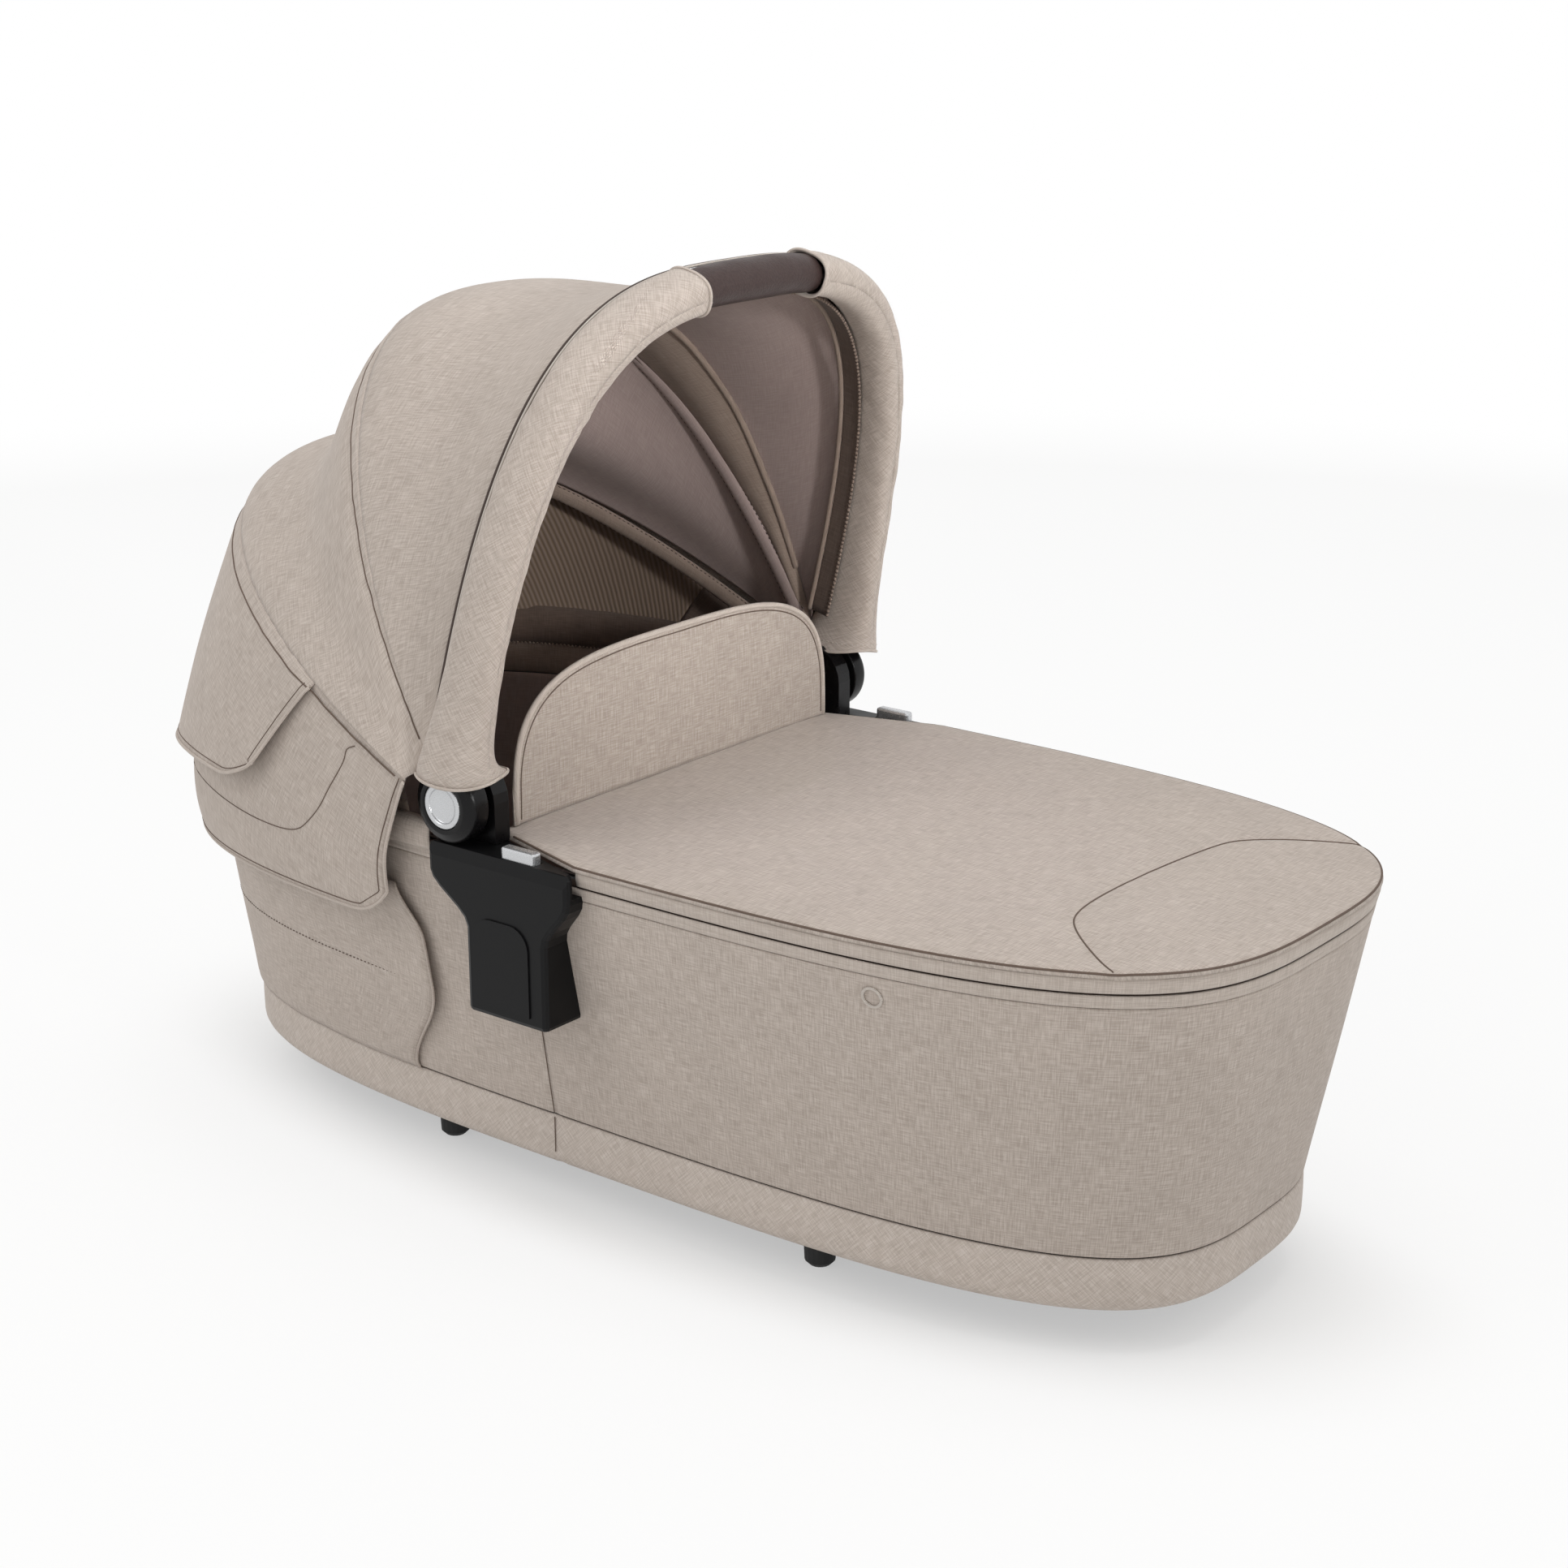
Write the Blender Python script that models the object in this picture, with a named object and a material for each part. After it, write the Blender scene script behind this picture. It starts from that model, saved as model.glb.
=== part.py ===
"""Carrycot with a folding canopy, a carrying handle and a zipped apron.

+X points to the foot end, +Z up, -Y is the side that the photograph shows. Lengths are in metres.
The origin is on the floor under the middle of the overall box.
"""

import math

import bmesh
import bpy
from mathutils import Matrix, Vector

# Overall sizes
OVERALL_LENGTH = 0.942
RIM_LENGTH = 0.897
RIM_HALF_WIDTH = 0.206
RIM_Z = 0.274
SEAM_Z = 0.070
SEAM_HALF_WIDTH = 0.164
SEAM_FRONT_SETBACK = 0.033
SEAM_REAR_SETBACK = 0.009
BASE_Z = 0.030
HUB_FROM_NOSE = 0.536
HUB_Z = 0.300

# Shell walls, from the outside in
CLEARANCE = 0.0003
OVERRUN = 0.010
COVER_THICKNESS = 0.0020
COVER_TOP_Z = 0.258
BOARD_THICKNESS = 0.0025
BOARD_TOP_Z = 0.247
LINING_THICKNESS = 0.0070
LINING_RIM_THICKNESS = 0.0025
FLOOR_PAD_THICKNESS = 0.0060
RIM_FRAME_WIDTH = 0.0085
RIM_FRAME_HEIGHT = 0.0170
RIM_FRAME_TOP_Z = 0.2655
RIM_FRAME_ROUND = 0.0025
TRAY_THICKNESS = 0.0025
BASE_ROUND = 0.012
BASE_HEM_WIDTH = 0.024
ZIP_WIDTH = 0.0070
ZIP_THICKNESS = 0.0012

# Mattress
MATTRESS_THICKNESS = 0.036
MATTRESS_CROWN = 0.005
MATTRESS_EDGE = 0.006
MATTRESS_PLAY = 0.003
MATTRESS_TUCK = 0.012
MATTRESS_CROWN_RUN = 0.070

# Feet
FOOT_RADIUS = 0.012
FOOT_TAPER = 0.0015
FOOT_ROUND = 0.003
FOOT_HALF_TRACK = 0.118
FOOT_REAR_FROM_HUB = -0.101
FOOT_FRONT_FROM_HUB = 0.238

# Apron over the foot half
APRON_BAND_Z = 0.262
APRON_THICKNESS = 0.0018
APRON_ROUND = 0.004
APRON_CROWN = 0.004
APRON_CROWN_RUN = 0.070
APRON_REAR_FROM_HUB = 0.021
APRON_NOTCH_FRONT_FROM_HUB = 0.108
APRON_NOTCH_REAR_Y = 0.181
APRON_NOTCH_FRONT_Y = 0.209

# Wind flap that stands across the apron's rear edge
WIND_FLAP_HEIGHT = 0.105
WIND_FLAP_HALF_WIDTH = 0.179
WIND_FLAP_THICKNESS = 0.005
WIND_FLAP_FRONT_FROM_HUB = 0.0275

# Bracket on each side, with the socket for a pushchair's adapter
BRACKET_FACE_Y = 0.217
BRACKET_INNER_Y = 0.170
BRACKET_TOP_Z = 0.272
BRACKET_FLOOR_Z = 0.158
BRACKET_SHELF_REAR_FROM_HUB = -0.018
BRACKET_SHELF_FRONT_FROM_HUB = 0.107
BRACKET_SHELF_Z = 0.252
BRACKET_BOX_REAR_FROM_HUB = 0.015
BRACKET_BOX_FRONT_FROM_HUB = 0.086
BRACKET_NECK_Z = 0.218
BRACKET_EDGE = 0.0035
BRACKET_BEVEL_Z = 0.263
BRACKET_BEVEL_Y = 0.2145
BRACKET_TONGUE_Y = 0.184
BRACKET_TONGUE_FRONT_FROM_HUB = 0.025
BRACKET_SHELF_INNER_Y = 0.2115
SOCKET_WIDTH = 0.047
SOCKET_DEPTH = 0.0125
SOCKET_TOP_Z = 0.226
BRACKET_WALL = 0.0035
FACE_PANEL_RISE = 0.0012
FACE_PANEL_SIDE = 0.007
FACE_PANEL_TOP_Z = 0.228
FACE_PANEL_FLOOR_Z = 0.166
FACE_PANEL_ROUND = 0.016

# Release button on each bracket, with its latch and spring
RELEASE_FROM_HUB = 0.06
RELEASE_LENGTH = 0.029
RELEASE_DEPTH = 0.0085
RELEASE_TOP_Z = 0.280
RELEASE_HEIGHT = 0.018
RELEASE_EDGE = 0.0020
RELEASE_GAP = 0.0005
RELEASE_POCKET_Z = 0.243
LATCH_WIDTH = 0.012
LATCH_THICKNESS = 0.003
LATCH_FLOOR_Z = 0.2155
RELEASE_SPRING_FROM_LATCH = 0.0105
RELEASE_SPRING_RADIUS = 0.0032
SPRING_WIRE_RADIUS = 0.00045

# Hub stack on each side, as distances from the middle of the carrycot
POST_INNER_Y = 0.183
POST_OUTER_Y = 0.197
POST_RADIUS = 0.026
REAR_EYE_Y = 0.1974
MID_EYE_Y = 0.2002
EYE_THICKNESS = 0.0025
EYE_RADIUS = 0.009
EYE_TAB_LENGTH = 0.050
EYE_TAB_HALF_WIDTH = 0.003
DRUM_INNER_Y = 0.203
DRUM_FACE_Y = 0.220
DRUM_RADIUS = 0.027
DRUM_FACE_RADIUS = 0.0195
DRUM_WEB = 0.004
PIN_RADIUS = 0.005
PIN_HEAD_RADIUS = 0.008
PIN_HEAD_THICKNESS = 0.0022
PIN_GAP = 0.0003
HUB_BUTTON_RADIUS = 0.016
HUB_BUTTON_THICKNESS = 0.0055
HUB_BUTTON_RISE = 0.0006
HUB_BUTTON_DISH = 0.0012
HUB_BUTTON_RIM = 0.0028
HUB_BUTTON_GAP = 0.0004
HUB_SPRING_RADIUS = 0.006

# Carrying handle
HANDLE_LEAN = math.radians(14.8)
HANDLE_HEIGHT = 0.341
HANDLE_HALF_WIDTH = 0.2136
HANDLE_POWER = 3.4
HANDLE_TUBE_HALF_DEPTH = 0.0140
HANDLE_TUBE_HALF_THICKNESS = 0.0069
HANDLE_ARM_TOP = 0.050
HANDLE_ARM_HALF_DEPTH = 0.022
HANDLE_ARM_TOP_HALF_DEPTH = 0.0155
GRIP_HALF_LENGTH = 0.062
GRIP_HALF_DEPTH = 0.0155
GRIP_HALF_THICKNESS = 0.0130
GRIP_SWELL = 0.0010
SLEEVE_GAP = 0.0004
SLEEVE_END_GAP = 0.0015
SLEEVE_FOOT_GAP = 0.0009
SLEEVE_FOOT = 0.0275
SLEEVE_FLARE_END = 0.058
SLEEVE_FLARE_HALF_DEPTH = 0.0285
SLEEVE_FLARE_HALF_THICKNESS = 0.0118
SLEEVE_FLARE_OUT = 0.0015
SLEEVE_HALF_DEPTH = 0.0215
SLEEVE_HALF_THICKNESS = 0.0103
SLEEVE_TOP_HALF_THICKNESS = 0.0165

# Canopy bows and fabric
MID_LEAN = math.radians(-27.5)
MID_HEIGHT = 0.343
MID_HALF_WIDTH = 0.216
MID_POWER = 2.5
REAR_LEAN = math.radians(-62.6)
REAR_HEIGHT = 0.364
REAR_HALF_WIDTH = 0.226
REAR_POWER = 2.3
FRONT_EDGE_HEIGHT = 0.342
FRONT_EDGE_HALF_WIDTH = 0.2090
FABRIC_THICKNESS = 0.0020
FABRIC_SEAM_GAP = 0.00018
HEM_SEAM_GAP = 0.0009
FRONT_SAG = 0.022
REAR_SAG = 0.032
BOW_WIRE_RADIUS = 0.0025
MID_BOW_POWER = 2.65
REAR_BOW_POWER = 2.5
BOW_DROP = 0.0045
FRONT_HEM_DEPTH = 0.003
FRONT_HEM_WIDTH = 0.011
FRONT_HEM_FOOT = 0.072
MID_PANEL_FOOT = 0.047
REAR_PANEL_FOOT = 0.032

# Skirt and vent flap behind the rear bow
SKIRT_HEM_Z = 0.204
SKIRT_HEM_STANDOFF = 0.010
SKIRT_BELLY_Z = 0.292
SKIRT_BELLY_SIDE = 0.016
SKIRT_BELLY_REAR = 0.036
SKIRT_FRONT_FROM_HUB = -0.063
SKIRT_FOLD = 0.0025
VENT_FLAP_FOOT = 0.155
VENT_FLAP_HEM_Z = 0.270
VENT_FLAP_FRONT_FROM_HUB = -0.22
VENT_FLAP_HEM_SIDE = 0.022
VENT_FLAP_LIFT = 0.001
VENT_FLAP_BULGE = 0.006

# Cover of the lower vent in the head end's wall
HEAD_COVER_STANDOFF = 0.0012
HEAD_COVER_THICKNESS = 0.0016
HEAD_COVER_TOP_Z = 0.226
HEAD_COVER_FRONT_FROM_HUB = -0.048
HEAD_COVER_FOOT_FROM_HUB = -0.087
HEAD_COVER_STEP_FROM_HUB = -0.066

# Shares, powers and counts
CROWN_SHARE = 0.7
HEAD_COVER_STEP_SHARE = 0.5
HEAD_COVER_TURN_SHARE = 0.75
VENT_FLAP_ROUND_SHARE = 0.35
VENT_FLAP_CORNER_SHARE = 0.10
WIND_FLAP_POWER = 3.6
SKIRT_FOLDS = 5
RING_POINTS = 54
RING_POWER = 3.3
BEND_SHARE = 0.6
DENSE_STEPS = 1440
ROUND_SIDES = 18
HUB_SIDES = 28
OVAL_SIDES = 12
WIRE_SIDES = 6
EYE_STEPS = 8
PANEL_ARC_STEPS = 6
POST_ARC_STEPS = 12
NECK_STEPS = 6
WIND_FLAP_STEPS = 28
LEG_STATIONS = 14
GRIP_STATIONS = 5
CANOPY_COLUMNS = 32
PANEL_ROWS = 8
SKIRT_ROWS = 9
VENT_FLAP_COLUMNS = 28
VENT_FLAP_ROWS = 6
HEAD_COVER_COLUMNS = 32
HEAD_COVER_ROWS = 6
COIL_POINTS = 8
RELEASE_SPRING_TURNS = 3
HUB_SPRING_TURNS = 2
SIDES = (("right", -1), ("left", 1))

# Places that follow from the sizes above
NOSE_X = OVERALL_LENGTH / 2
TAIL_X = -OVERALL_LENGTH / 2
RIM_REAR_X = NOSE_X - RIM_LENGTH
SEAM_FRONT_X = NOSE_X - SEAM_FRONT_SETBACK
SEAM_REAR_X = RIM_REAR_X + SEAM_REAR_SETBACK
HUB_X = NOSE_X - HUB_FROM_NOSE
FOOT_REAR_X = HUB_X + FOOT_REAR_FROM_HUB
FOOT_FRONT_X = HUB_X + FOOT_FRONT_FROM_HUB
APRON_REAR_X = HUB_X + APRON_REAR_FROM_HUB
APRON_NOTCH_FRONT_X = HUB_X + APRON_NOTCH_FRONT_FROM_HUB
WIND_FLAP_FRONT_X = HUB_X + WIND_FLAP_FRONT_FROM_HUB
BRACKET_SHELF_REAR_X = HUB_X + BRACKET_SHELF_REAR_FROM_HUB
BRACKET_SHELF_FRONT_X = HUB_X + BRACKET_SHELF_FRONT_FROM_HUB
BRACKET_BOX_REAR_X = HUB_X + BRACKET_BOX_REAR_FROM_HUB
BRACKET_BOX_FRONT_X = HUB_X + BRACKET_BOX_FRONT_FROM_HUB
BRACKET_TONGUE_FRONT_X = HUB_X + BRACKET_TONGUE_FRONT_FROM_HUB
RELEASE_X = HUB_X + RELEASE_FROM_HUB
SKIRT_FRONT_X = HUB_X + SKIRT_FRONT_FROM_HUB
VENT_FLAP_FRONT_X = HUB_X + VENT_FLAP_FRONT_FROM_HUB
HEAD_COVER_FRONT_X = HUB_X + HEAD_COVER_FRONT_FROM_HUB
HEAD_COVER_FOOT_X = HUB_X + HEAD_COVER_FOOT_FROM_HUB
HEAD_COVER_STEP_X = HUB_X + HEAD_COVER_STEP_FROM_HUB
RELEASE_SPRING_X = RELEASE_X + RELEASE_SPRING_FROM_LATCH
WALL_MIDDLE_Z = (SEAM_Z + COVER_TOP_Z) / 2
TRAY_INSET = COVER_THICKNESS + CLEARANCE
LINING_INSET = TRAY_INSET + BOARD_THICKNESS + CLEARANCE
LINING_INNER = LINING_INSET + LINING_THICKNESS
TRAY_FLOOR_Z = BASE_Z + COVER_THICKNESS + CLEARANCE
FLOOR_PAD_Z = TRAY_FLOOR_Z + TRAY_THICKNESS + CLEARANCE
MATTRESS_Z = FLOOR_PAD_Z + FLOOR_PAD_THICKNESS + CLEARANCE


# Scene and materials


def clear_scene():
    for thing in list(bpy.data.objects):
        bpy.data.objects.remove(thing, do_unlink=True)


def material(name, colour, roughness, metallic=0.0):
    made = bpy.data.materials.new(name)
    made.use_nodes = True
    shader = made.node_tree.nodes["Principled BSDF"]
    shader.inputs["Base Color"].default_value = (*colour, 1.0)
    shader.inputs["Roughness"].default_value = roughness
    shader.inputs["Metallic"].default_value = metallic
    return made


def add_object(name, bm, made_of, origin=Vector()):
    """The bmesh as a named object in the scene, with its origin where a joint needs it."""
    bmesh.ops.recalc_face_normals(bm, faces=bm.faces)
    if bm.calc_volume(signed=True) < 0:
        bmesh.ops.reverse_faces(bm, faces=bm.faces)
    bmesh.ops.translate(bm, verts=bm.verts, vec=-Vector(origin))
    mesh = bpy.data.meshes.new(name)
    bm.to_mesh(mesh)
    bm.free()
    mesh.shade_smooth()
    mesh.set_sharp_from_angle(angle=math.radians(35))
    mesh.materials.append(made_of)
    made = bpy.data.objects.new(name, mesh)
    made.location = origin
    bpy.context.scene.collection.objects.link(made)
    return made


def boolean(target, other, operation):
    """Joins or cuts the target with a helper that no render shows."""
    other.hide_render = True
    other.display_type = "WIRE"
    step = target.modifiers.new(f"{operation.lower()} {other.name}", "BOOLEAN")
    step.operation = operation
    step.solver = "EXACT"
    step.object = other


def soften(target, width, segments=2):
    step = target.modifiers.new("edge", "BEVEL")
    step.width = width
    step.segments = segments
    step.limit_method = "ANGLE"
    step.angle_limit = math.radians(50)


# Curves and surfaces


def power_curve(turn, half_width, height, power):
    """A point on the rounded-square curve |y/half_width|^power + |r/height|^power = 1."""
    y = math.copysign(abs(math.cos(turn)) ** (2 / power), math.cos(turn))
    r = math.copysign(abs(math.sin(turn)) ** (2 / power), math.sin(turn))
    return half_width * y, height * r


def ring_turns():
    """Turns round the shell's outline, closer together where it bends."""
    points = []
    for step in range(DENSE_STEPS + 1):
        turn = 2 * math.pi * step / DENSE_STEPS
        x, y = power_curve(turn, RIM_LENGTH / 2, RIM_HALF_WIDTH, RING_POWER)
        points.append(Vector((x, y)))
    runs = [b - a for a, b in zip(points, points[1:])]
    bends = [abs(a.angle_signed(b, 0.0)) for a, b in zip([runs[-1]] + runs, runs)]
    total_run = sum(run.length for run in runs)
    total_bend = sum(bends)
    turns = []
    passed = 0.0
    for step, (run, bend) in enumerate(zip(runs, bends)):
        if passed * RING_POINTS >= len(turns):
            turns.append(2 * math.pi * step / DENSE_STEPS)
        passed += (1 - BEND_SHARE) * run.length / total_run + BEND_SHARE * bend / total_bend
    return turns[:RING_POINTS]


def shell_point(turn, plan_z, inset, z=None):
    """A point of the shell's outline at the level plan_z, drawn in by inset, placed at the height z."""
    share = max(0.0, (plan_z - SEAM_Z) / (RIM_Z - SEAM_Z))
    front = SEAM_FRONT_X + share * (NOSE_X - SEAM_FRONT_X)
    rear = SEAM_REAR_X + share * (RIM_REAR_X - SEAM_REAR_X)
    half_width = SEAM_HALF_WIDTH + share * (RIM_HALF_WIDTH - SEAM_HALF_WIDTH)
    x, y = power_curve(turn, (front - rear) / 2 - inset, half_width - inset, RING_POWER)
    return Vector(((front + rear) / 2 + x, y, plan_z if z is None else z))


def shell_ring(plan_z, inset, z=None):
    return [shell_point(turn, plan_z, inset, z) for turn in TURNS]


def shell_turn(x, plan_z):
    """The turn on the near side at which the outline at this level reaches x."""
    low, high = math.pi, 2 * math.pi
    for _ in range(50):
        middle = (low + high) / 2
        if shell_point(middle, plan_z, 0.0).x < x:
            low = middle
        else:
            high = middle
    return low


def bow_point(turn, lean, half_width, height, power, offset=0.0):
    """A point of an arch in a plane through the hub axis, moved off that plane by offset."""
    y, r = power_curve(turn, half_width, height, power)
    up = Vector((math.sin(lean), 0, math.cos(lean)))
    off = Vector((math.cos(lean), 0, -math.sin(lean)))
    return Vector((HUB_X, -y, HUB_Z)) + up * r + off * offset


def foot_turn(foot, height, power):
    """The turn at which an arch has risen to the radius foot above the hub axis."""
    return math.asin((foot / height) ** (power / 2))


def even_arch(lean, half_width, height, power, foot, count, offset=0.0):
    """Points evenly spaced along an arch, from the radius foot on the near side to the far side."""
    start = foot_turn(foot, height, power)
    dense = []
    for step in range(DENSE_STEPS + 1):
        turn = start + (math.pi - 2 * start) * step / DENSE_STEPS
        dense.append(bow_point(turn, lean, half_width, height, power, offset))
    return even_points(dense, count)


def even_points(dense, count):
    """That many points at equal steps along a dense line."""
    lengths = [0.0]
    for a, b in zip(dense, dense[1:]):
        lengths.append(lengths[-1] + (b - a).length)
    points = []
    at = 0
    for step in range(count):
        target = lengths[-1] * step / (count - 1)
        while at < len(dense) - 2 and lengths[at + 1] < target:
            at += 1
        share = (target - lengths[at]) / (lengths[at + 1] - lengths[at])
        points.append(dense[at].lerp(dense[at + 1], share))
    return points


# Solids from loops and sheets


def loft(loops, closed=False):
    """A bmesh skinned from loop to loop, closed into a ring of loops or capped at both ends."""
    bm = bmesh.new()
    rings = [[bm.verts.new(point) for point in loop] for loop in loops]
    for first, second in zip(rings, rings[1:] + rings[:1] if closed else rings[1:]):
        for index in range(len(first)):
            bm.faces.new((first[index - 1], first[index], second[index], second[index - 1]))
    if not closed:
        bm.faces.new(rings[0])
        bm.faces.new(rings[-1])
    return bm


def ring_solid(name, stations, made_of, closed=True):
    """A solid that runs round the shell. A station is a plan level, an inset and, if it differs, a height.

    Its quads are split alike in every layer of the wall, so that the layers keep their gaps.
    """
    bm = loft([shell_ring(*station) for station in stations], closed)
    quads = [face for face in bm.faces if len(face.verts) == 4]
    bmesh.ops.triangulate(bm, faces=quads, quad_method="SHORT_EDGE")
    return add_object(name, bm, made_of)


def sheet_solid(name, place, columns, rows, thickness, made_of, origin=Vector()):
    """A sheet placed by a function of two shares from 0 to 1, thickened on its outer side."""
    bm = bmesh.new()
    bmesh.ops.create_grid(bm, x_segments=columns, y_segments=rows, size=1.0)
    for vert in bm.verts:
        vert.co = place((vert.co.x + 1) / 2, (vert.co.y + 1) / 2)
    bmesh.ops.translate(bm, verts=bm.verts, vec=-Vector(origin))
    bm.normal_update()
    middle = sum((face.calc_center_median() for face in bm.faces), Vector()) / len(bm.faces)
    outward = sum(face.normal.dot(face.calc_center_median() - middle) for face in bm.faces)
    if outward < 0:
        bmesh.ops.reverse_faces(bm, faces=bm.faces)
    mesh = bpy.data.meshes.new(name)
    bm.to_mesh(mesh)
    bm.free()
    mesh.shade_smooth()
    mesh.materials.append(made_of)
    made = bpy.data.objects.new(name, mesh)
    made.location = origin
    bpy.context.scene.collection.objects.link(made)
    step = made.modifiers.new("cloth", "SOLIDIFY")
    step.thickness = thickness
    step.offset = 1.0
    return made


def circle(centre, radius, axis, sides=ROUND_SIDES):
    """A loop of points round an axis, X, Y or Z."""
    spin = {"X": (0, 1, 2), "Y": (1, 0, 2), "Z": (2, 0, 1)}[axis]
    loop = []
    for step in range(sides):
        turn = 2 * math.pi * step / sides
        point = Vector(centre)
        point[spin[1]] += radius * math.cos(turn)
        point[spin[2]] += radius * math.sin(turn)
        loop.append(point)
    return loop


def turned_y(name, side, profile, made_of, closed=False, sides=ROUND_SIDES):
    """A body turned about the hub axis from pairs of radius and distance from the middle."""
    loops = [circle((HUB_X, side * y, HUB_Z), radius, "Y", sides) for radius, y in profile]
    return add_object(name, loft(loops, closed), made_of, (HUB_X, side * profile[0][1], HUB_Z))


def box_bmesh(low, high):
    bm = bmesh.new()
    centre = (Vector(low) + Vector(high)) / 2
    size = [abs(b - a) for a, b in zip(low, high)]
    matrix = Matrix.Translation(centre) @ Matrix.Diagonal((*size, 1.0))
    bmesh.ops.create_cube(bm, size=1.0, matrix=matrix)
    return bm


def prism_y(outline, start, end):
    """A prism along Y from an outline of x and z."""
    return loft([[Vector((x, y, z)) for x, z in outline] for y in (start, end)])


def prism_z(outline, start, end):
    """A prism along Z from an outline of x and y."""
    return loft([[Vector((x, y, z)) for x, y in outline] for z in (start, end)])


def arc(centre, radius, first, last, steps):
    """Points of an arc in a plane, by angles in degrees."""
    points = []
    for step in range(steps + 1):
        turn = math.radians(first + (last - first) * step / steps)
        points.append((centre[0] + radius * math.cos(turn), centre[1] + radius * math.sin(turn)))
    return points


def swept_oval(stations, sides):
    """Loops of ovals. A station is a centre, a first axis and a second axis, both as long as the half sizes."""
    loops = []
    for centre, first, second in stations:
        turns = [2 * math.pi * step / sides for step in range(sides)]
        loops.append([centre + first * math.cos(turn) + second * math.sin(turn) for turn in turns])
    return loops


def coil(name, start, end, radius, turns, made_of):
    """A compression spring: one wire wound about the line from start to end."""
    start, end = Vector(start), Vector(end)
    axis = (end - start).normalized()
    side = axis.orthogonal().normalized()
    across = axis.cross(side)
    steps = turns * COIL_POINTS
    curve = bpy.data.curves.new(name, "CURVE")
    curve.dimensions = "3D"
    curve.bevel_depth = SPRING_WIRE_RADIUS
    curve.bevel_resolution = 1
    curve.use_fill_caps = True
    spline = curve.splines.new("POLY")
    spline.points.add(steps)
    for step, point in enumerate(spline.points):
        turn = 2 * math.pi * turns * step / steps
        along = start.lerp(end, step / steps)
        place = along + (side * math.cos(turn) + across * math.sin(turn)) * radius
        point.co = (*(place - start), 1.0)
    curve.materials.append(made_of)
    made = bpy.data.objects.new(name, curve)
    made.location = start
    bpy.context.scene.collection.objects.link(made)
    return made


# Shell: base, walls, lining and mattress


def build_base():
    round_in = BASE_ROUND * (1 - math.sqrt(0.5))
    under_z = BASE_Z + COVER_THICKNESS
    outer = [
        (SEAM_Z, 0.0),
        (SEAM_Z, 0.0, BASE_Z + BASE_ROUND),
        (SEAM_Z, round_in, BASE_Z + round_in),
        (SEAM_Z, BASE_ROUND, BASE_Z),
        (SEAM_Z, BASE_HEM_WIDTH, BASE_Z),
    ]
    inner = [
        (SEAM_Z, BASE_HEM_WIDTH, under_z),
        (SEAM_Z, BASE_ROUND, under_z),
        (SEAM_Z, round_in + COVER_THICKNESS, under_z + round_in),
        (SEAM_Z, COVER_THICKNESS, under_z + BASE_ROUND),
        (SEAM_Z, COVER_THICKNESS),
    ]
    ring_solid("base_cover", outer + inner, LINEN)
    top = SEAM_Z
    floor_top = TRAY_FLOOR_Z + TRAY_THICKNESS
    tray = [
        (SEAM_Z, BASE_ROUND + TRAY_INSET, TRAY_FLOOR_Z),
        (SEAM_Z, round_in + TRAY_INSET + CLEARANCE, TRAY_FLOOR_Z + round_in),
        (SEAM_Z, TRAY_INSET, TRAY_FLOOR_Z + BASE_ROUND),
        (SEAM_Z, TRAY_INSET, top),
        (SEAM_Z, TRAY_INSET + TRAY_THICKNESS, top),
        (SEAM_Z, TRAY_INSET + TRAY_THICKNESS, floor_top + BASE_ROUND),
        (SEAM_Z, round_in + TRAY_INSET + TRAY_THICKNESS, floor_top + round_in),
        (SEAM_Z, BASE_ROUND + TRAY_INSET + TRAY_THICKNESS, floor_top),
    ]
    ring_solid("base_tray", tray, BLACK_PLASTIC, closed=False)
    for end, x in (("rear", FOOT_REAR_X), ("front", FOOT_FRONT_X)):
        for side_name, side in SIDES:
            centre = Vector((x, side * FOOT_HALF_TRACK, 0))
            top = TRAY_FLOOR_Z - CLEARANCE
            profile = [
                (FOOT_RADIUS - FOOT_TAPER - FOOT_ROUND, 0.0),
                (FOOT_RADIUS - FOOT_TAPER, FOOT_ROUND),
                (FOOT_RADIUS, top),
            ]
            loops = [circle(centre + Vector((0, 0, z)), radius, "Z") for radius, z in profile]
            add_object(f"foot_{end}_{side_name}", loft(loops), BLACK_RUBBER, centre)


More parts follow.
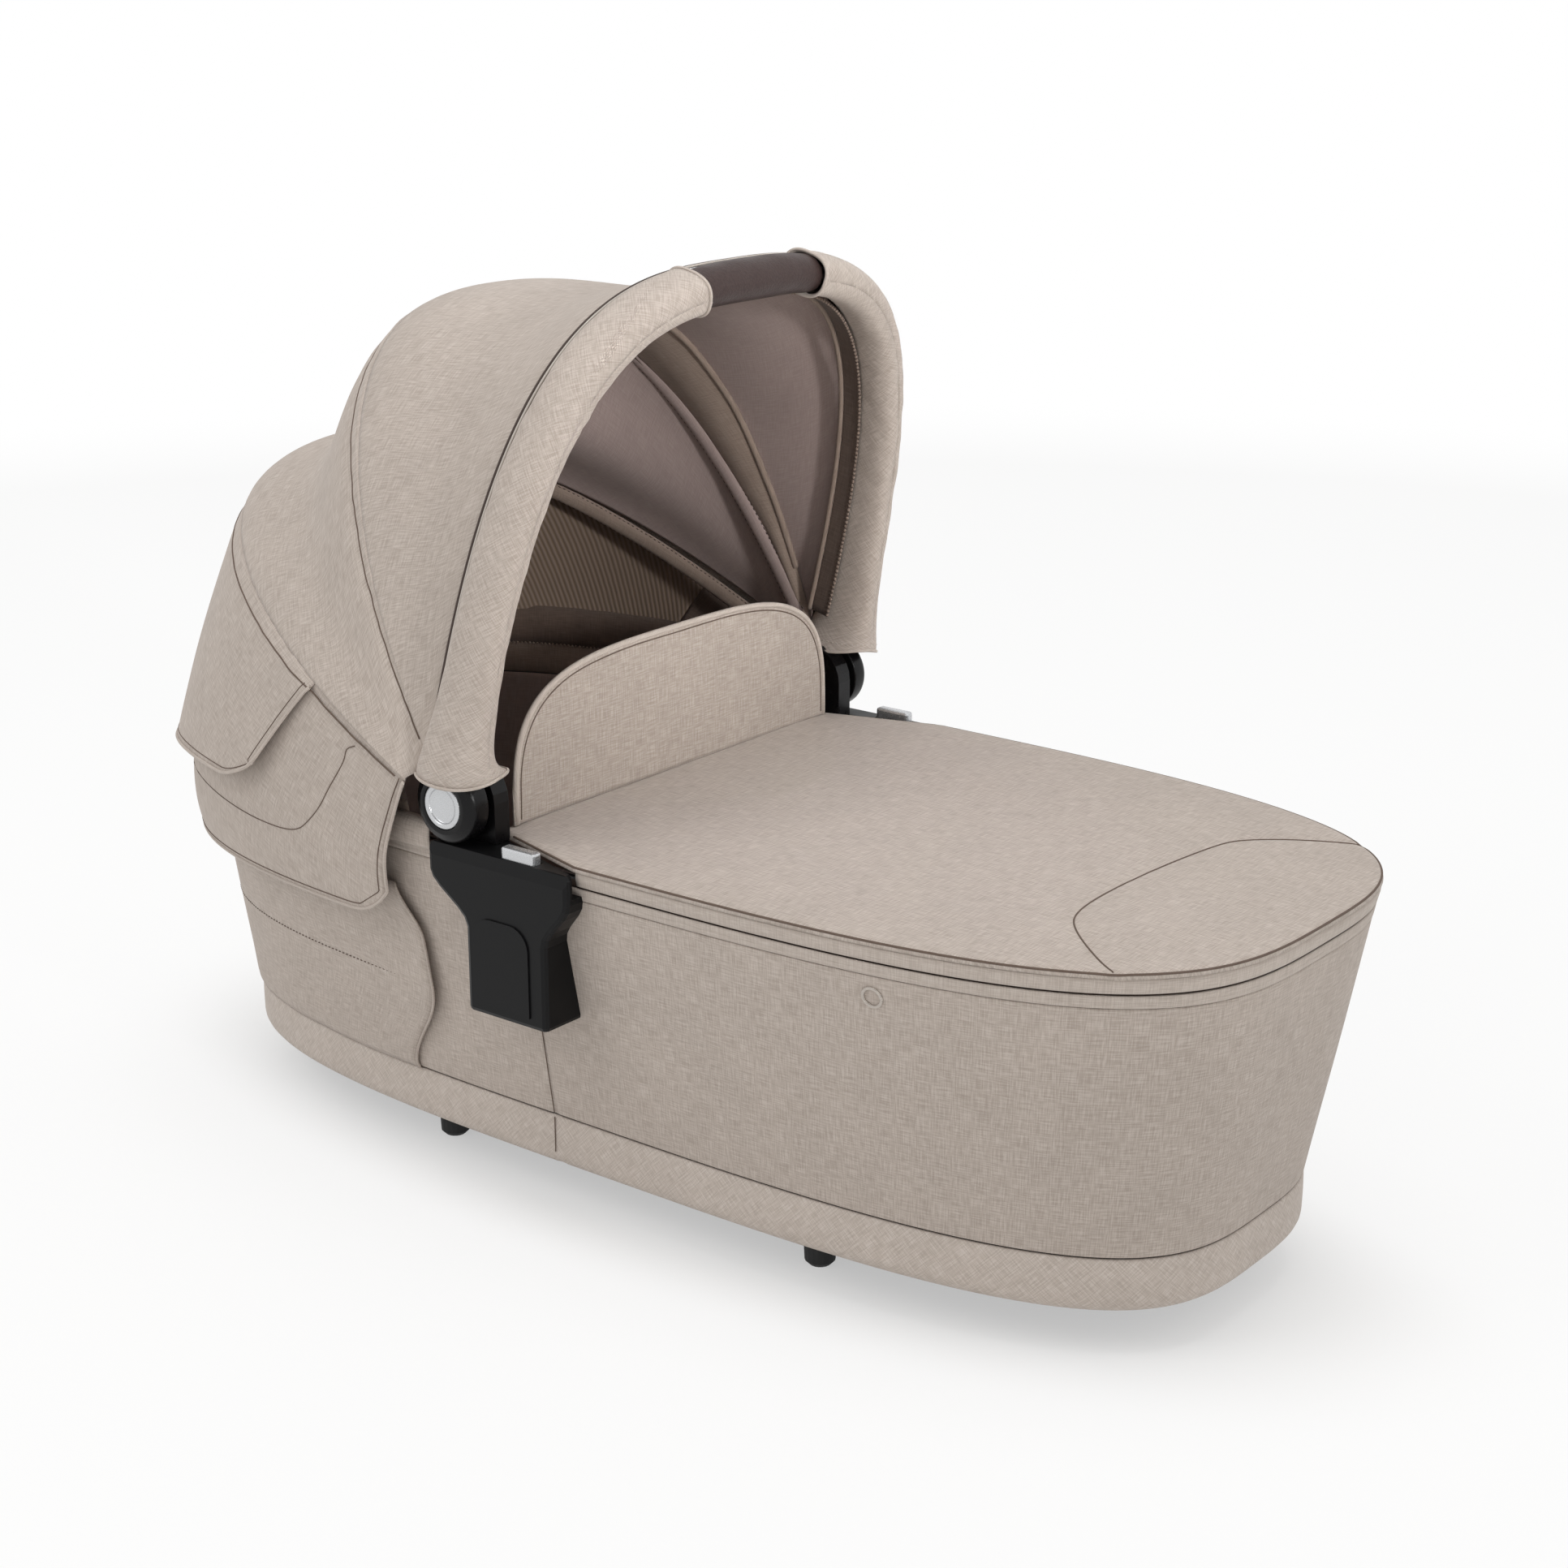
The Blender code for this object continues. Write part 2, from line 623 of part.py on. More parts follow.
def build_walls():
    bottom = SEAM_Z + CLEARANCE
    cover = [
        (bottom, 0.0),
        (WALL_MIDDLE_Z, 0.0),
        (COVER_TOP_Z, 0.0),
        (COVER_TOP_Z, COVER_THICKNESS),
        (WALL_MIDDLE_Z, COVER_THICKNESS),
        (bottom, COVER_THICKNESS),
    ]
    ring_solid("outer_cover", cover, LINEN)
    board_bottom = SEAM_Z + CLEARANCE
    board = [
        (board_bottom, TRAY_INSET),
        (WALL_MIDDLE_Z, TRAY_INSET),
        (BOARD_TOP_Z, TRAY_INSET),
        (BOARD_TOP_Z, TRAY_INSET + BOARD_THICKNESS),
        (WALL_MIDDLE_Z, TRAY_INSET + BOARD_THICKNESS),
        (board_bottom, TRAY_INSET + BOARD_THICKNESS),
    ]
    ring_solid("wall_board", board, BOARD)
    frame_bottom = RIM_FRAME_TOP_Z - RIM_FRAME_HEIGHT
    outer = TRAY_INSET + ZIP_THICKNESS + CLEARANCE
    inner = outer + RIM_FRAME_WIDTH
    frame = [
        (frame_bottom, outer + RIM_FRAME_ROUND),
        (frame_bottom + RIM_FRAME_ROUND, outer),
        (RIM_FRAME_TOP_Z - RIM_FRAME_ROUND, outer),
        (RIM_FRAME_TOP_Z, outer + RIM_FRAME_ROUND),
        (RIM_FRAME_TOP_Z, inner - RIM_FRAME_ROUND),
        (RIM_FRAME_TOP_Z - RIM_FRAME_ROUND, inner),
        (frame_bottom + RIM_FRAME_ROUND, inner),
        (frame_bottom, inner - RIM_FRAME_ROUND),
    ]
    ring_solid("rim_frame", frame, BLACK_PLASTIC)
    zip_bottom = COVER_TOP_Z + CLEARANCE
    zip_top = zip_bottom + ZIP_WIDTH
    zip_tape = [
        (zip_bottom, TRAY_INSET),
        (zip_top, TRAY_INSET),
        (zip_top, TRAY_INSET + ZIP_THICKNESS),
        (zip_bottom, TRAY_INSET + ZIP_THICKNESS),
    ]
    ring_solid("rim_zip", zip_tape, ZIP)


def build_lining():
    rim_inset = TRAY_INSET + ZIP_THICKNESS + RIM_FRAME_WIDTH + 2 * CLEARANCE
    step_z = RIM_FRAME_TOP_Z - RIM_FRAME_HEIGHT - CLEARANCE
    top = RIM_FRAME_TOP_Z
    floor_top = FLOOR_PAD_Z + FLOOR_PAD_THICKNESS
    lining = [
        (SEAM_Z, BASE_ROUND + LINING_INSET, FLOOR_PAD_Z),
        (SEAM_Z, LINING_INSET, FLOOR_PAD_Z + BASE_ROUND),
        (SEAM_Z, LINING_INSET),
        (WALL_MIDDLE_Z, LINING_INSET),
        (step_z - RIM_FRAME_WIDTH, LINING_INSET),
        (step_z, rim_inset),
        (top, rim_inset),
        (top, rim_inset + LINING_RIM_THICKNESS),
        (step_z - RIM_FRAME_WIDTH, rim_inset + LINING_RIM_THICKNESS),
        (SEAM_Z, LINING_INNER),
        (SEAM_Z, LINING_INNER, floor_top + BASE_ROUND),
        (SEAM_Z, BASE_ROUND + LINING_INNER, floor_top),
    ]
    ring_solid("lining", lining, LINING_CLOTH, closed=False)


def build_mattress():
    side = LINING_INNER + MATTRESS_PLAY
    tuck = MATTRESS_TUCK
    edge = MATTRESS_EDGE
    top = MATTRESS_Z + MATTRESS_THICKNESS
    stations = [
        (SEAM_Z, side + BASE_ROUND + tuck, MATTRESS_Z),
        (SEAM_Z, side + edge, MATTRESS_Z + BASE_ROUND),
        (SEAM_Z, side, (MATTRESS_Z + BASE_ROUND + top) / 2),
        (SEAM_Z, side + edge, top - edge / 2),
        (SEAM_Z, side + tuck + edge, top),
        (SEAM_Z, side + tuck + MATTRESS_CROWN_RUN / 2, top + MATTRESS_CROWN * CROWN_SHARE),
        (SEAM_Z, side + tuck + MATTRESS_CROWN_RUN, top + MATTRESS_CROWN),
    ]
    ring_solid("mattress", stations, MATTRESS_CLOTH, closed=False)


def build_apron():
    """The zipped cover over the foot half, cut off behind the wind flap and beside the brackets."""
    inner = APRON_THICKNESS
    outside = [
        (APRON_BAND_Z, -CLEARANCE),
        (RIM_Z - APRON_ROUND, -CLEARANCE),
        (RIM_Z, APRON_ROUND),
        (RIM_Z, APRON_ROUND + APRON_CROWN_RUN / 2, RIM_Z + APRON_CROWN * CROWN_SHARE),
        (RIM_Z, APRON_ROUND + APRON_CROWN_RUN, RIM_Z + APRON_CROWN),
    ]
    inside = [
        (RIM_Z, APRON_ROUND + APRON_CROWN_RUN, RIM_Z + APRON_CROWN - inner),
        (RIM_Z, APRON_ROUND + APRON_CROWN_RUN / 2, RIM_Z + APRON_CROWN * CROWN_SHARE - inner),
        (RIM_Z, APRON_ROUND + inner / 2, RIM_Z - inner),
        (RIM_Z - APRON_ROUND, inner, RIM_Z - APRON_ROUND - inner / 2),
        (APRON_BAND_Z, inner),
    ]
    apron = ring_solid("apron", outside[::-1] + inside[::-1], LINEN, closed=False)
    far = RIM_HALF_WIDTH + OVERRUN
    outline = [
        (RIM_REAR_X - OVERRUN, -far),
        (APRON_NOTCH_FRONT_X, -far),
        (APRON_NOTCH_FRONT_X, -APRON_NOTCH_FRONT_Y),
        (APRON_REAR_X, -APRON_NOTCH_REAR_Y),
        (APRON_REAR_X, APRON_NOTCH_REAR_Y),
        (APRON_NOTCH_FRONT_X, APRON_NOTCH_FRONT_Y),
        (APRON_NOTCH_FRONT_X, far),
        (RIM_REAR_X - OVERRUN, far),
    ]
    cutter = prism_z(outline, APRON_BAND_Z - OVERRUN, RIM_Z + APRON_CROWN + OVERRUN)
    boolean(apron, add_object("apron_cutter", cutter, LINEN), "DIFFERENCE")


def build_wind_flap():
    bottom = RIM_Z + APRON_CROWN + CLEARANCE
    outline = []
    for step in range(WIND_FLAP_STEPS + 1):
        turn = math.pi * step / WIND_FLAP_STEPS
        outline.append(power_curve(turn, WIND_FLAP_HALF_WIDTH, WIND_FLAP_HEIGHT, WIND_FLAP_POWER))
    loops = []
    for x in (WIND_FLAP_FRONT_X - WIND_FLAP_THICKNESS, WIND_FLAP_FRONT_X):
        loops.append([Vector((x, y, bottom + z)) for y, z in outline])
    add_object("wind_flap", loft(loops), LINEN, (WIND_FLAP_FRONT_X, 0, bottom))


def build_head_cover():
    """The loose cover of the lower vent, on the head end's wall down to the base seam."""
    bottom = SEAM_Z + CLEARANCE
    height = HEAD_COVER_TOP_Z - bottom

    def place(along, up):
        z = bottom + height * up
        slope = smooth(up / HEAD_COVER_STEP_SHARE)
        front = HEAD_COVER_FOOT_X + (HEAD_COVER_FRONT_X - HEAD_COVER_FOOT_X) * slope
        top_share = (up - HEAD_COVER_TURN_SHARE) / (1 - HEAD_COVER_TURN_SHARE)
        front += (HEAD_COVER_STEP_X - HEAD_COVER_FRONT_X) * smooth(top_share)
        edge = shell_turn(front, z)
        turn = edge - 2 * (edge - math.pi) * along
        return shell_point(turn, z, -HEAD_COVER_STANDOFF)

    sheet_solid("head_vent_cover", place, HEAD_COVER_COLUMNS, HEAD_COVER_ROWS, HEAD_COVER_THICKNESS, LINEN)


def smooth(share):
    share = min(1.0, max(0.0, share))
    return share * share * (3 - 2 * share)


# Side brackets with their release buttons


def bracket_outline():
    """The bracket as seen from the side: a broad shelf, drawn in by a curve on each side to the box below."""
    shelf = BRACKET_SHELF_Z
    neck = BRACKET_NECK_Z
    rear_run = BRACKET_BOX_REAR_X - BRACKET_SHELF_REAR_X
    front_run = BRACKET_SHELF_FRONT_X - BRACKET_BOX_FRONT_X
    points = [
        (BRACKET_SHELF_REAR_X, BRACKET_TOP_Z),
        (BRACKET_SHELF_FRONT_X, BRACKET_TOP_Z),
    ]
    for step in range(NECK_STEPS + 1):
        share = step / NECK_STEPS
        points.append((BRACKET_SHELF_FRONT_X - front_run * smooth(share), shelf + (neck - shelf) * share))
    points += [(BRACKET_BOX_FRONT_X, BRACKET_FLOOR_Z), (BRACKET_BOX_REAR_X, BRACKET_FLOOR_Z)]
    for step in range(NECK_STEPS + 1):
        share = step / NECK_STEPS
        points.append((BRACKET_BOX_REAR_X - rear_run * smooth(share), neck + (shelf - neck) * share))
    return points


def build_bracket(side_name, side):
    outline = bracket_outline()
    bracket = add_object(
        f"bracket_{side_name}",
        prism_y(outline, side * BRACKET_INNER_Y, side * BRACKET_FACE_Y),
        BLACK_PLASTIC,
    )
    soften(bracket, BRACKET_EDGE)
    seat = [shell_ring(z, -CLEARANCE) for z in (BRACKET_FLOOR_Z - OVERRUN, RIM_FRAME_TOP_Z)]
    seat.append([point + Vector((0, 0, CLEARANCE)) for point in seat[-1]])
    boolean(bracket, add_object(f"seat_cutter_{side_name}", loft(seat), BLACK_PLASTIC), "DIFFERENCE")
    inner = [
        (BRACKET_SHELF_REAR_X - OVERRUN, side * (BRACKET_INNER_Y - OVERRUN)),
        (BRACKET_SHELF_REAR_X - OVERRUN, side * BRACKET_TONGUE_Y),
        (BRACKET_TONGUE_FRONT_X, side * BRACKET_TONGUE_Y),
        (BRACKET_SHELF_FRONT_X, side * BRACKET_SHELF_INNER_Y),
        (BRACKET_SHELF_FRONT_X + OVERRUN, side * BRACKET_SHELF_INNER_Y),
        (BRACKET_SHELF_FRONT_X + OVERRUN, side * (BRACKET_INNER_Y - OVERRUN)),
    ]
    shelf_cut = prism_z(inner, RIM_FRAME_TOP_Z - OVERRUN, BRACKET_TOP_Z + OVERRUN)
    boolean(bracket, add_object(f"shelf_cutter_{side_name}", shelf_cut, BLACK_PLASTIC), "DIFFERENCE")
    rise = BRACKET_TOP_Z + CLEARANCE - BRACKET_BEVEL_Z
    run = BRACKET_FACE_Y + CLEARANCE - BRACKET_BEVEL_Y
    wedge = [(0.0, 0.0), (run, 0.0), (run, rise), (-run, rise)]
    wedge_loops = []
    for x in (BRACKET_SHELF_REAR_X - OVERRUN, BRACKET_SHELF_FRONT_X + OVERRUN):
        wedge_loops.append([Vector((x, side * (BRACKET_FACE_Y + y), BRACKET_BEVEL_Z + z)) for y, z in wedge])
    boolean(bracket, add_object(f"bevel_cutter_{side_name}", loft(wedge_loops), BLACK_PLASTIC), "DIFFERENCE")
    panel_rear = BRACKET_BOX_REAR_X + FACE_PANEL_SIDE
    panel_front = BRACKET_BOX_FRONT_X - 2 * FACE_PANEL_SIDE
    radius = FACE_PANEL_ROUND
    arch_z = FACE_PANEL_TOP_Z - radius
    panel = [(panel_rear, FACE_PANEL_FLOOR_Z), (panel_front, FACE_PANEL_FLOOR_Z)]
    panel += arc((panel_front - radius, arch_z), radius, 0, 90, PANEL_ARC_STEPS)
    panel += arc((panel_rear + radius, arch_z), radius, 90, 180, PANEL_ARC_STEPS)
    face = prism_y(panel, side * (BRACKET_FACE_Y - BRACKET_WALL / 2), side * (BRACKET_FACE_Y + FACE_PANEL_RISE))
    boolean(bracket, add_object(f"face_panel_{side_name}", face, BLACK_PLASTIC), "UNION")
    socket_y = BRACKET_FACE_Y - BRACKET_WALL
    box_x = (BRACKET_BOX_REAR_X + BRACKET_BOX_FRONT_X) / 2
    socket = box_bmesh(
        (box_x - SOCKET_WIDTH / 2, side * (socket_y - SOCKET_DEPTH), BRACKET_FLOOR_Z - OVERRUN),
        (box_x + SOCKET_WIDTH / 2, side * socket_y, SOCKET_TOP_Z),
    )
    boolean(bracket, add_object(f"socket_cutter_{side_name}", socket, BLACK_PLASTIC), "DIFFERENCE")
    release_y = socket_y - RELEASE_GAP - RELEASE_DEPTH / 2
    half = RELEASE_LENGTH / 2 + RELEASE_GAP
    deep = RELEASE_DEPTH / 2 + RELEASE_GAP
    pocket = box_bmesh(
        (RELEASE_X - half, side * (release_y - deep), RELEASE_POCKET_Z),
        (RELEASE_X + half, side * (release_y + deep), BRACKET_TOP_Z + OVERRUN),
    )
    boolean(bracket, add_object(f"pocket_cutter_{side_name}", pocket, BLACK_PLASTIC), "DIFFERENCE")
    half = LATCH_WIDTH / 2 + RELEASE_GAP
    deep = LATCH_THICKNESS / 2 + RELEASE_GAP
    slot = box_bmesh(
        (RELEASE_X - half, side * (release_y - deep), SOCKET_TOP_Z - OVERRUN / 2),
        (RELEASE_X + half, side * (release_y + deep), RELEASE_POCKET_Z + OVERRUN / 2),
    )
    boolean(bracket, add_object(f"slot_cutter_{side_name}", slot, BLACK_PLASTIC), "DIFFERENCE")
    return release_y


def build_release(side_name, side, release_y):
    """The silver button, the latch plate under it and the spring that lifts both."""
    bottom = RELEASE_TOP_Z - RELEASE_HEIGHT
    origin = Vector((RELEASE_X, side * release_y, bottom))
    button = add_object(
        f"release_button_{side_name}",
        box_bmesh(
            (RELEASE_X - RELEASE_LENGTH / 2, side * (release_y - RELEASE_DEPTH / 2), bottom),
            (RELEASE_X + RELEASE_LENGTH / 2, side * (release_y + RELEASE_DEPTH / 2), RELEASE_TOP_Z),
        ),
        SILVER,
        origin,
    )
    soften(button, RELEASE_EDGE)
    latch = [
        (-LATCH_WIDTH / 2, 0.0),
        (LATCH_WIDTH / 2, 0.0),
        (LATCH_WIDTH / 2, LATCH_FLOOR_Z + LATCH_THICKNESS - bottom),
        (LATCH_WIDTH / 2 - LATCH_THICKNESS, LATCH_FLOOR_Z - bottom),
        (-LATCH_WIDTH / 2 + LATCH_THICKNESS, LATCH_FLOOR_Z - bottom),
        (-LATCH_WIDTH / 2, LATCH_FLOOR_Z + LATCH_THICKNESS - bottom),
    ]
    outline = [(RELEASE_X + x, bottom - CLEARANCE + z) for x, z in latch]
    near = side * (release_y - LATCH_THICKNESS / 2)
    far = side * (release_y + LATCH_THICKNESS / 2)
    add_object(f"release_latch_{side_name}", prism_y(outline, near, far), BLACK_PLASTIC, origin)
    lift = SPRING_WIRE_RADIUS + CLEARANCE
    spring_x = RELEASE_SPRING_X
    coil(
        f"release_spring_{side_name}",
        (spring_x, side * release_y, RELEASE_POCKET_Z + lift),
        (spring_x, side * release_y, bottom - lift),
        RELEASE_SPRING_RADIUS,
        RELEASE_SPRING_TURNS,
        STEEL,
    )


# Hubs: post, pin, drum and button


def build_hub(side_name, side):
    bottom = BRACKET_TOP_Z + CLEARANCE
    outline = [(HUB_X - POST_RADIUS, bottom), (HUB_X + POST_RADIUS, bottom)]
    outline += arc((HUB_X, HUB_Z), POST_RADIUS, 0, 180, POST_ARC_STEPS)
    post = add_object(
        f"hub_post_{side_name}",
        prism_y(outline, side * POST_INNER_Y, side * POST_OUTER_Y),
        BLACK_PLASTIC,
    )
    bore = PIN_RADIUS + PIN_GAP
    through = [
        (bore, POST_INNER_Y - OVERRUN),
        (bore, DRUM_FACE_Y + OVERRUN),
    ]
    bore_cutter = turned_y(f"bore_cutter_{side_name}", side, through, BLACK_PLASTIC)
    boolean(post, bore_cutter, "DIFFERENCE")
    web_y = DRUM_INNER_Y + DRUM_WEB
    head_y = POST_INNER_Y - CLEARANCE
    end_y = web_y + CLEARANCE
    pin = [
        (PIN_HEAD_RADIUS, head_y - PIN_HEAD_THICKNESS),
        (PIN_HEAD_RADIUS, head_y),
        (PIN_RADIUS, head_y),
        (PIN_RADIUS, end_y),
        (PIN_HEAD_RADIUS, end_y),
        (PIN_HEAD_RADIUS, end_y + PIN_HEAD_THICKNESS),
    ]
    turned_y(f"pivot_pin_{side_name}", side, pin, STEEL)
    drum = build_drum(side_name, side)
    recess = [
        (HUB_BUTTON_RADIUS + HUB_BUTTON_GAP, web_y),
        (HUB_BUTTON_RADIUS + HUB_BUTTON_GAP, DRUM_FACE_Y + OVERRUN),
    ]
    recess_cutter = turned_y(f"recess_cutter_{side_name}", side, recess, BLACK_PLASTIC, sides=HUB_SIDES)
    boolean(drum, recess_cutter, "DIFFERENCE")
    boolean(drum, bore_cutter, "DIFFERENCE")
    face_y = DRUM_FACE_Y + HUB_BUTTON_RISE
    back_y = face_y - HUB_BUTTON_THICKNESS
    button = [
        (HUB_BUTTON_RADIUS, back_y),
        (HUB_BUTTON_RADIUS, face_y - HUB_BUTTON_RISE),
        (HUB_BUTTON_RADIUS - HUB_BUTTON_RISE, face_y),
        (HUB_BUTTON_RADIUS - HUB_BUTTON_RIM, face_y),
        (HUB_BUTTON_RADIUS - HUB_BUTTON_RIM - HUB_BUTTON_DISH, face_y - HUB_BUTTON_DISH),
    ]
    turned_y(f"hub_button_{side_name}", side, button, SILVER, sides=HUB_SIDES)
    lift = SPRING_WIRE_RADIUS + CLEARANCE
    coil(
        f"hub_spring_{side_name}",
        (HUB_X, side * (end_y + PIN_HEAD_THICKNESS + lift), HUB_Z),
        (HUB_X, side * (back_y - lift), HUB_Z),
        HUB_SPRING_RADIUS,
        HUB_SPRING_TURNS,
        STEEL,
    )


def handle_axes():
    up = Vector((math.sin(HANDLE_LEAN), 0, math.cos(HANDLE_LEAN)))
    off = Vector((math.cos(HANDLE_LEAN), 0, -math.sin(HANDLE_LEAN)))
    return up, off


def build_drum(side_name, side):
    """The end of the handle: a domed drum round the hub axis and the flat arm that the tube stands on."""
    middle = (DRUM_INNER_Y + DRUM_FACE_Y) / 2
    profile = [
        (DRUM_RADIUS, DRUM_INNER_Y),
        (DRUM_RADIUS, middle),
        ((DRUM_RADIUS + DRUM_FACE_RADIUS) / 2 + HUB_BUTTON_RIM / 2, (middle + 2 * DRUM_FACE_Y) / 3),
        (DRUM_FACE_RADIUS, DRUM_FACE_Y),
    ]
    drum = turned_y(f"hub_drum_{side_name}", side, profile, BLACK_PLASTIC, sides=HUB_SIDES)
    up, off = handle_axes()
    across = Vector((0, HANDLE_TUBE_HALF_THICKNESS, 0))
    stations = []
    for reach, half_depth in ((0.0, HANDLE_ARM_HALF_DEPTH), (SLEEVE_FOOT, HANDLE_ARM_HALF_DEPTH),
                              (HANDLE_ARM_TOP, HANDLE_ARM_TOP_HALF_DEPTH)):
        centre = Vector((HUB_X, side * HANDLE_HALF_WIDTH, HUB_Z)) + up * reach
        stations.append((centre, off * half_depth, across))
    arm = add_object(f"arm_{side_name}", loft(swept_oval(stations, OVAL_SIDES)), BLACK_PLASTIC)
    boolean(drum, arm, "UNION")
    return drum


# Handle tube, sleeves and grip


def handle_stations(first_turn, last_turn, count, half_sizes):
    """Ovals square to the handle's arch. half_sizes gives the depth and the thickness at each share."""
    _, off = handle_axes()
    dense = []
    for step in range(DENSE_STEPS + 1):
        turn = first_turn + (last_turn - first_turn) * step / DENSE_STEPS
        dense.append(bow_point(turn, HANDLE_LEAN, HANDLE_HALF_WIDTH, HANDLE_HEIGHT, HANDLE_POWER))
    points = even_points(dense, count)
    stations = []
    for index, point in enumerate(points):
        before = points[max(index - 1, 0)]
        after = points[min(index + 1, count - 1)]
        along = (after - before).normalized()
        depth, thickness = half_sizes(index / (count - 1))
        stations.append((point, off * depth, along.cross(off) * thickness))
    return stations


def turn_at_width(half):
    """The turn of the handle's arch on the near side at which it is this far from the middle."""
    return math.acos((half / HANDLE_HALF_WIDTH) ** (HANDLE_POWER / 2))


def tube_sizes(_):
    return HANDLE_TUBE_HALF_DEPTH, HANDLE_TUBE_HALF_THICKNESS


def bore_sizes(_):
    return HANDLE_TUBE_HALF_DEPTH + SLEEVE_GAP, HANDLE_TUBE_HALF_THICKNESS + SLEEVE_GAP


def sleeve_sizes(share):
    growth = SLEEVE_TOP_HALF_THICKNESS - SLEEVE_HALF_THICKNESS
    return SLEEVE_HALF_DEPTH, SLEEVE_HALF_THICKNESS + growth * smooth(share)


def grip_sizes(share):
    swell = GRIP_SWELL * math.sin(math.pi * share)
    return GRIP_HALF_DEPTH + swell, GRIP_HALF_THICKNESS + swell


def leg_loops(half_sizes):
    """Ovals up the near leg and round its bend, from the top of the sleeve's flare to the grip."""
    first = foot_turn(SLEEVE_FLARE_END, HANDLE_HEIGHT, HANDLE_POWER)
    last = turn_at_width(GRIP_HALF_LENGTH + SLEEVE_END_GAP)
    return swept_oval(handle_stations(first, last, LEG_STATIONS, half_sizes), OVAL_SIDES)


def grip_loops(half_sizes):
    start = turn_at_width(GRIP_HALF_LENGTH)
    return swept_oval(handle_stations(start, math.pi - start, GRIP_STATIONS, half_sizes), OVAL_SIDES)


def foot_loops(stations):
    """Ovals at the foot of the near leg, by reach, half depth, half thickness and how far they are set out."""
    up, off = handle_axes()
    placed = []
    for reach, half_depth, half_thickness, out in stations:
        centre = Vector((HUB_X, -HANDLE_HALF_WIDTH - out, HUB_Z)) + up * reach
        placed.append((centre, off * half_depth, Vector((0, half_thickness, 0))))
    return swept_oval(placed, OVAL_SIDES)


def mirrored(loops):
    return [[Vector((point.x, -point.y, point.z)) for point in loop] for loop in loops]


def build_handle():
    hub = (HUB_X, 0, HUB_Z)
    foot = foot_loops([(HANDLE_ARM_TOP + CLEARANCE, *tube_sizes(0), 0.0)])
    leg = foot + leg_loops(tube_sizes)
    tube = leg + grip_loops(tube_sizes) + mirrored(leg)[::-1]
    add_object("handle_tube", loft(tube), STEEL, hub)
    grip = grip_loops(grip_sizes) + grip_loops(bore_sizes)[::-1]
    add_object("grip", loft(grip, closed=True), LEATHERETTE, hub)
    play = SLEEVE_FOOT_GAP
    flare_depth = (SLEEVE_FLARE_HALF_DEPTH + SLEEVE_HALF_DEPTH) / 2
    bore_thickness = HANDLE_TUBE_HALF_THICKNESS + play
    flare = foot_loops([
        (SLEEVE_FOOT, SLEEVE_FLARE_HALF_DEPTH, SLEEVE_FLARE_HALF_THICKNESS, SLEEVE_FLARE_OUT),
        (HANDLE_ARM_TOP, flare_depth, SLEEVE_HALF_THICKNESS, 0.0),
    ])
    flare_bore = foot_loops([
        (SLEEVE_FOOT, HANDLE_ARM_HALF_DEPTH + play, bore_thickness, 0.0),
        (HANDLE_ARM_TOP, HANDLE_ARM_TOP_HALF_DEPTH + play, bore_thickness, 0.0),
    ])
    sleeve = flare + leg_loops(sleeve_sizes) + (flare_bore + leg_loops(bore_sizes))[::-1]
    for side_name, side in SIDES:
        loops = sleeve if side < 0 else mirrored(sleeve)
        add_object(f"handle_sleeve_{side_name}", loft(loops, closed=True), LINEN, hub)


# Canopy: bows, front hem, panels, skirt and vent flap


def build_bow(name, lean, eye_y, height, power):
    """A steel wire bow with a flat eye at each end, one on each pivot pin."""
    centre_y = (REAR_EYE_Y + MID_EYE_Y + EYE_THICKNESS) / 2
    up = Vector((math.sin(lean), 0, math.cos(lean)))
    off = Vector((math.cos(lean), 0, -math.sin(lean)))
    points = even_arch(lean, centre_y, height, power, EYE_TAB_LENGTH - EYE_RADIUS / 2, CANOPY_COLUMNS + 1)
    stations = []
    for index, point in enumerate(points):
        after = points[min(index + 1, CANOPY_COLUMNS)]
        along = (after - points[max(index - 1, 0)]).normalized()
        radial = along.cross(off)
        stations.append((point, off * BOW_WIRE_RADIUS, radial * BOW_WIRE_RADIUS))
    bow = add_object(name, loft(swept_oval(stations, WIRE_SIDES)), STEEL, (HUB_X, 0, HUB_Z))
    for side_name, side in SIDES:
        near = side * eye_y
        far = side * (eye_y + EYE_THICKNESS)
        hub = Vector((HUB_X, 0, HUB_Z))
        outline = []
        for first, second in arc((0.0, 0.0), EYE_RADIUS, -180, 0, EYE_STEPS):
            outline.append(hub + off * first + up * second)
        tip = hub + up * EYE_TAB_LENGTH
        outline += [tip + off * EYE_TAB_HALF_WIDTH, tip - off * EYE_TAB_HALF_WIDTH]
        loops = [[point + Vector((0, y, 0)) for point in outline] for y in (near, far)]
        eye = add_object(f"{name}_eye_{side_name}", loft(loops), STEEL)
        boolean(bow, eye, "UNION")
        boolean(bow, bpy.data.objects[f"bore_cutter_{side_name}"], "DIFFERENCE")


def front_offset():
    return -(SLEEVE_HALF_DEPTH + SLEEVE_GAP)


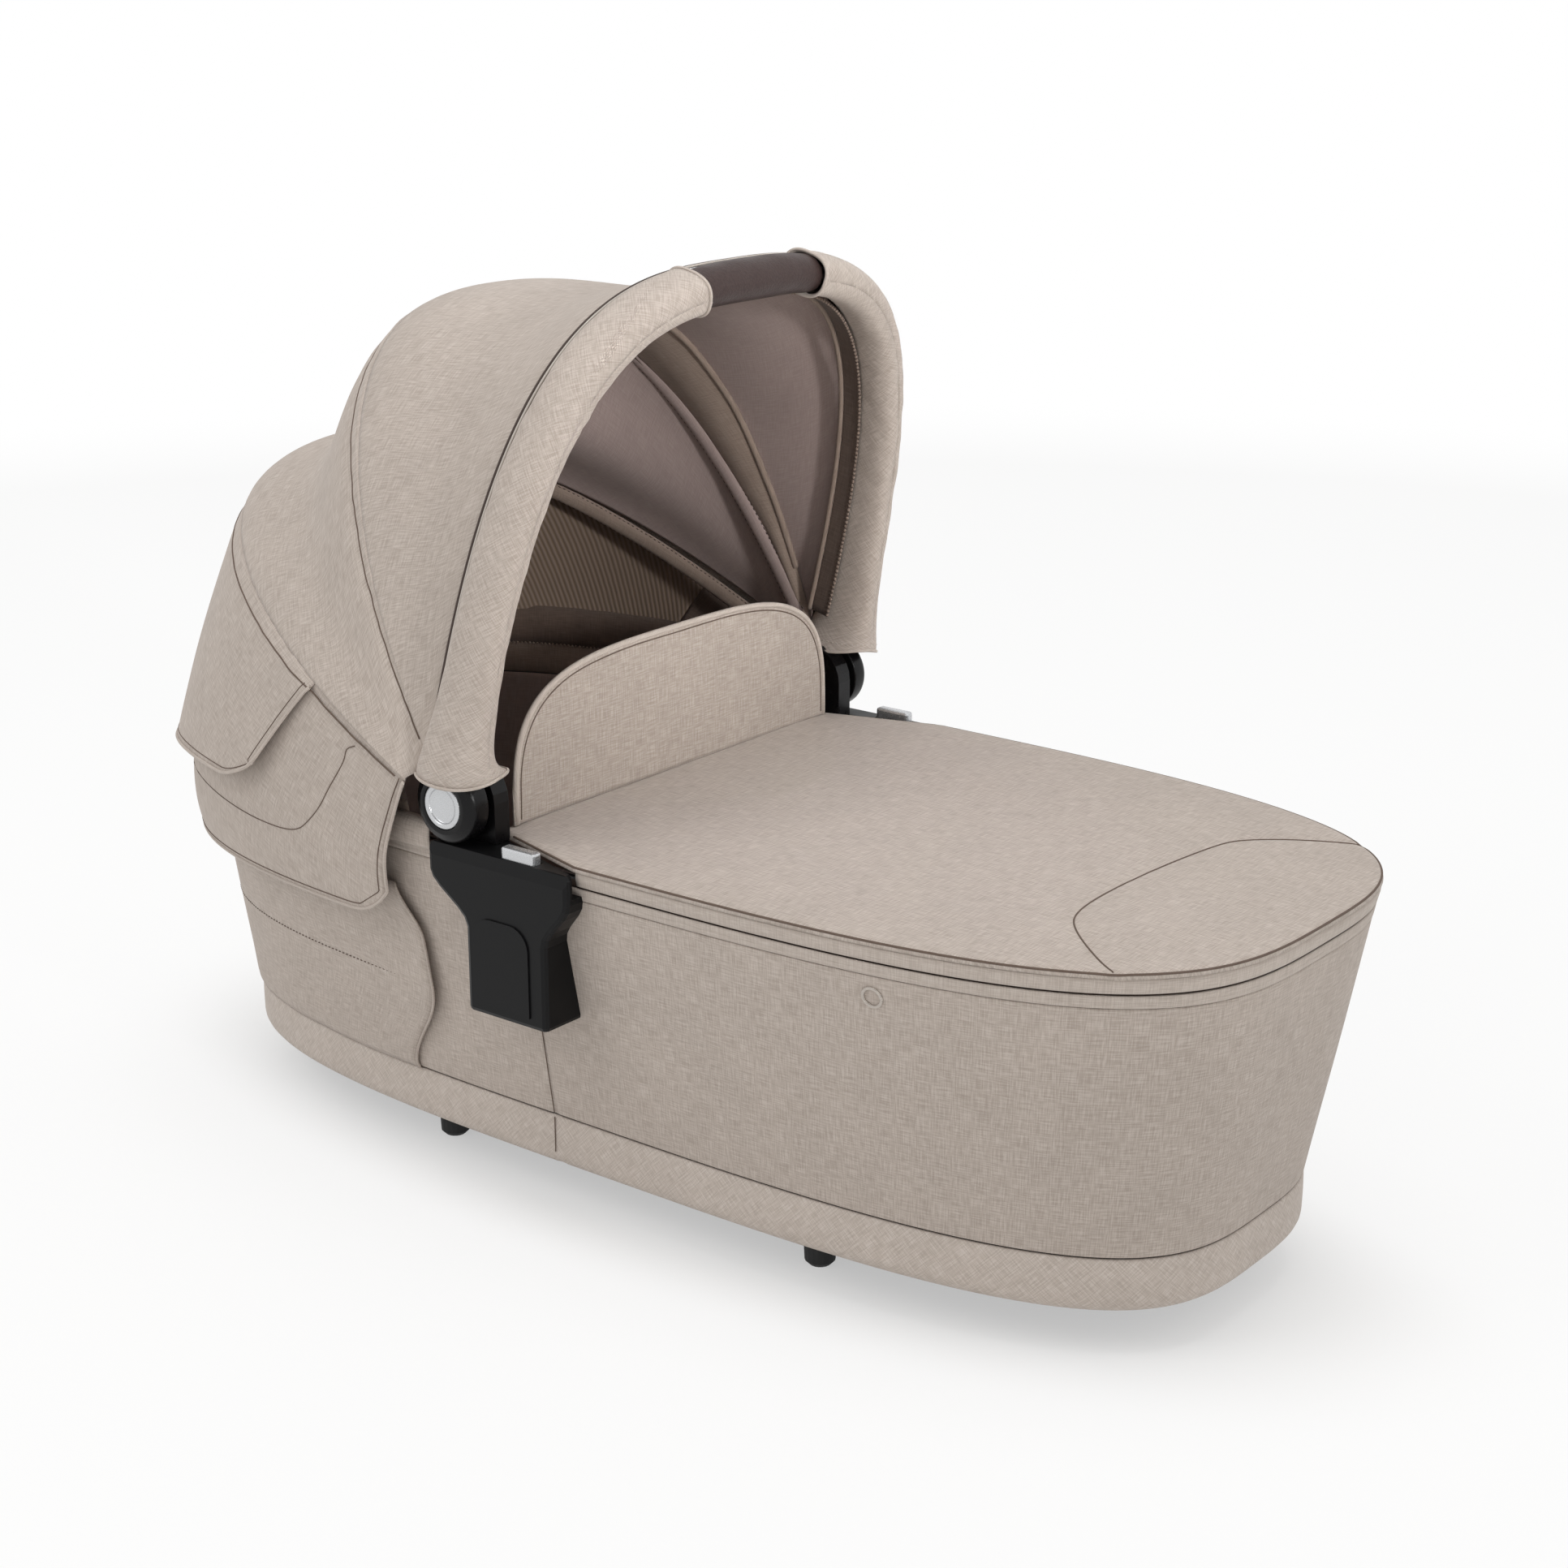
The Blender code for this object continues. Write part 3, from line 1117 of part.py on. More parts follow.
def build_front_hem():
    """The stiff taped hem that joins the canopy to the back of the handle's sleeves."""
    _, off = handle_axes()
    centre = front_offset() - FRONT_HEM_DEPTH / 2
    points = even_arch(HANDLE_LEAN, FRONT_EDGE_HALF_WIDTH, HANDLE_HEIGHT, HANDLE_POWER, FRONT_HEM_FOOT,
                        CANOPY_COLUMNS + 1, centre)
    loops = []
    for index, point in enumerate(points):
        after = points[min(index + 1, CANOPY_COLUMNS)]
        along = (after - points[max(index - 1, 0)]).normalized()
        radial = along.cross(off) * FRONT_HEM_WIDTH / 2
        deep = off * FRONT_HEM_DEPTH / 2
        loops.append([point + radial + deep, point - radial + deep, point - radial - deep, point + radial - deep])
    add_object("canopy_front_hem", loft(loops), PIPING, (HUB_X, 0, HUB_Z))


def radial_pull(point, depth):
    """The point drawn towards the hub axis, least where it is near the axis."""
    away = Vector((point.x - HUB_X, 0, point.z - HUB_Z))
    return point - away.normalized() * depth * min(1.0, away.length / REAR_HEIGHT)


def build_panels():
    columns = CANOPY_COLUMNS
    front_at = front_offset() - FRONT_HEM_DEPTH - HEM_SEAM_GAP
    front = even_arch(HANDLE_LEAN, FRONT_EDGE_HALF_WIDTH, FRONT_EDGE_HEIGHT, HANDLE_POWER,
                      FRONT_HEM_FOOT, columns + 1, front_at)
    gap = FABRIC_SEAM_GAP
    mid = (MID_LEAN, MID_HALF_WIDTH, MID_HEIGHT, MID_POWER, MID_PANEL_FOOT, columns + 1)
    mid_front = even_arch(*mid, gap)
    mid_rear = even_arch(*mid, -gap)
    rear = even_arch(REAR_LEAN, REAR_HALF_WIDTH, REAR_HEIGHT, REAR_POWER, REAR_PANEL_FOOT, columns + 1, gap)
    hub = (HUB_X, 0, HUB_Z)

    def panel(first, last, sag):
        def place(along, across):
            index = round(along * columns)
            point = first[index].lerp(last[index], across)
            return radial_pull(point, sag * math.sin(math.pi * across) ** 2)
        return place

    sheet_solid("canopy_front_panel", panel(front, mid_front, FRONT_SAG), columns, PANEL_ROWS, FABRIC_THICKNESS, LINEN, hub)
    sheet_solid("canopy_rear_panel", panel(mid_rear, rear, REAR_SAG), columns, PANEL_ROWS, FABRIC_THICKNESS, LINEN, hub)


def skirt_point(top, along, down, turn):
    """A point of the skirt between its seam on the rear bow and its hem round the shell."""
    tail = max(0.0, -math.cos(turn)) ** 0.5
    belly_out = SKIRT_BELLY_SIDE + (SKIRT_BELLY_REAR - SKIRT_BELLY_SIDE) * tail
    belly = shell_point(turn, RIM_Z, -belly_out, SKIRT_BELLY_Z)
    hem = shell_point(turn, SKIRT_HEM_Z, -SKIRT_HEM_STANDOFF)
    point = top * (1 - down) ** 2 + belly * 2 * down * (1 - down) + hem * down**2
    fold = SKIRT_FOLD * math.sin(SKIRT_FOLDS * math.pi * along) * math.sin(math.pi * down)
    away = Vector((point.x - HUB_X, point.y, 0)).normalized()
    return point + away * fold


def build_skirt():
    columns = CANOPY_COLUMNS
    gap = FABRIC_SEAM_GAP
    seam = even_arch(REAR_LEAN, REAR_HALF_WIDTH, REAR_HEIGHT, REAR_POWER, REAR_PANEL_FOOT, columns + 1, -gap)
    edge = shell_turn(SKIRT_FRONT_X, SKIRT_HEM_Z)
    hub = (HUB_X, 0, HUB_Z)

    def place(along, down):
        turn = edge - 2 * (edge - math.pi) * along
        return skirt_point(seam[round(along * columns)], along, down, turn)

    sheet_solid("canopy_skirt", place, columns, SKIRT_ROWS, FABRIC_THICKNESS, LINEN, hub)


def build_vent_flap():
    """The loose flap over the upper vent, sewn to the rear bow's seam, standing off the skirt at its hem."""
    columns = VENT_FLAP_COLUMNS
    seam = even_arch(REAR_LEAN, REAR_HALF_WIDTH, REAR_HEIGHT, REAR_POWER, VENT_FLAP_FOOT, columns + 1,
                     -FABRIC_SEAM_GAP)
    edge = shell_turn(VENT_FLAP_FRONT_X, VENT_FLAP_HEM_Z)
    rear_out = RIM_REAR_X - TAIL_X - FABRIC_THICKNESS
    hub = (HUB_X, 0, HUB_Z)

    def place(along, down):
        turn = edge - 2 * (edge - math.pi) * along
        tail = max(0.0, -math.cos(turn)) ** 0.5
        out = VENT_FLAP_HEM_SIDE + (rear_out - VENT_FLAP_HEM_SIDE) * tail
        hem = shell_point(turn, RIM_Z, -out, VENT_FLAP_HEM_Z)
        top = seam[round(along * columns)]
        away = Vector((top.x - HUB_X, top.y, 0)).normalized()
        lifted = top + away * (FABRIC_THICKNESS + VENT_FLAP_LIFT)
        reach = 1 - VENT_FLAP_ROUND_SHARE * max(0.0, 1 - min(along, 1 - along) / VENT_FLAP_CORNER_SHARE) ** 2
        bulge = VENT_FLAP_BULGE * math.sin(math.pi * down * reach)
        return lifted.lerp(hem, down * reach) + away * bulge

    sheet_solid("vent_flap", place, columns, VENT_FLAP_ROWS, FABRIC_THICKNESS, LINEN, hub)


clear_scene()
TURNS = ring_turns()
LINEN = material("linen_cloth", (0.47, 0.40, 0.345), 0.95)
LINING_CLOTH = material("lining_cloth", (0.20, 0.16, 0.15), 0.95)
MATTRESS_CLOTH = material("mattress_cloth", (0.42, 0.36, 0.32), 0.95)
LEATHERETTE = material("leatherette", (0.05, 0.030, 0.026), 0.45)
BLACK_PLASTIC = material("black_plastic", (0.016, 0.016, 0.017), 0.35)
BLACK_RUBBER = material("black_rubber", (0.010, 0.010, 0.010), 0.70)
SILVER = material("silver_paint", (0.72, 0.72, 0.73), 0.30, 0.6)
STEEL = material("steel", (0.55, 0.55, 0.56), 0.35, 1.0)
BOARD = material("wall_board", (0.30, 0.30, 0.30), 0.80)
ZIP = material("zip_tape", (0.25, 0.20, 0.17), 0.80)
PIPING = material("piping_tape", (0.33, 0.27, 0.23), 0.85)

build_base()
build_walls()
build_lining()
build_mattress()
build_apron()
build_wind_flap()
build_head_cover()
for SIDE_NAME, SIDE in SIDES:
    build_release(SIDE_NAME, SIDE, build_bracket(SIDE_NAME, SIDE))
    build_hub(SIDE_NAME, SIDE)
build_handle()
BOW_CENTRE_DROP = FABRIC_THICKNESS + BOW_DROP
build_bow("bow_mid", MID_LEAN, MID_EYE_Y, MID_HEIGHT - BOW_CENTRE_DROP, MID_BOW_POWER)
build_bow("bow_rear", REAR_LEAN, REAR_EYE_Y, REAR_HEIGHT - BOW_CENTRE_DROP, REAR_BOW_POWER)
build_front_hem()
build_panels()
build_skirt()
build_vent_flap()
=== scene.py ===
"""The looks of a carrycot: its cloth, canopy, handle, hubs and brackets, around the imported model.

+X points to the foot end, +Z up, -Y is the side that the photograph shows. Lengths are in metres.
"""

import math

import bmesh
import bpy
import numpy as np
from mathutils import Matrix, Vector, noise
from mathutils.bvhtree import BVHTree


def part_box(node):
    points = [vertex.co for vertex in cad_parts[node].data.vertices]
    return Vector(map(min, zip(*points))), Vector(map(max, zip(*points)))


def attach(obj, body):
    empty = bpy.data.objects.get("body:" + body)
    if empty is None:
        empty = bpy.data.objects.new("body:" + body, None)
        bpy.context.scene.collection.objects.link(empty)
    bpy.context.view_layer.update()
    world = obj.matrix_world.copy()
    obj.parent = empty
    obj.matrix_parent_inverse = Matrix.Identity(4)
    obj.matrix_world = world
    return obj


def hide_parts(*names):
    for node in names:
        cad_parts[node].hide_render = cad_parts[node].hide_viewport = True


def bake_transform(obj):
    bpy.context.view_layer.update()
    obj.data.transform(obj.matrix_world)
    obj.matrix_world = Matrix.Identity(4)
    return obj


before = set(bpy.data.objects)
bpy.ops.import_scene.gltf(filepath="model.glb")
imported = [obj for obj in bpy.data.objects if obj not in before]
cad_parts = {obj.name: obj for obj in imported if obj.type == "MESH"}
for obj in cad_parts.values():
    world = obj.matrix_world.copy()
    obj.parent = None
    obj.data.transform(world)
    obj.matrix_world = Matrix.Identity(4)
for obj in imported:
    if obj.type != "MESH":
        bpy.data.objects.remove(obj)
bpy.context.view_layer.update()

# Studio. The carrycot stands on a plain white floor that runs out to a white backdrop, in soft light from
# all round, with broad lamps overhead and at the upper left. The camera looks from the right and the foot.
FLOOR_RADIUS = 40.0
FLOOR_FADE_START = 1.3
FLOOR_FADE_END = 3.2
FLOOR_NEAR_GLOW = 0.76
FLOOR_SHADE_GLOW = 0.46
FLOOR_SHADE_CENTRE = (0.022, 0.0, 0.0)
FLOOR_SHADE_SIZE = (0.430, 0.160, 1.0)
FLOOR_SHADE_REACH = 1.45
FLOOR_COLOUR = "#F7F7F6"
ROOM_COLOUR = "#FFFFFF"
ROOM_LIGHT = 0.63
CAMERA_AZIMUTH = math.radians(37.9)
CAMERA_ELEVATION = math.radians(17.6)
CAMERA_TARGET = Vector((0.051, 0.0, 0.2832))
CAMERA_DISTANCE = 1.956
CAMERA_LENS = 64.4
CAMERA_SENSOR = 36.0
PICTURE_SIZE = 1932
PICTURE_CENTRE = (966.8, 965.9)
CANOPY_LAMP_AIM = (-0.16, 0.05, 0.42)
LAMPS = {
    "key_lamp": {"place": (-1.7, -2.9, 3.1), "size": 2.2, "power": 26.0},
    "top_lamp": {"place": (0.25, -0.20, 4.6), "size": 3.0, "power": 62.0},
    "fill_lamp": {"place": (3.2, 1.6, 2.4), "size": 2.6, "power": 10.0},
    "canopy_lamp": {"place": (2.20, -0.62, 1.05), "size": 0.25, "power": 0.44, "aim": CANOPY_LAMP_AIM,
                    "spread": math.radians(18)},
}
MIX_A, MIX_B, MIX_RESULT = 6, 7, 2


def linear(code):
    """An sRGB colour such as "#B9AFA5" as the linear colour that a shader takes."""
    channels = [int(code[at:at + 2], 16) / 255 for at in (1, 3, 5)]
    return (*[c / 12.92 if c <= 0.04045 else ((c + 0.055) / 1.055) ** 2.4 for c in channels], 1.0)


def set_inputs(node, inputs):
    """Sets a node's inputs, each to a value, to the output that feeds it or to a node's first output."""
    for name, value in inputs.items():
        if isinstance(value, bpy.types.Node):
            value = value.outputs[0]
        if isinstance(value, bpy.types.NodeSocket):
            node.id_data.links.new(value, node.inputs[name])
        else:
            node.inputs[name].default_value = value


def add_node(tree, kind, inputs=None, **settings):
    """Adds a node with its own settings and its inputs."""
    node = tree.nodes.new("ShaderNode" + kind)
    for name, value in settings.items():
        setattr(node, name, value)
    set_inputs(node, inputs or {})
    return node


def start_material(name):
    made = bpy.data.materials.new(name)
    made.use_nodes = True
    return made, made.node_tree, made.node_tree.nodes["Principled BSDF"]


def link_piece(name, bm, finish):
    """The bmesh as a smooth object at the origin with that material."""
    mesh = bpy.data.meshes.new(name)
    bm.to_mesh(mesh)
    bm.free()
    mesh.shade_smooth()
    mesh.materials.append(finish)
    piece = bpy.data.objects.new(name, mesh)
    bpy.context.scene.collection.objects.link(piece)
    return piece


def seen_directly(tree):
    """The share of rays that come from the camera or off something glossy or clear."""
    path = add_node(tree, "LightPath")
    shiny = add_node(tree, "Math", {0: path.outputs["Is Glossy Ray"], 1: path.outputs["Is Transmission Ray"]},
                     operation="MAXIMUM")
    return add_node(tree, "Math", {0: path.outputs["Is Camera Ray"], 1: shiny}, operation="MAXIMUM")


def white_floor():
    """White paper that glows a little to the camera: most far out, least in an oval under the carrycot."""
    made, tree, shader = start_material("white_paper_floor")
    set_inputs(shader, {"Base Color": linear(FLOOR_COLOUR), "Roughness": 1.0, "Specular IOR Level": 0.0})
    place = add_node(tree, "TexCoord").outputs["Object"]
    reach = add_node(tree, "VectorMath", {0: place}, operation="LENGTH").outputs["Value"]
    far = add_node(tree, "MapRange", {"Value": reach, "From Min": FLOOR_FADE_START,
                                      "From Max": FLOOR_FADE_END}, interpolation_type="SMOOTHSTEP")
    moved = add_node(tree, "Mapping", {
        "Vector": place, "Location": [-c / s for c, s in zip(FLOOR_SHADE_CENTRE, FLOOR_SHADE_SIZE)],
        "Scale": [1 / size for size in FLOOR_SHADE_SIZE],
    })
    oval = add_node(tree, "VectorMath", {0: moved}, operation="LENGTH").outputs["Value"]
    near = add_node(tree, "MapRange", {
        "Value": oval, "From Min": 1.0, "From Max": FLOOR_SHADE_REACH, "To Min": FLOOR_SHADE_GLOW,
        "To Max": FLOOR_NEAR_GLOW,
    }, interpolation_type="SMOOTHSTEP")
    either = add_node(tree, "Math", {0: far, 1: near}, operation="MAXIMUM")
    share = add_node(tree, "Math", {0: either, 1: seen_directly(tree)}, operation="MULTIPLY")
    glow = add_node(tree, "Emission", {"Color": linear(ROOM_COLOUR), "Strength": 1.0})
    mix = add_node(tree, "MixShader", {0: share, 1: shader, 2: glow})
    set_inputs(tree.nodes["Material Output"], {"Surface": mix})
    return made


def white_room():
    world = bpy.data.worlds.new("white_room")
    world.use_nodes = True
    tree = world.node_tree
    soft = tree.nodes["Background"]
    set_inputs(soft, {"Color": linear(ROOM_COLOUR), "Strength": ROOM_LIGHT})
    plain = add_node(tree, "Background", {"Color": linear(ROOM_COLOUR), "Strength": 1.0})
    mix = add_node(tree, "MixShader", {0: seen_directly(tree), 1: soft, 2: plain})
    set_inputs(tree.nodes["World Output"], {"Surface": mix})
    return world


def add_lamp(name, place, size, power, aim=CAMERA_TARGET, spread=math.pi):
    lamp = bpy.data.lights.new(name, "AREA")
    lamp.shape = "DISK"
    lamp.size = size
    lamp.energy = power
    lamp.spread = spread
    made = bpy.data.objects.new(name, lamp)
    made.location = place
    made.rotation_euler = (Vector(aim) - Vector(place)).to_track_quat("-Z", "Y").to_euler()
    bpy.context.scene.collection.objects.link(made)


floor_bm = bmesh.new()
bmesh.ops.create_circle(floor_bm, cap_ends=True, segments=96, radius=FLOOR_RADIUS)
link_piece("floor", floor_bm, white_floor())
bpy.context.scene.world = white_room()
for lamp_name, lamp_values in LAMPS.items():
    add_lamp(lamp_name, **lamp_values)
back = Vector((
    math.sin(CAMERA_AZIMUTH) * math.cos(CAMERA_ELEVATION),
    -math.cos(CAMERA_AZIMUTH) * math.cos(CAMERA_ELEVATION),
    math.sin(CAMERA_ELEVATION),
))
camera_data = bpy.data.cameras.new("camera")
camera_data.lens = CAMERA_LENS
camera_data.sensor_width = CAMERA_SENSOR
camera_data.shift_x = (PICTURE_SIZE / 2 - PICTURE_CENTRE[0]) / PICTURE_SIZE
camera_data.shift_y = (PICTURE_CENTRE[1] - PICTURE_SIZE / 2) / PICTURE_SIZE
camera = bpy.data.objects.new("camera", camera_data)
camera.location = CAMERA_TARGET + back * CAMERA_DISTANCE
camera.rotation_euler = (-back).to_track_quat("-Z", "Y").to_euler()
bpy.context.scene.collection.objects.link(camera)
bpy.context.scene.camera = camera
bpy.context.scene.view_settings.view_transform = "Standard"

# Base tray and feet. The stiff bottom is one moulded polypropylene tray inside the cloth, with four rubber
# feet pressed into it. Both are black: the tray satin with a fine spark-eroded grain, the rubber dull.
PLASTIC_BLACK = "#1D1D1E"
PLASTIC_GRAIN = 0.0011
RUBBER_BLACK = "#161616"
RUBBER_GRAIN = 0.0016
TOUCH_SCALE = 38.0
SIDES = (("right", -1), ("left", 1))


def moulded_plastic(name, code, roughness, grain=PLASTIC_GRAIN, bump=0.12, shine=0.5):
    """Moulded plastic: a faint grain from the tool, and gloss that varies a little where hands touch it.

    The real grain is about 0.2 mm; it is drawn at 1.1 mm so that it shows in the picture.
    """
    made, tree, shader = start_material(name)
    place = add_node(tree, "TexCoord").outputs["Object"]
    cells = add_node(tree, "TexNoise", {"Vector": place, "Scale": 1 / grain, "Detail": 2.0})
    touch = add_node(tree, "TexNoise", {"Vector": place, "Scale": TOUCH_SCALE, "Detail": 3.0})
    lighter = tuple(min(1.0, c * 1.25) for c in linear(code))
    tone = add_node(tree, "Mix", {0: touch, MIX_A: linear(code), MIX_B: lighter}, data_type="RGBA")
    gloss = add_node(tree, "MapRange", {"Value": touch, "From Min": 0.3, "From Max": 0.7,
                                        "To Min": roughness - 0.05, "To Max": roughness + 0.06})
    relief = add_node(tree, "Bump", {"Height": cells, "Strength": bump, "Distance": 0.0003})
    set_inputs(shader, {"Base Color": tone.outputs[MIX_RESULT], "Roughness": gloss, "Normal": relief,
                        "IOR": 1.50, "Specular IOR Level": shine})
    return made


def dress(names, finish):
    """Gives CAD nodes that keep their shape a finish."""
    for name in names:
        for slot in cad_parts[name].material_slots:
            slot.material = finish


TRAY_PLASTIC = moulded_plastic("moulded_polypropylene", PLASTIC_BLACK, 0.45)
FOOT_RUBBER = moulded_plastic("moulded_rubber", RUBBER_BLACK, 0.75, grain=RUBBER_GRAIN, bump=0.2)
dress(["base_tray", "wall_board", "rim_frame"], TRAY_PLASTIC)
dress([f"foot_{end}_{side_name}" for end in ("rear", "front") for side_name, _ in SIDES], FOOT_RUBBER)

# Cloth band round the base. It is the same linen-look polyester as the walls, cut on the bias, drawn round
# the tray's edge and tacked under it, and sewn to the walls along a sunk seam.
NOSE_X = 0.471
RIM_LENGTH = 0.897
RIM_HALF_WIDTH = 0.206
RIM_Z = 0.274
SEAM_Z = 0.070
SEAM_HALF_WIDTH = 0.164
SEAM_FRONT_SETBACK = 0.033
SEAM_REAR_SETBACK = 0.009
OUTLINE_POWER = 3.3
BASE_Z = 0.030
BASE_ROUND = 0.012
BASE_HEM_WIDTH = 0.024
SEAM_TUCK = 0.0018
SIDE_SEAM_X = -0.0195
SIDE_SEAM_WIDTH = 0.0016
RING_STEPS = 420
DENSE_STEPS = 1800
CLOTH_THICKNESS = 0.0012
MERGE_DISTANCE = 0.00001
BIAS_TURN = math.radians(45)
CLOTH_COLOUR = ("#B5A99F", "#A4978D", "#C8BDB4")
# The base band's colours are a lighter copy of the wall cloth's: painted light on the same cloth.
BASE_LIT_COLOUR = ("#C2B6AC", "#B1A59B", "#D3C9C1")
SLUB_WIDTH = 0.0008
SLUB_LENGTH = 0.013
THREAD_SPACING = 0.0012
THREAD_COLOUR = "#C9C0B7"
# A dark colour for the seam lines: painted shade that stands for the shadow in each seam's crease.
SEAM_SHADE_COLOUR = "#66554A"
SEAM_CORD_FINE = 0.0004
SEAM_CORD_RADIUS = 0.0005
SEAM_CORD_BROAD = 0.0006
SIDE_SEAM_RADIUS = 0.000375
CORD_SIDES = 8
SHELL_INSIDE = Vector((0.0, 0.0, 0.16))
X_AXIS, Y_AXIS, Z_AXIS = (Vector((1.0, 0.0, 0.0)), Vector((0.0, 1.0, 0.0)), Vector((0.0, 0.0, 1.0)))


def woven_cloth(name, ground, dark, light, turn=0.0, slub=SLUB_WIDTH, strength=0.75):
    """Plain-woven polyester with slubs: long uneven threads, lighter and darker, cross at right angles.

    It is dull, with a little fuzz at grazing angles. The threads are 0.5 mm apart in life; they are drawn
    at 1.2 mm, which is as fine as the picture can show. Its pattern lies on the piece's own UV map.
    """
    made, tree, shader = start_material(name)
    flat = add_node(tree, "UVMap", uv_map="cloth")
    turned = add_node(tree, "Mapping", {"Vector": flat, "Rotation": (0.0, 0.0, turn)})
    streaks = []
    for across, along in ((slub, SLUB_LENGTH), (SLUB_LENGTH, slub)):
        stretched = add_node(tree, "Mapping", {"Vector": turned, "Scale": (1 / across, 1 / along, 1.0)})
        streaks.append(add_node(tree, "TexNoise", {"Vector": stretched, "Scale": 1.0, "Detail": 1.5},
                                noise_dimensions="2D"))
    both = add_node(tree, "Math", {0: streaks[0], 1: streaks[1]}, operation="ADD")
    level = add_node(tree, "MapRange", {"Value": both, "From Min": 0.70, "From Max": 1.30,
                                        "To Min": 0.5 - 0.5 * strength, "To Max": 0.5 + 0.5 * strength})
    low = add_node(tree, "MapRange", {"Value": level, "From Min": 0.0, "From Max": 0.5})
    high = add_node(tree, "MapRange", {"Value": level, "From Min": 0.5, "From Max": 1.0})
    first = add_node(tree, "Mix", {0: low, MIX_A: linear(dark), MIX_B: linear(ground)}, data_type="RGBA")
    second = add_node(tree, "Mix", {0: high, MIX_A: first.outputs[MIX_RESULT], MIX_B: linear(light)},
                      data_type="RGBA")
    patches = add_node(tree, "TexNoise", {"Vector": flat, "Scale": 22.0, "Detail": 2.0})
    shade = add_node(tree, "MapRange", {"Value": patches, "From Min": 0.3, "From Max": 0.7, "To Min": 0.97,
                                        "To Max": 1.03})
    colour = add_node(tree, "VectorMath", {0: second.outputs[MIX_RESULT], 1: shade}, operation="MULTIPLY")
    pitch = 2 * math.pi / THREAD_SPACING
    grid = add_node(tree, "Mapping", {"Vector": turned, "Scale": (pitch, pitch, 1.0)})
    parts = add_node(tree, "SeparateXYZ", {"Vector": grid})
    warp, weft = (add_node(tree, "Math", {0: parts.outputs[axis]}, operation="SINE") for axis in "XY")
    weave = add_node(tree, "Math", {0: warp, 1: weft}, operation="MULTIPLY")
    height = add_node(tree, "Math", {0: weave, 1: 0.25, 2: level}, operation="MULTIPLY_ADD")
    relief = add_node(tree, "Bump", {"Height": height, "Strength": 0.22, "Distance": 0.0004})
    set_inputs(shader, {"Base Color": colour, "Normal": relief, "Roughness": 0.92, "Specular IOR Level": 0.25,
                        "Sheen Weight": 0.12, "Sheen Roughness": 0.6})
    return made


def power_curve(turn, half_width, height, power):
    """A point on the rounded-square curve |x/half_width|^power + |y/height|^power = 1."""
    x = math.copysign(abs(math.cos(turn)) ** (2 / power), math.cos(turn))
    y = math.copysign(abs(math.sin(turn)) ** (2 / power), math.sin(turn))
    return half_width * x, height * y


def shell_point(turn, level, out=0.0, z=None):
    """A point of the shell's tapered outline at a level, moved outwards, placed at the height z."""
    share = max(0.0, (level - SEAM_Z) / (RIM_Z - SEAM_Z))
    front = NOSE_X - SEAM_FRONT_SETBACK * (1 - share)
    rear = NOSE_X - RIM_LENGTH + SEAM_REAR_SETBACK * (1 - share)
    half_width = SEAM_HALF_WIDTH + share * (RIM_HALF_WIDTH - SEAM_HALF_WIDTH)
    x, y = power_curve(turn, (front - rear) / 2 + out, half_width + out, OUTLINE_POWER)
    return Vector(((front + rear) / 2 + x, y, level if z is None else z))


def shell_turn(x, level):
    """The turn on the near side, from the tail at -pi to the nose at 0, at which the outline reaches x."""
    low, high = -math.pi, 0.0
    for _ in range(40):
        middle = (low + high) / 2
        if shell_point(middle, level).x < x:
            low = middle
        else:
            high = middle
    return low


def run_along(points):
    """The length run at each point of a line."""
    return np.concatenate([[0.0], np.cumsum(np.linalg.norm(np.diff(points, axis=0), axis=1))])


def even_turns(first, last, count, level=SEAM_Z):
    """Turns round the shell between two turns, at equal steps along the outline."""
    turns = np.linspace(first, last, DENSE_STEPS + 1)
    run = run_along(np.array([shell_point(turn, level) for turn in turns]))
    return list(np.interp(np.linspace(0.0, run[-1], count + 1), run, turns))


def even_points(dense, count):
    """That many steps of equal length along a dense line of points."""
    line = np.array(dense)
    run = run_along(line)
    at = np.linspace(0.0, run[-1], count + 1)
    return [Vector([np.interp(d, run, line[:, axis]) for axis in range(3)]) for d in at]


def length_of(line):
    return sum((b - a).length for a, b in zip(line, line[1:]))


def cloth_grid(columns, rows, place, plan=False, level=False):
    """A sheet of quads, with the point of each column and row given by place. Its UV map is in metres: the
    lengths along its middle row and along its columns. Where level is set, one column's length serves for
    them all, and where plan is set, the map is the plan of a level sheet."""
    bm = bmesh.new()
    bmesh.ops.create_grid(bm, x_segments=columns, y_segments=rows, size=1.0)
    points = np.empty((rows + 1, columns + 1, 3))
    where = {}
    for vert in bm.verts:
        column = round((vert.co.x + 1) / 2 * columns)
        row = round((vert.co.y + 1) / 2 * rows)
        where[vert] = (row, column)
        vert.co = place(column, row)
        points[row, column] = vert.co
    across = np.zeros(points.shape[:2])
    along = np.zeros(points.shape[:2])
    across[:, 1:] = np.cumsum(np.linalg.norm(np.diff(points, axis=1), axis=2), axis=1)
    along[1:, :] = np.cumsum(np.linalg.norm(np.diff(points, axis=0), axis=2), axis=0)
    across[:] = (across[rows // 2] - across[rows // 2, columns // 2])[None, :]
    if level:
        along[:] = along[:, columns // 4][:, None]
    if plan:
        across, along = points[:, :, 0], points[:, :, 1]
    layer = bm.loops.layers.uv.new("cloth")
    for face in bm.faces:
        for loop in face.loops:
            loop[layer].uv = (across[where[loop.vert]], along[where[loop.vert]])
    bmesh.ops.remove_doubles(bm, verts=bm.verts, dist=MERGE_DISTANCE)
    return bm


def settle(piece, body, slot, node=None):
    """Puts the piece on the body that it rides on and hides the CAD node that it stands for; its slot is not
    used.
    """
    if body:
        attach(piece, body)
    if node:
        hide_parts(node)
    return piece


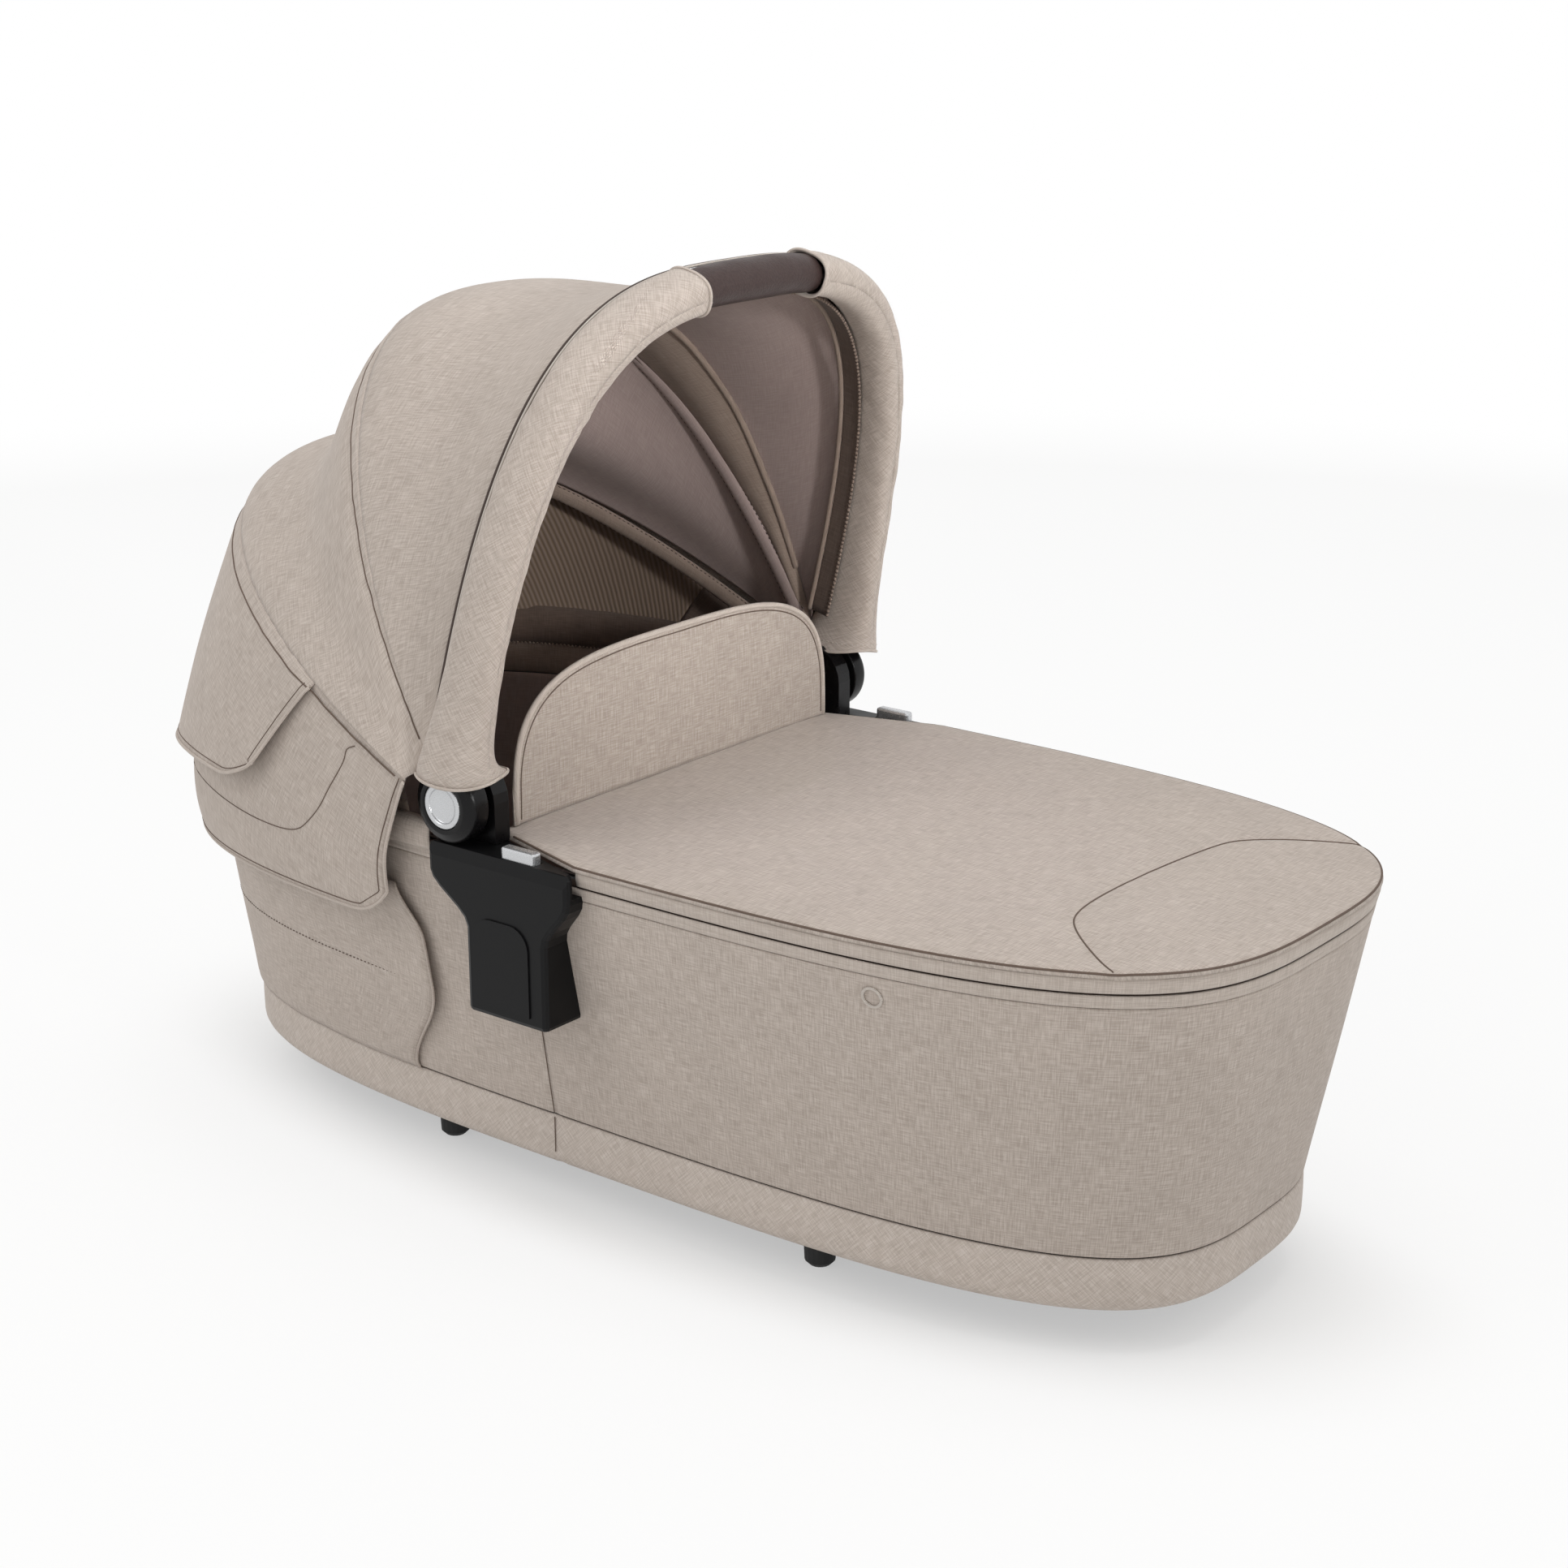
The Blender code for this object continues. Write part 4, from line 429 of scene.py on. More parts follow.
def thicken(piece, thickness):
    """Gives an open sheet its thickness on the inner side."""
    step = piece.modifiers.new("thickness", "SOLIDIFY")
    step.thickness = thickness
    step.offset = -1.0


def cloth_piece(name, bm, finish, thickness=CLOTH_THICKNESS, inside=SHELL_INSIDE):
    """A sheet with its thickness, whose faces look away from a point inside."""
    bm.normal_update()
    if sum(face.normal.dot(face.calc_center_median() - inside) for face in bm.faces) < 0:
        bmesh.ops.reverse_faces(bm, faces=bm.faces)
    piece = link_piece(name, bm, finish)
    thicken(piece, thickness)
    return piece


def declare_sheet(piece, rests_on):
    """Reads the size that a sheet was cut to from its UV map, and keeps nothing of it."""
    mesh = piece.data
    flat = np.array([loop.uv for loop in mesh.uv_layers["cloth"].data])


def sheet_piece(name, bm, finish, held, rests_on, body="shell", node=None, slot="linen_cloth", **shape):
    """A sheet of cloth on its body. One that lies between two bodies is given none here."""
    piece = settle(cloth_piece(name, bm, finish, **shape), body, slot, node)
    declare_sheet(piece, rests_on)
    return piece


def tube(stations, sides, closed=False):
    """A tube of ovals. A station is a centre and two half axes. Its UV map is in metres along and around."""
    def place(column, row):
        centre, first, second = stations[row % len(stations) if closed else row]
        angle = 2 * math.pi * column / sides
        return centre + first * math.cos(angle) + second * math.sin(angle)
    bm = cloth_grid(sides, len(stations) if closed else len(stations) - 1, place)
    if not closed:
        bmesh.ops.holes_fill(bm, edges=[edge for edge in bm.edges if edge.is_boundary])
    bmesh.ops.recalc_face_normals(bm, faces=bm.faces)
    return bm


def direction_at(points, index):
    """The direction of a line of points at one of them."""
    return (points[min(index + 1, len(points) - 1)] - points[max(index - 1, 0)]).normalized()


def round_stations(points, radius, aside=Z_AXIS):
    """Stations of a round cord along a line of points."""
    stations = []
    for index, point in enumerate(points):
        along = direction_at(points, index)
        first = along.cross(aside)
        if first.length < 0.05:
            first = along.orthogonal()
        first.normalize()
        stations.append((point, first * radius, along.cross(first) * radius))
    return stations


def cord(name, points, radius, finish, body, slot="linen_cloth", aside=Z_AXIS, step=0.004, node=None):
    """A round cord, or a dark cord of painted seam shade, along a line of points."""
    line = even_points(points, max(3, round(length_of(points) / step)))
    piece = link_piece(name, tube(round_stations(line, radius, aside), CORD_SIDES), finish)
    return settle(piece, body, slot, node)


def stitches(lines, spacing=0.0042, length=0.0027, radius=0.00042):
    """A row of stitches along each line of points: a short rounded thread in each step."""
    bm = bmesh.new()
    for line in lines:
        points = even_points(line, max(2, round(length_of(line) / spacing)))
        for a, b in zip(points, points[1:]):
            turn = (b - a).to_track_quat("X", "Z").to_matrix().to_4x4()
            size = Matrix.Diagonal((length / 2, radius, radius, 1.0))
            bmesh.ops.create_uvsphere(bm, u_segments=6, v_segments=4, radius=1.0,
                                      matrix=Matrix.Translation((a + b) / 2) @ turn @ size)
    bmesh.ops.recalc_face_normals(bm, faces=bm.faces)
    return bm


def spun_thread(name, code):
    """Spun polyester sewing thread: dull, with a twist that shows as fine diagonal light and dark."""
    made, tree, shader = start_material(name)
    place = add_node(tree, "TexCoord").outputs["Object"]
    twist = add_node(tree, "TexNoise", {"Vector": place, "Scale": 1500.0, "Detail": 1.0})
    darker = tuple(c * 0.75 for c in linear(code))
    tone = add_node(tree, "Mix", {0: twist, MIX_A: darker, MIX_B: linear(code)}, data_type="RGBA")
    set_inputs(shader, {"Base Color": tone.outputs[MIX_RESULT], "Roughness": 0.8})
    return made


# The seams' dark cords and the head cover's stitches take this material: painted seam shade.
SEAM_SHADE_THREAD = spun_thread("painted_seam_shade_thread", SEAM_SHADE_COLOUR)
THREAD = spun_thread("spun_polyester_thread", THREAD_COLOUR)
CLOTH = woven_cloth("linen_look_polyester", *CLOTH_COLOUR)
BIAS_CLOTH = woven_cloth("linen_look_polyester_on_the_bias", *CLOTH_COLOUR, turn=BIAS_TURN)
# The base band's cloth carries painted light: its colours are lighter than the same cloth on the walls.
BASE_LIT_CLOTH = woven_cloth("linen_look_polyester_base_painted_light", *BASE_LIT_COLOUR, turn=BIAS_TURN)


def ring_turns():
    """Turns all round the shell, with three close together at the seam on each side."""
    seam = shell_turn(SIDE_SEAM_X, RIM_Z / 2)
    step = SIDE_SEAM_WIDTH / (2 * RIM_HALF_WIDTH)
    turns = [turn for turn in even_turns(-math.pi, math.pi, RING_STEPS)
             if abs(abs(turn) - abs(seam)) > 2 * step]
    for middle in (seam, -seam):
        turns += [middle - step, middle, middle + step]
    return sorted(turns), (seam, -seam)


RING_TURNS, SIDE_SEAM_TURNS = ring_turns()


def ring_sheet(profile, relief=None):
    """A sheet round the shell from pairs of level and distance outwards, sunk along the side seams."""
    def place(column, row):
        turn = RING_TURNS[column]
        level, out = profile[row]
        if turn in SIDE_SEAM_TURNS:
            out -= SEAM_TUCK / 2
        if relief:
            out += relief(turn, level)
        return shell_point(turn, max(level, SEAM_Z), out, level)
    return cloth_grid(len(RING_TURNS) - 1, len(profile) - 1, place)


def side_seams(name, first, last):
    """The two upright seams, one on each side, between two heights, as dark cords of painted seam shade."""
    for (side_name, _), turn in zip(SIDES, SIDE_SEAM_TURNS):
        levels = [first + (last - first) * step / 12 for step in range(13)]
        line = [shell_point(turn, max(level, SEAM_Z), 0.0, level) for level in levels]
        cord(f"{name}_{side_name}", line, SIDE_SEAM_RADIUS, SEAM_SHADE_THREAD, "shell", aside=X_AXIS)


base_profile = [
    (SEAM_Z - 0.0003, -SEAM_TUCK),
    (SEAM_Z - 0.0010, -SEAM_TUCK / 4),
    (SEAM_Z - 0.0030, 0.0),
    ((SEAM_Z + BASE_Z + BASE_ROUND) / 2, 0.0002),
    (BASE_Z + BASE_ROUND, 0.0),
]
for step in range(1, 7):
    angle = math.pi / 2 * step / 6
    base_profile.append((BASE_Z + BASE_ROUND * (1 - math.sin(angle)), -BASE_ROUND * (1 - math.cos(angle))))
base_profile.append((BASE_Z, -BASE_HEM_WIDTH))
sheet_piece("base_band", ring_sheet(base_profile), BASE_LIT_CLOTH, "stretched", "base_tray", node="base_cover")
side_seams("base_band_seam", BASE_Z + BASE_ROUND, SEAM_Z - 0.002)

# Walls. One strip of the linen-look cloth runs round the stiffening board, closed by a seam on each side
# under the bracket. It is drawn up slightly where the tape on the rim gathers it, so it ripples there.
WALL_TOP_Z = 0.2520
WALL_ROWS = 26
PUCKER_DEPTH = 0.0007
PUCKER_WIDTH = 0.007
PUCKER_FADE = 0.022
SLACK_DEPTH = 0.0009
SLACK_WIDTH = 0.11


def wall_relief(turn, level):
    """Ripples under the rim's tape and a broad, shallow slackness over the wall."""
    at = shell_point(turn, RIM_Z)
    ripple = noise.noise(Vector((at.x, at.y, level / 4)) / PUCKER_WIDTH)
    slack = noise.noise(Vector((at.x, at.y, level)) / SLACK_WIDTH)
    fade = math.exp(-(WALL_TOP_Z - level) / PUCKER_FADE)
    held = math.sin(math.pi * min(1.0, max(0.0, (level - SEAM_Z) / (WALL_TOP_Z - SEAM_Z)))) ** 0.5
    return PUCKER_DEPTH * ripple * fade * held + SLACK_DEPTH * slack * held


wall_profile = [(SEAM_Z + 0.0003, -SEAM_TUCK), (SEAM_Z + 0.0010, -SEAM_TUCK / 4)]
for step in range(WALL_ROWS + 1):
    wall_profile.append((SEAM_Z + 0.003 + (WALL_TOP_Z - SEAM_Z - 0.005) * (step / WALL_ROWS), 0.0))
wall_profile += [(WALL_TOP_Z - 0.0008, -0.0004), (WALL_TOP_Z - 0.0002, -SEAM_TUCK)]
sheet_piece("wall_cloth", ring_sheet(wall_profile, wall_relief), CLOTH, "stretched", "wall_board",
            node="outer_cover")
side_seams("wall_seam", SEAM_Z + 0.002, WALL_TOP_Z - 0.003)

# Rim. The walls hang from a plastic hoop. A flat tape is sewn round their top, and a nylon coil zip above
# it holds the apron; only a dark slit of the zip shows between the two tapes. Beside each hub a strip of the
# cloth covers the zip, and a small ring of thread is sewn into the wall near the foot end.
TAPE_COLOUR = ("#B9ADA3", "#AB9F95", "#C8BEB5")
ZIP_COLOUR = "#5A4C44"
TAPE_TOP_Z = 0.2607
TAPE_THICKNESS = 0.0009
TAPE_PROFILE = (
    (WALL_TOP_Z - 0.0004, -0.0008), (WALL_TOP_Z + 0.0002, 0.0003), (WALL_TOP_Z + 0.0034, 0.0004),
    (WALL_TOP_Z + 0.0039, 0.0001), (WALL_TOP_Z + 0.0044, 0.0004), (TAPE_TOP_Z - 0.0006, 0.0003),
    (TAPE_TOP_Z, -0.0008),
)
SIDE_STRIP_REAR_X = -0.170
SIDE_STRIP_FRONT_X = -0.090
SIDE_STRIP_COLUMNS = 24
SIDE_STRIP_PROFILE = (
    (TAPE_TOP_Z - 0.0010, 0.0006), (TAPE_TOP_Z + 0.0015, 0.0020), (0.2690, 0.0026), (0.2760, 0.0022),
    (0.2800, 0.0), (0.2806, -0.0060),
)
RING_X = 0.2657
RING_Z = 0.2368
RING_RADIUS = 0.0064
RING_CORD = 0.0010
RING_OUT = 0.0008


def other_side(bm):
    """The same bmesh mirrored to the far side."""
    bmesh.ops.scale(bm, verts=bm.verts, vec=(1.0, -1.0, 1.0))
    bmesh.ops.reverse_faces(bm, faces=bm.faces)
    return bm


def side_strip_place(column, row):
    x = SIDE_STRIP_REAR_X + (SIDE_STRIP_FRONT_X - SIDE_STRIP_REAR_X) * column / SIDE_STRIP_COLUMNS
    level, out = SIDE_STRIP_PROFILE[row]
    return shell_point(shell_turn(x, RIM_Z), RIM_Z, out, level)


TAPE = woven_cloth("flat_woven_tape", *TAPE_COLOUR, slub=SLUB_WIDTH * 0.8, strength=0.7)
sheet_piece("wall_tape", ring_sheet(TAPE_PROFILE), TAPE, "stretched", "wall_cloth", slot="piping_tape",
            thickness=TAPE_THICKNESS)
for side_name, side in SIDES:
    strip_bm = cloth_grid(SIDE_STRIP_COLUMNS, len(SIDE_STRIP_PROFILE) - 1, side_strip_place)
    if side > 0:
        strip_bm = other_side(strip_bm)
    sheet_piece(f"rim_side_cloth_{side_name}", strip_bm, CLOTH, "stretched", "wall_cloth")
ring_line = []
for step in range(41):
    angle = 2 * math.pi * step / 40
    x, z = RING_X + RING_RADIUS * math.cos(angle), RING_Z + RING_RADIUS * math.sin(angle)
    turn = shell_turn(x, z)
    ring_line.append(shell_point(turn, z, wall_relief(turn, z) + RING_OUT))
cord("wall_thread_ring", ring_line, RING_CORD, THREAD, "shell", aside=Y_AXIS, step=0.0015)
dress(["rim_zip"], moulded_plastic("nylon_zip_tape", ZIP_COLOUR, 0.7, grain=0.0012, bump=0.5))

# Cover of the lower vent, at the head end. A loose cloth panel buttons down over the mesh window: it hangs
# a little off the wall, and its front edge is turned in and stitched.
HEAD_COVER_OUT = 0.0028
HEAD_COVER_TOP_Z = 0.226
HEAD_COVER_FRONT_X = -0.113
HEAD_COVER_FOOT_X = -0.154
HEAD_COVER_STEP_X = -0.131
HEAD_COVER_STEP_SHARE = 0.5
HEAD_COVER_TURN_SHARE = 0.75
HEAD_COVER_COLUMNS = 170
HEAD_COVER_ROWS = 34
HEAD_COVER_LIFT = 0.0035
HEAD_COVER_LIFT_FADE = 0.03
HEAD_COVER_CORD = 0.0010
HEAD_STITCH_UP = 0.50
HEAD_STITCH_END = 0.02


def smooth(share):
    share = min(1.0, max(0.0, share))
    return share * share * (3 - 2 * share)


def ripple(depth, *at):
    """A smooth unevenness of about that depth."""
    return depth * noise.noise(Vector(at))


def head_cover_turn(up, along):
    z = SEAM_Z + (HEAD_COVER_TOP_Z - SEAM_Z) * up
    front = HEAD_COVER_FOOT_X + (HEAD_COVER_FRONT_X - HEAD_COVER_FOOT_X) * smooth(up / HEAD_COVER_STEP_SHARE)
    top_share = (up - HEAD_COVER_TURN_SHARE) / (1 - HEAD_COVER_TURN_SHARE)
    front += (HEAD_COVER_STEP_X - HEAD_COVER_FRONT_X) * smooth(top_share)
    edge = shell_turn(front, z)
    return edge - 2 * (edge + math.pi) * along, z


def head_cover_place(column, row):
    along, up = column / HEAD_COVER_COLUMNS, row / HEAD_COVER_ROWS
    turn, z = head_cover_turn(up, along)
    lift = HEAD_COVER_LIFT * math.exp(-min(along, 1 - along) / HEAD_COVER_LIFT_FADE) * smooth(up * 2)
    tuck = SEAM_TUCK * math.exp(-up / 0.02)
    return shell_point(turn, z, HEAD_COVER_OUT + lift + ripple(0.001, along * 14, up * 3, 0.0) - tuck)


HEAD_CLOTH = woven_cloth("linen_look_polyester_cover", *CLOTH_COLOUR)
sheet_piece("head_cover", cloth_grid(HEAD_COVER_COLUMNS, HEAD_COVER_ROWS, head_cover_place), HEAD_CLOTH,
            "hung", "wall_cloth", node="head_vent_cover")
cover_edge = [head_cover_place(0, row) for row in range(HEAD_COVER_ROWS + 1)]
for side_name, side in SIDES:
    line = [Vector((point.x, -point.y * side, point.z)) for point in cover_edge]
    cord(f"head_cover_edge_{side_name}", line, HEAD_COVER_CORD, CLOTH, "shell", aside=X_AXIS)
stitch_line = []
for step in range(81):
    turn, z = head_cover_turn(HEAD_STITCH_UP, HEAD_STITCH_END + (1 - 2 * HEAD_STITCH_END) * step / 80)
    edge = min(step, 80 - step) / 80
    lift = HEAD_COVER_LIFT * math.exp(-(HEAD_STITCH_END + edge) / HEAD_COVER_LIFT_FADE)
    stitch_line.append(shell_point(turn, z, HEAD_COVER_OUT + lift + 0.0002))
# The head cover's stitches are drawn in the dark seam material: painted shade along the stitch line.
settle(link_piece("head_cover_stitching", stitches([stitch_line]), SEAM_SHADE_THREAD), "shell", "linen_cloth")

# Lining. A brushed mauve-brown polyester bonded to thin foam covers the inside of the walls and the floor,
# and is sewn to the hoop at the rim.
LINING_INSET = 0.0121
LINING_RIM_INSET = 0.0127
LINING_TOP_Z = 0.2650
LINING_FLOOR_Z = 0.0425
LINING_ROUND = 0.012
LINING_COLOUR = ("#96857F", "#8C7C76", "#A1918B")
LINING_THICKNESS = 0.0016
LINING_CLOTH = woven_cloth("brushed_lining_polyester", *LINING_COLOUR, strength=0.6)
lining_profile = [(LINING_TOP_Z, -LINING_RIM_INSET + 0.0008), (LINING_TOP_Z - 0.002, -LINING_RIM_INSET)]
for step in range(15):
    level = LINING_TOP_Z - 0.006 - (LINING_TOP_Z - 0.006 - LINING_FLOOR_Z - LINING_ROUND) * step / 14
    lining_profile.append((level, -LINING_INSET - 0.0006))
for step in range(1, 5):
    angle = math.pi / 2 * step / 4
    lining_profile.append((LINING_FLOOR_Z + LINING_ROUND * (1 - math.sin(angle)),
                           -LINING_INSET - LINING_ROUND * (1 - math.cos(angle))))
lining_profile += [(LINING_FLOOR_Z, -0.05), (LINING_FLOOR_Z, -0.11)]
sheet_piece("lining_cloth", ring_sheet(lining_profile, lambda turn, level: -abs(wall_relief(turn, level))),
            LINING_CLOTH, "stretched", "wall_board", node="lining", slot="lining_cloth",
            thickness=LINING_THICKNESS)

# Mattress. A foam pad in a quilted cotton-polyester cover lies loose on the floor. Its quilting pulls it in
# along crossed lines.
MATTRESS_INSET = 0.0185
MATTRESS_FLOOR_Z = 0.0440
MATTRESS_TOP_Z = 0.0770
MATTRESS_CROWN = 0.0045
MATTRESS_ROUND = 0.010
MATTRESS_VOXEL = 0.0055
MATTRESS_PRESSURE = 4.0
MATTRESS_CAP = 0.0040
MATTRESS_FRAMES = 20
QUILT_SPACING = 0.058
QUILT_DEPTH = 0.0022
QUILT_FADE = 0.12
MATTRESS_COLOUR = ("#B3A79C", "#A3978C", "#C6BCB2")


def quilted_cotton(name, ground, dark, light):
    """Brushed cotton-polyester in shallow diamonds: soft, dull, and slightly darker along the sewn lines."""
    made, tree, shader = start_material(name)
    place = add_node(tree, "TexCoord").outputs["Object"]
    turned = add_node(tree, "Mapping", {"Vector": place, "Rotation": (0.0, 0.0, BIAS_TURN),
                                        "Scale": (math.pi / QUILT_SPACING,) * 3})
    parts = add_node(tree, "SeparateXYZ", {"Vector": turned})
    lines = []
    for axis in "XY":
        wave = add_node(tree, "Math", {0: parts.outputs[axis]}, operation="SINE")
        flat = add_node(tree, "Math", {0: wave}, operation="ABSOLUTE")
        lines.append(add_node(tree, "MapRange", {"Value": flat, "From Max": 0.10}))
    seam = add_node(tree, "Math", {0: lines[0], 1: lines[1]}, operation="MINIMUM")
    fibre = add_node(tree, "TexNoise", {"Vector": place, "Scale": 700.0, "Detail": 2.0})
    tone = add_node(tree, "Mix", {0: fibre, MIX_A: linear(ground), MIX_B: linear(light)}, data_type="RGBA")
    colour = add_node(tree, "Mix", {0: seam, MIX_A: linear(dark), MIX_B: tone.outputs[MIX_RESULT]},
                      data_type="RGBA")
    relief = add_node(tree, "Bump", {"Height": seam, "Strength": 0.5, "Distance": 0.0008})
    set_inputs(shader, {"Base Color": colour.outputs[MIX_RESULT], "Normal": relief, "Roughness": 0.95,
                        "Sheen Weight": 0.2})
    return made


pad_profile = [(MATTRESS_FLOOR_Z, -MATTRESS_INSET - 0.15), (MATTRESS_FLOOR_Z, -MATTRESS_INSET - 0.02)]
for step in range(9):
    angle = math.pi * step / 8
    half = (MATTRESS_TOP_Z - MATTRESS_FLOOR_Z) / 2
    pad_profile.append((MATTRESS_FLOOR_Z + half * (1 - math.cos(angle)),
                        -MATTRESS_INSET - MATTRESS_ROUND * (1 - math.sin(angle))))
for share in (0.2, 0.5, 1.0):
    pad_profile.append((MATTRESS_TOP_Z + MATTRESS_CROWN * smooth(share),
                        -MATTRESS_INSET - 0.02 - 0.13 * share))
pad_columns, pad_rows = len(RING_TURNS) // 4, len(pad_profile) - 1
pad_bm = bmesh.new()
bmesh.ops.create_grid(pad_bm, x_segments=pad_columns, y_segments=pad_rows, size=1.0)
for vert in pad_bm.verts:
    column = round((vert.co.x + 1) / 2 * pad_columns) % pad_columns
    level, out = pad_profile[round((vert.co.y + 1) / 2 * pad_rows)]
    vert.co = shell_point(RING_TURNS[column * 4 % len(RING_TURNS)], SEAM_Z, out, level)
bmesh.ops.remove_doubles(pad_bm, verts=pad_bm.verts, dist=MERGE_DISTANCE)
bmesh.ops.holes_fill(pad_bm, edges=pad_bm.edges)
bmesh.ops.recalc_face_normals(pad_bm, faces=pad_bm.faces)
mattress = link_piece("mattress_pad", pad_bm, quilted_cotton("quilted_mattress_cover", *MATTRESS_COLOUR))


def apply_modifiers(piece):
    graph = bpy.context.evaluated_depsgraph_get()
    shaped = bpy.data.meshes.new_from_object(piece.evaluated_get(graph))
    piece.modifiers.clear()
    piece.data = shaped


def inflate(piece, voxel, pressure, cap):
    """Puffs a pad up with the cloth simulation, and holds each point within the cap of where it was."""
    remesh = piece.modifiers.new("even_mesh", "REMESH")
    remesh.mode = "VOXEL"
    remesh.voxel_size = voxel
    apply_modifiers(piece)
    before = np.array([vert.co for vert in piece.data.vertices])
    cloth = piece.modifiers.new("cloth", "CLOTH")
    cloth.settings.use_pressure = True
    cloth.settings.uniform_pressure_force = pressure
    cloth.settings.effector_weights.gravity = 0.0
    for step in range(1, MATTRESS_FRAMES + 1):
        bpy.context.scene.frame_set(step)
    apply_modifiers(piece)
    bpy.context.scene.frame_set(1)
    moved = np.array([vert.co for vert in piece.data.vertices]) - before
    far = np.linalg.norm(moved, axis=1, keepdims=True)
    held = before + moved * np.minimum(1.0, cap / np.maximum(far, MERGE_DISTANCE))
    piece.data.vertices.foreach_set("co", held.ravel())


inflate(mattress, MATTRESS_VOXEL, MATTRESS_PRESSURE, MATTRESS_CAP)
for vert in mattress.data.vertices:
    first = abs(math.sin((vert.co.x + vert.co.y) / math.sqrt(2) * math.pi / QUILT_SPACING))
    second = abs(math.sin((vert.co.x - vert.co.y) / math.sqrt(2) * math.pi / QUILT_SPACING))
    upper = smooth((vert.co.z - MATTRESS_FLOOR_Z) / (MATTRESS_TOP_Z - MATTRESS_FLOOR_Z))
    vert.co.z -= QUILT_DEPTH * upper * (math.exp(-first / QUILT_FADE) + math.exp(-second / QUILT_FADE))
    vert.co.z = max(vert.co.z, MATTRESS_FLOOR_Z)
mattress.data.shade_smooth()
mattress_detail = mattress.modifiers.new("smooth", "SUBSURF")
mattress_detail.levels = 1
mattress_detail.render_levels = 1
settle(mattress, "shell", "mattress_cloth", "mattress")

# Apron. A lid of the same cloth, in two panels joined by a curved seam near the foot, closes the foot half.
# Its edge is turned down and sewn to a plain tape, which zips on to the wall's tape.
APRON_REAR_X = -0.0480
APRON_NOTCH_FRONT_X = 0.039
APRON_NOTCH_REAR_Y = 0.181
APRON_EDGE_OUT = 0.0006
APRON_EDGE_Z = 0.2727
APRON_ROUND = 0.0042
APRON_CROWN = 0.0018
APRON_CROWN_RUN = 0.070
APRON_SPINE_END_X = 0.300
APRON_COLUMNS = 560
APRON_NEAR_ROWS = (0.0, 0.0011, 0.0024, 0.0040, 0.0062, 0.0095)
APRON_FAR_ROWS = 58
APRON_SLACK = 0.0016
APRON_SEAM_WIDTH = 0.0032
APRON_SEAM_DEPTH = 0.0008
APRON_EDGE_SEAM_ROW = 1
APRON_EDGE_SEAM_RADIUS = 0.0008
FOOT_PANEL_SEAM = ((0.430, -0.150), (0.4140, -0.1560), (0.354, -0.108), (0.3395, -0.074), (0.338, -0.005),
                   (0.347, 0.083), (0.357, 0.104), (0.402, 0.142), (0.430, 0.150))
SEAM_CURVE_STEPS = 16
BAND_STEP = 0.0035
BAND_PROFILE = (
    (APRON_EDGE_Z - 0.0001, -0.0012), (APRON_EDGE_Z - 0.0008, 0.0002), (APRON_EDGE_Z - 0.0050, 0.0008),
    (TAPE_TOP_Z + 0.0018, 0.0005), (TAPE_TOP_Z + 0.0010, -0.0008),
)


def smooth_line(corners, steps):
    """Points on a curve that rounds the corners of a line: a B-spline through its middle points."""
    line = []
    padded = [corners[0], *corners, corners[-1]]
    for first, second, third in zip(padded, padded[1:], padded[2:]):
        first, second, third = Vector(first), Vector(second), Vector(third)
        start, end = (first + second) / 2, (second + third) / 2
        for step in range(steps):
            share = step / steps
            line.append(start * (1 - share) ** 2 + second * 2 * share * (1 - share) + end * share**2)
    line.append(Vector(corners[-1]))
    return line


def distance_to_line(line, x, y):
    """The distance in plan from a point to a line of points."""
    start, run = line[:-1], np.diff(line, axis=0)
    size = np.maximum((run * run).sum(axis=1), MERGE_DISTANCE**2)
    share = np.clip(((np.array((x, y)) - start) * run).sum(axis=1) / size, 0, 1)
    near = start + run * share[:, None]
    return float(np.linalg.norm(near - np.array((x, y)), axis=1).min())


def apron_outline():
    """Points of the apron's edge, from the near rear corner round the nose to the far rear corner."""
    corner = shell_turn(APRON_NOTCH_FRONT_X, RIM_Z)
    edge = [shell_point(turn, RIM_Z, APRON_EDGE_OUT) for turn in np.linspace(corner, -corner, DENSE_STEPS)]
    rear = [Vector((APRON_REAR_X, side * APRON_NOTCH_REAR_Y, RIM_Z)) for _, side in SIDES]
    return even_points([rear[0], *edge, rear[1]], APRON_COLUMNS)


apron_seam = np.array(smooth_line(FOOT_PANEL_SEAM, SEAM_CURVE_STEPS))
apron_edge = apron_outline()


def apron_place(column, row):
    """A point of the apron, on the line from its edge in to the spine that its crown runs along."""
    edge = apron_edge[column]
    spine = Vector((min(max(edge.x, APRON_REAR_X), APRON_SPINE_END_X), 0.0, RIM_Z))
    run = (spine - edge).length
    if row < len(APRON_NEAR_ROWS):
        inwards = APRON_NEAR_ROWS[row]
    else:
        share = (row - len(APRON_NEAR_ROWS) + 1) / APRON_FAR_ROWS
        inwards = APRON_NEAR_ROWS[-1] + (run - APRON_NEAR_ROWS[-1]) * share
    point = edge.lerp(spine, inwards / run)
    rounded = min(1.0, inwards / APRON_ROUND)
    point.z = APRON_EDGE_Z + APRON_ROUND * math.sqrt(1 - (1 - rounded) ** 2)
    crown = APRON_CROWN * smooth(inwards / APRON_CROWN_RUN) ** 0.7
    slack = ripple(APRON_SLACK, point.x * 7, point.y * 9, 0.3) * smooth(inwards / 0.03)
    sunk = distance_to_line(apron_seam, point.x, point.y) / APRON_SEAM_WIDTH
    seam = APRON_SEAM_DEPTH * (math.exp(-sunk**2) + math.exp(-(sunk / 4) ** 2) / 2)
    point.z += crown + slack - seam
    return point


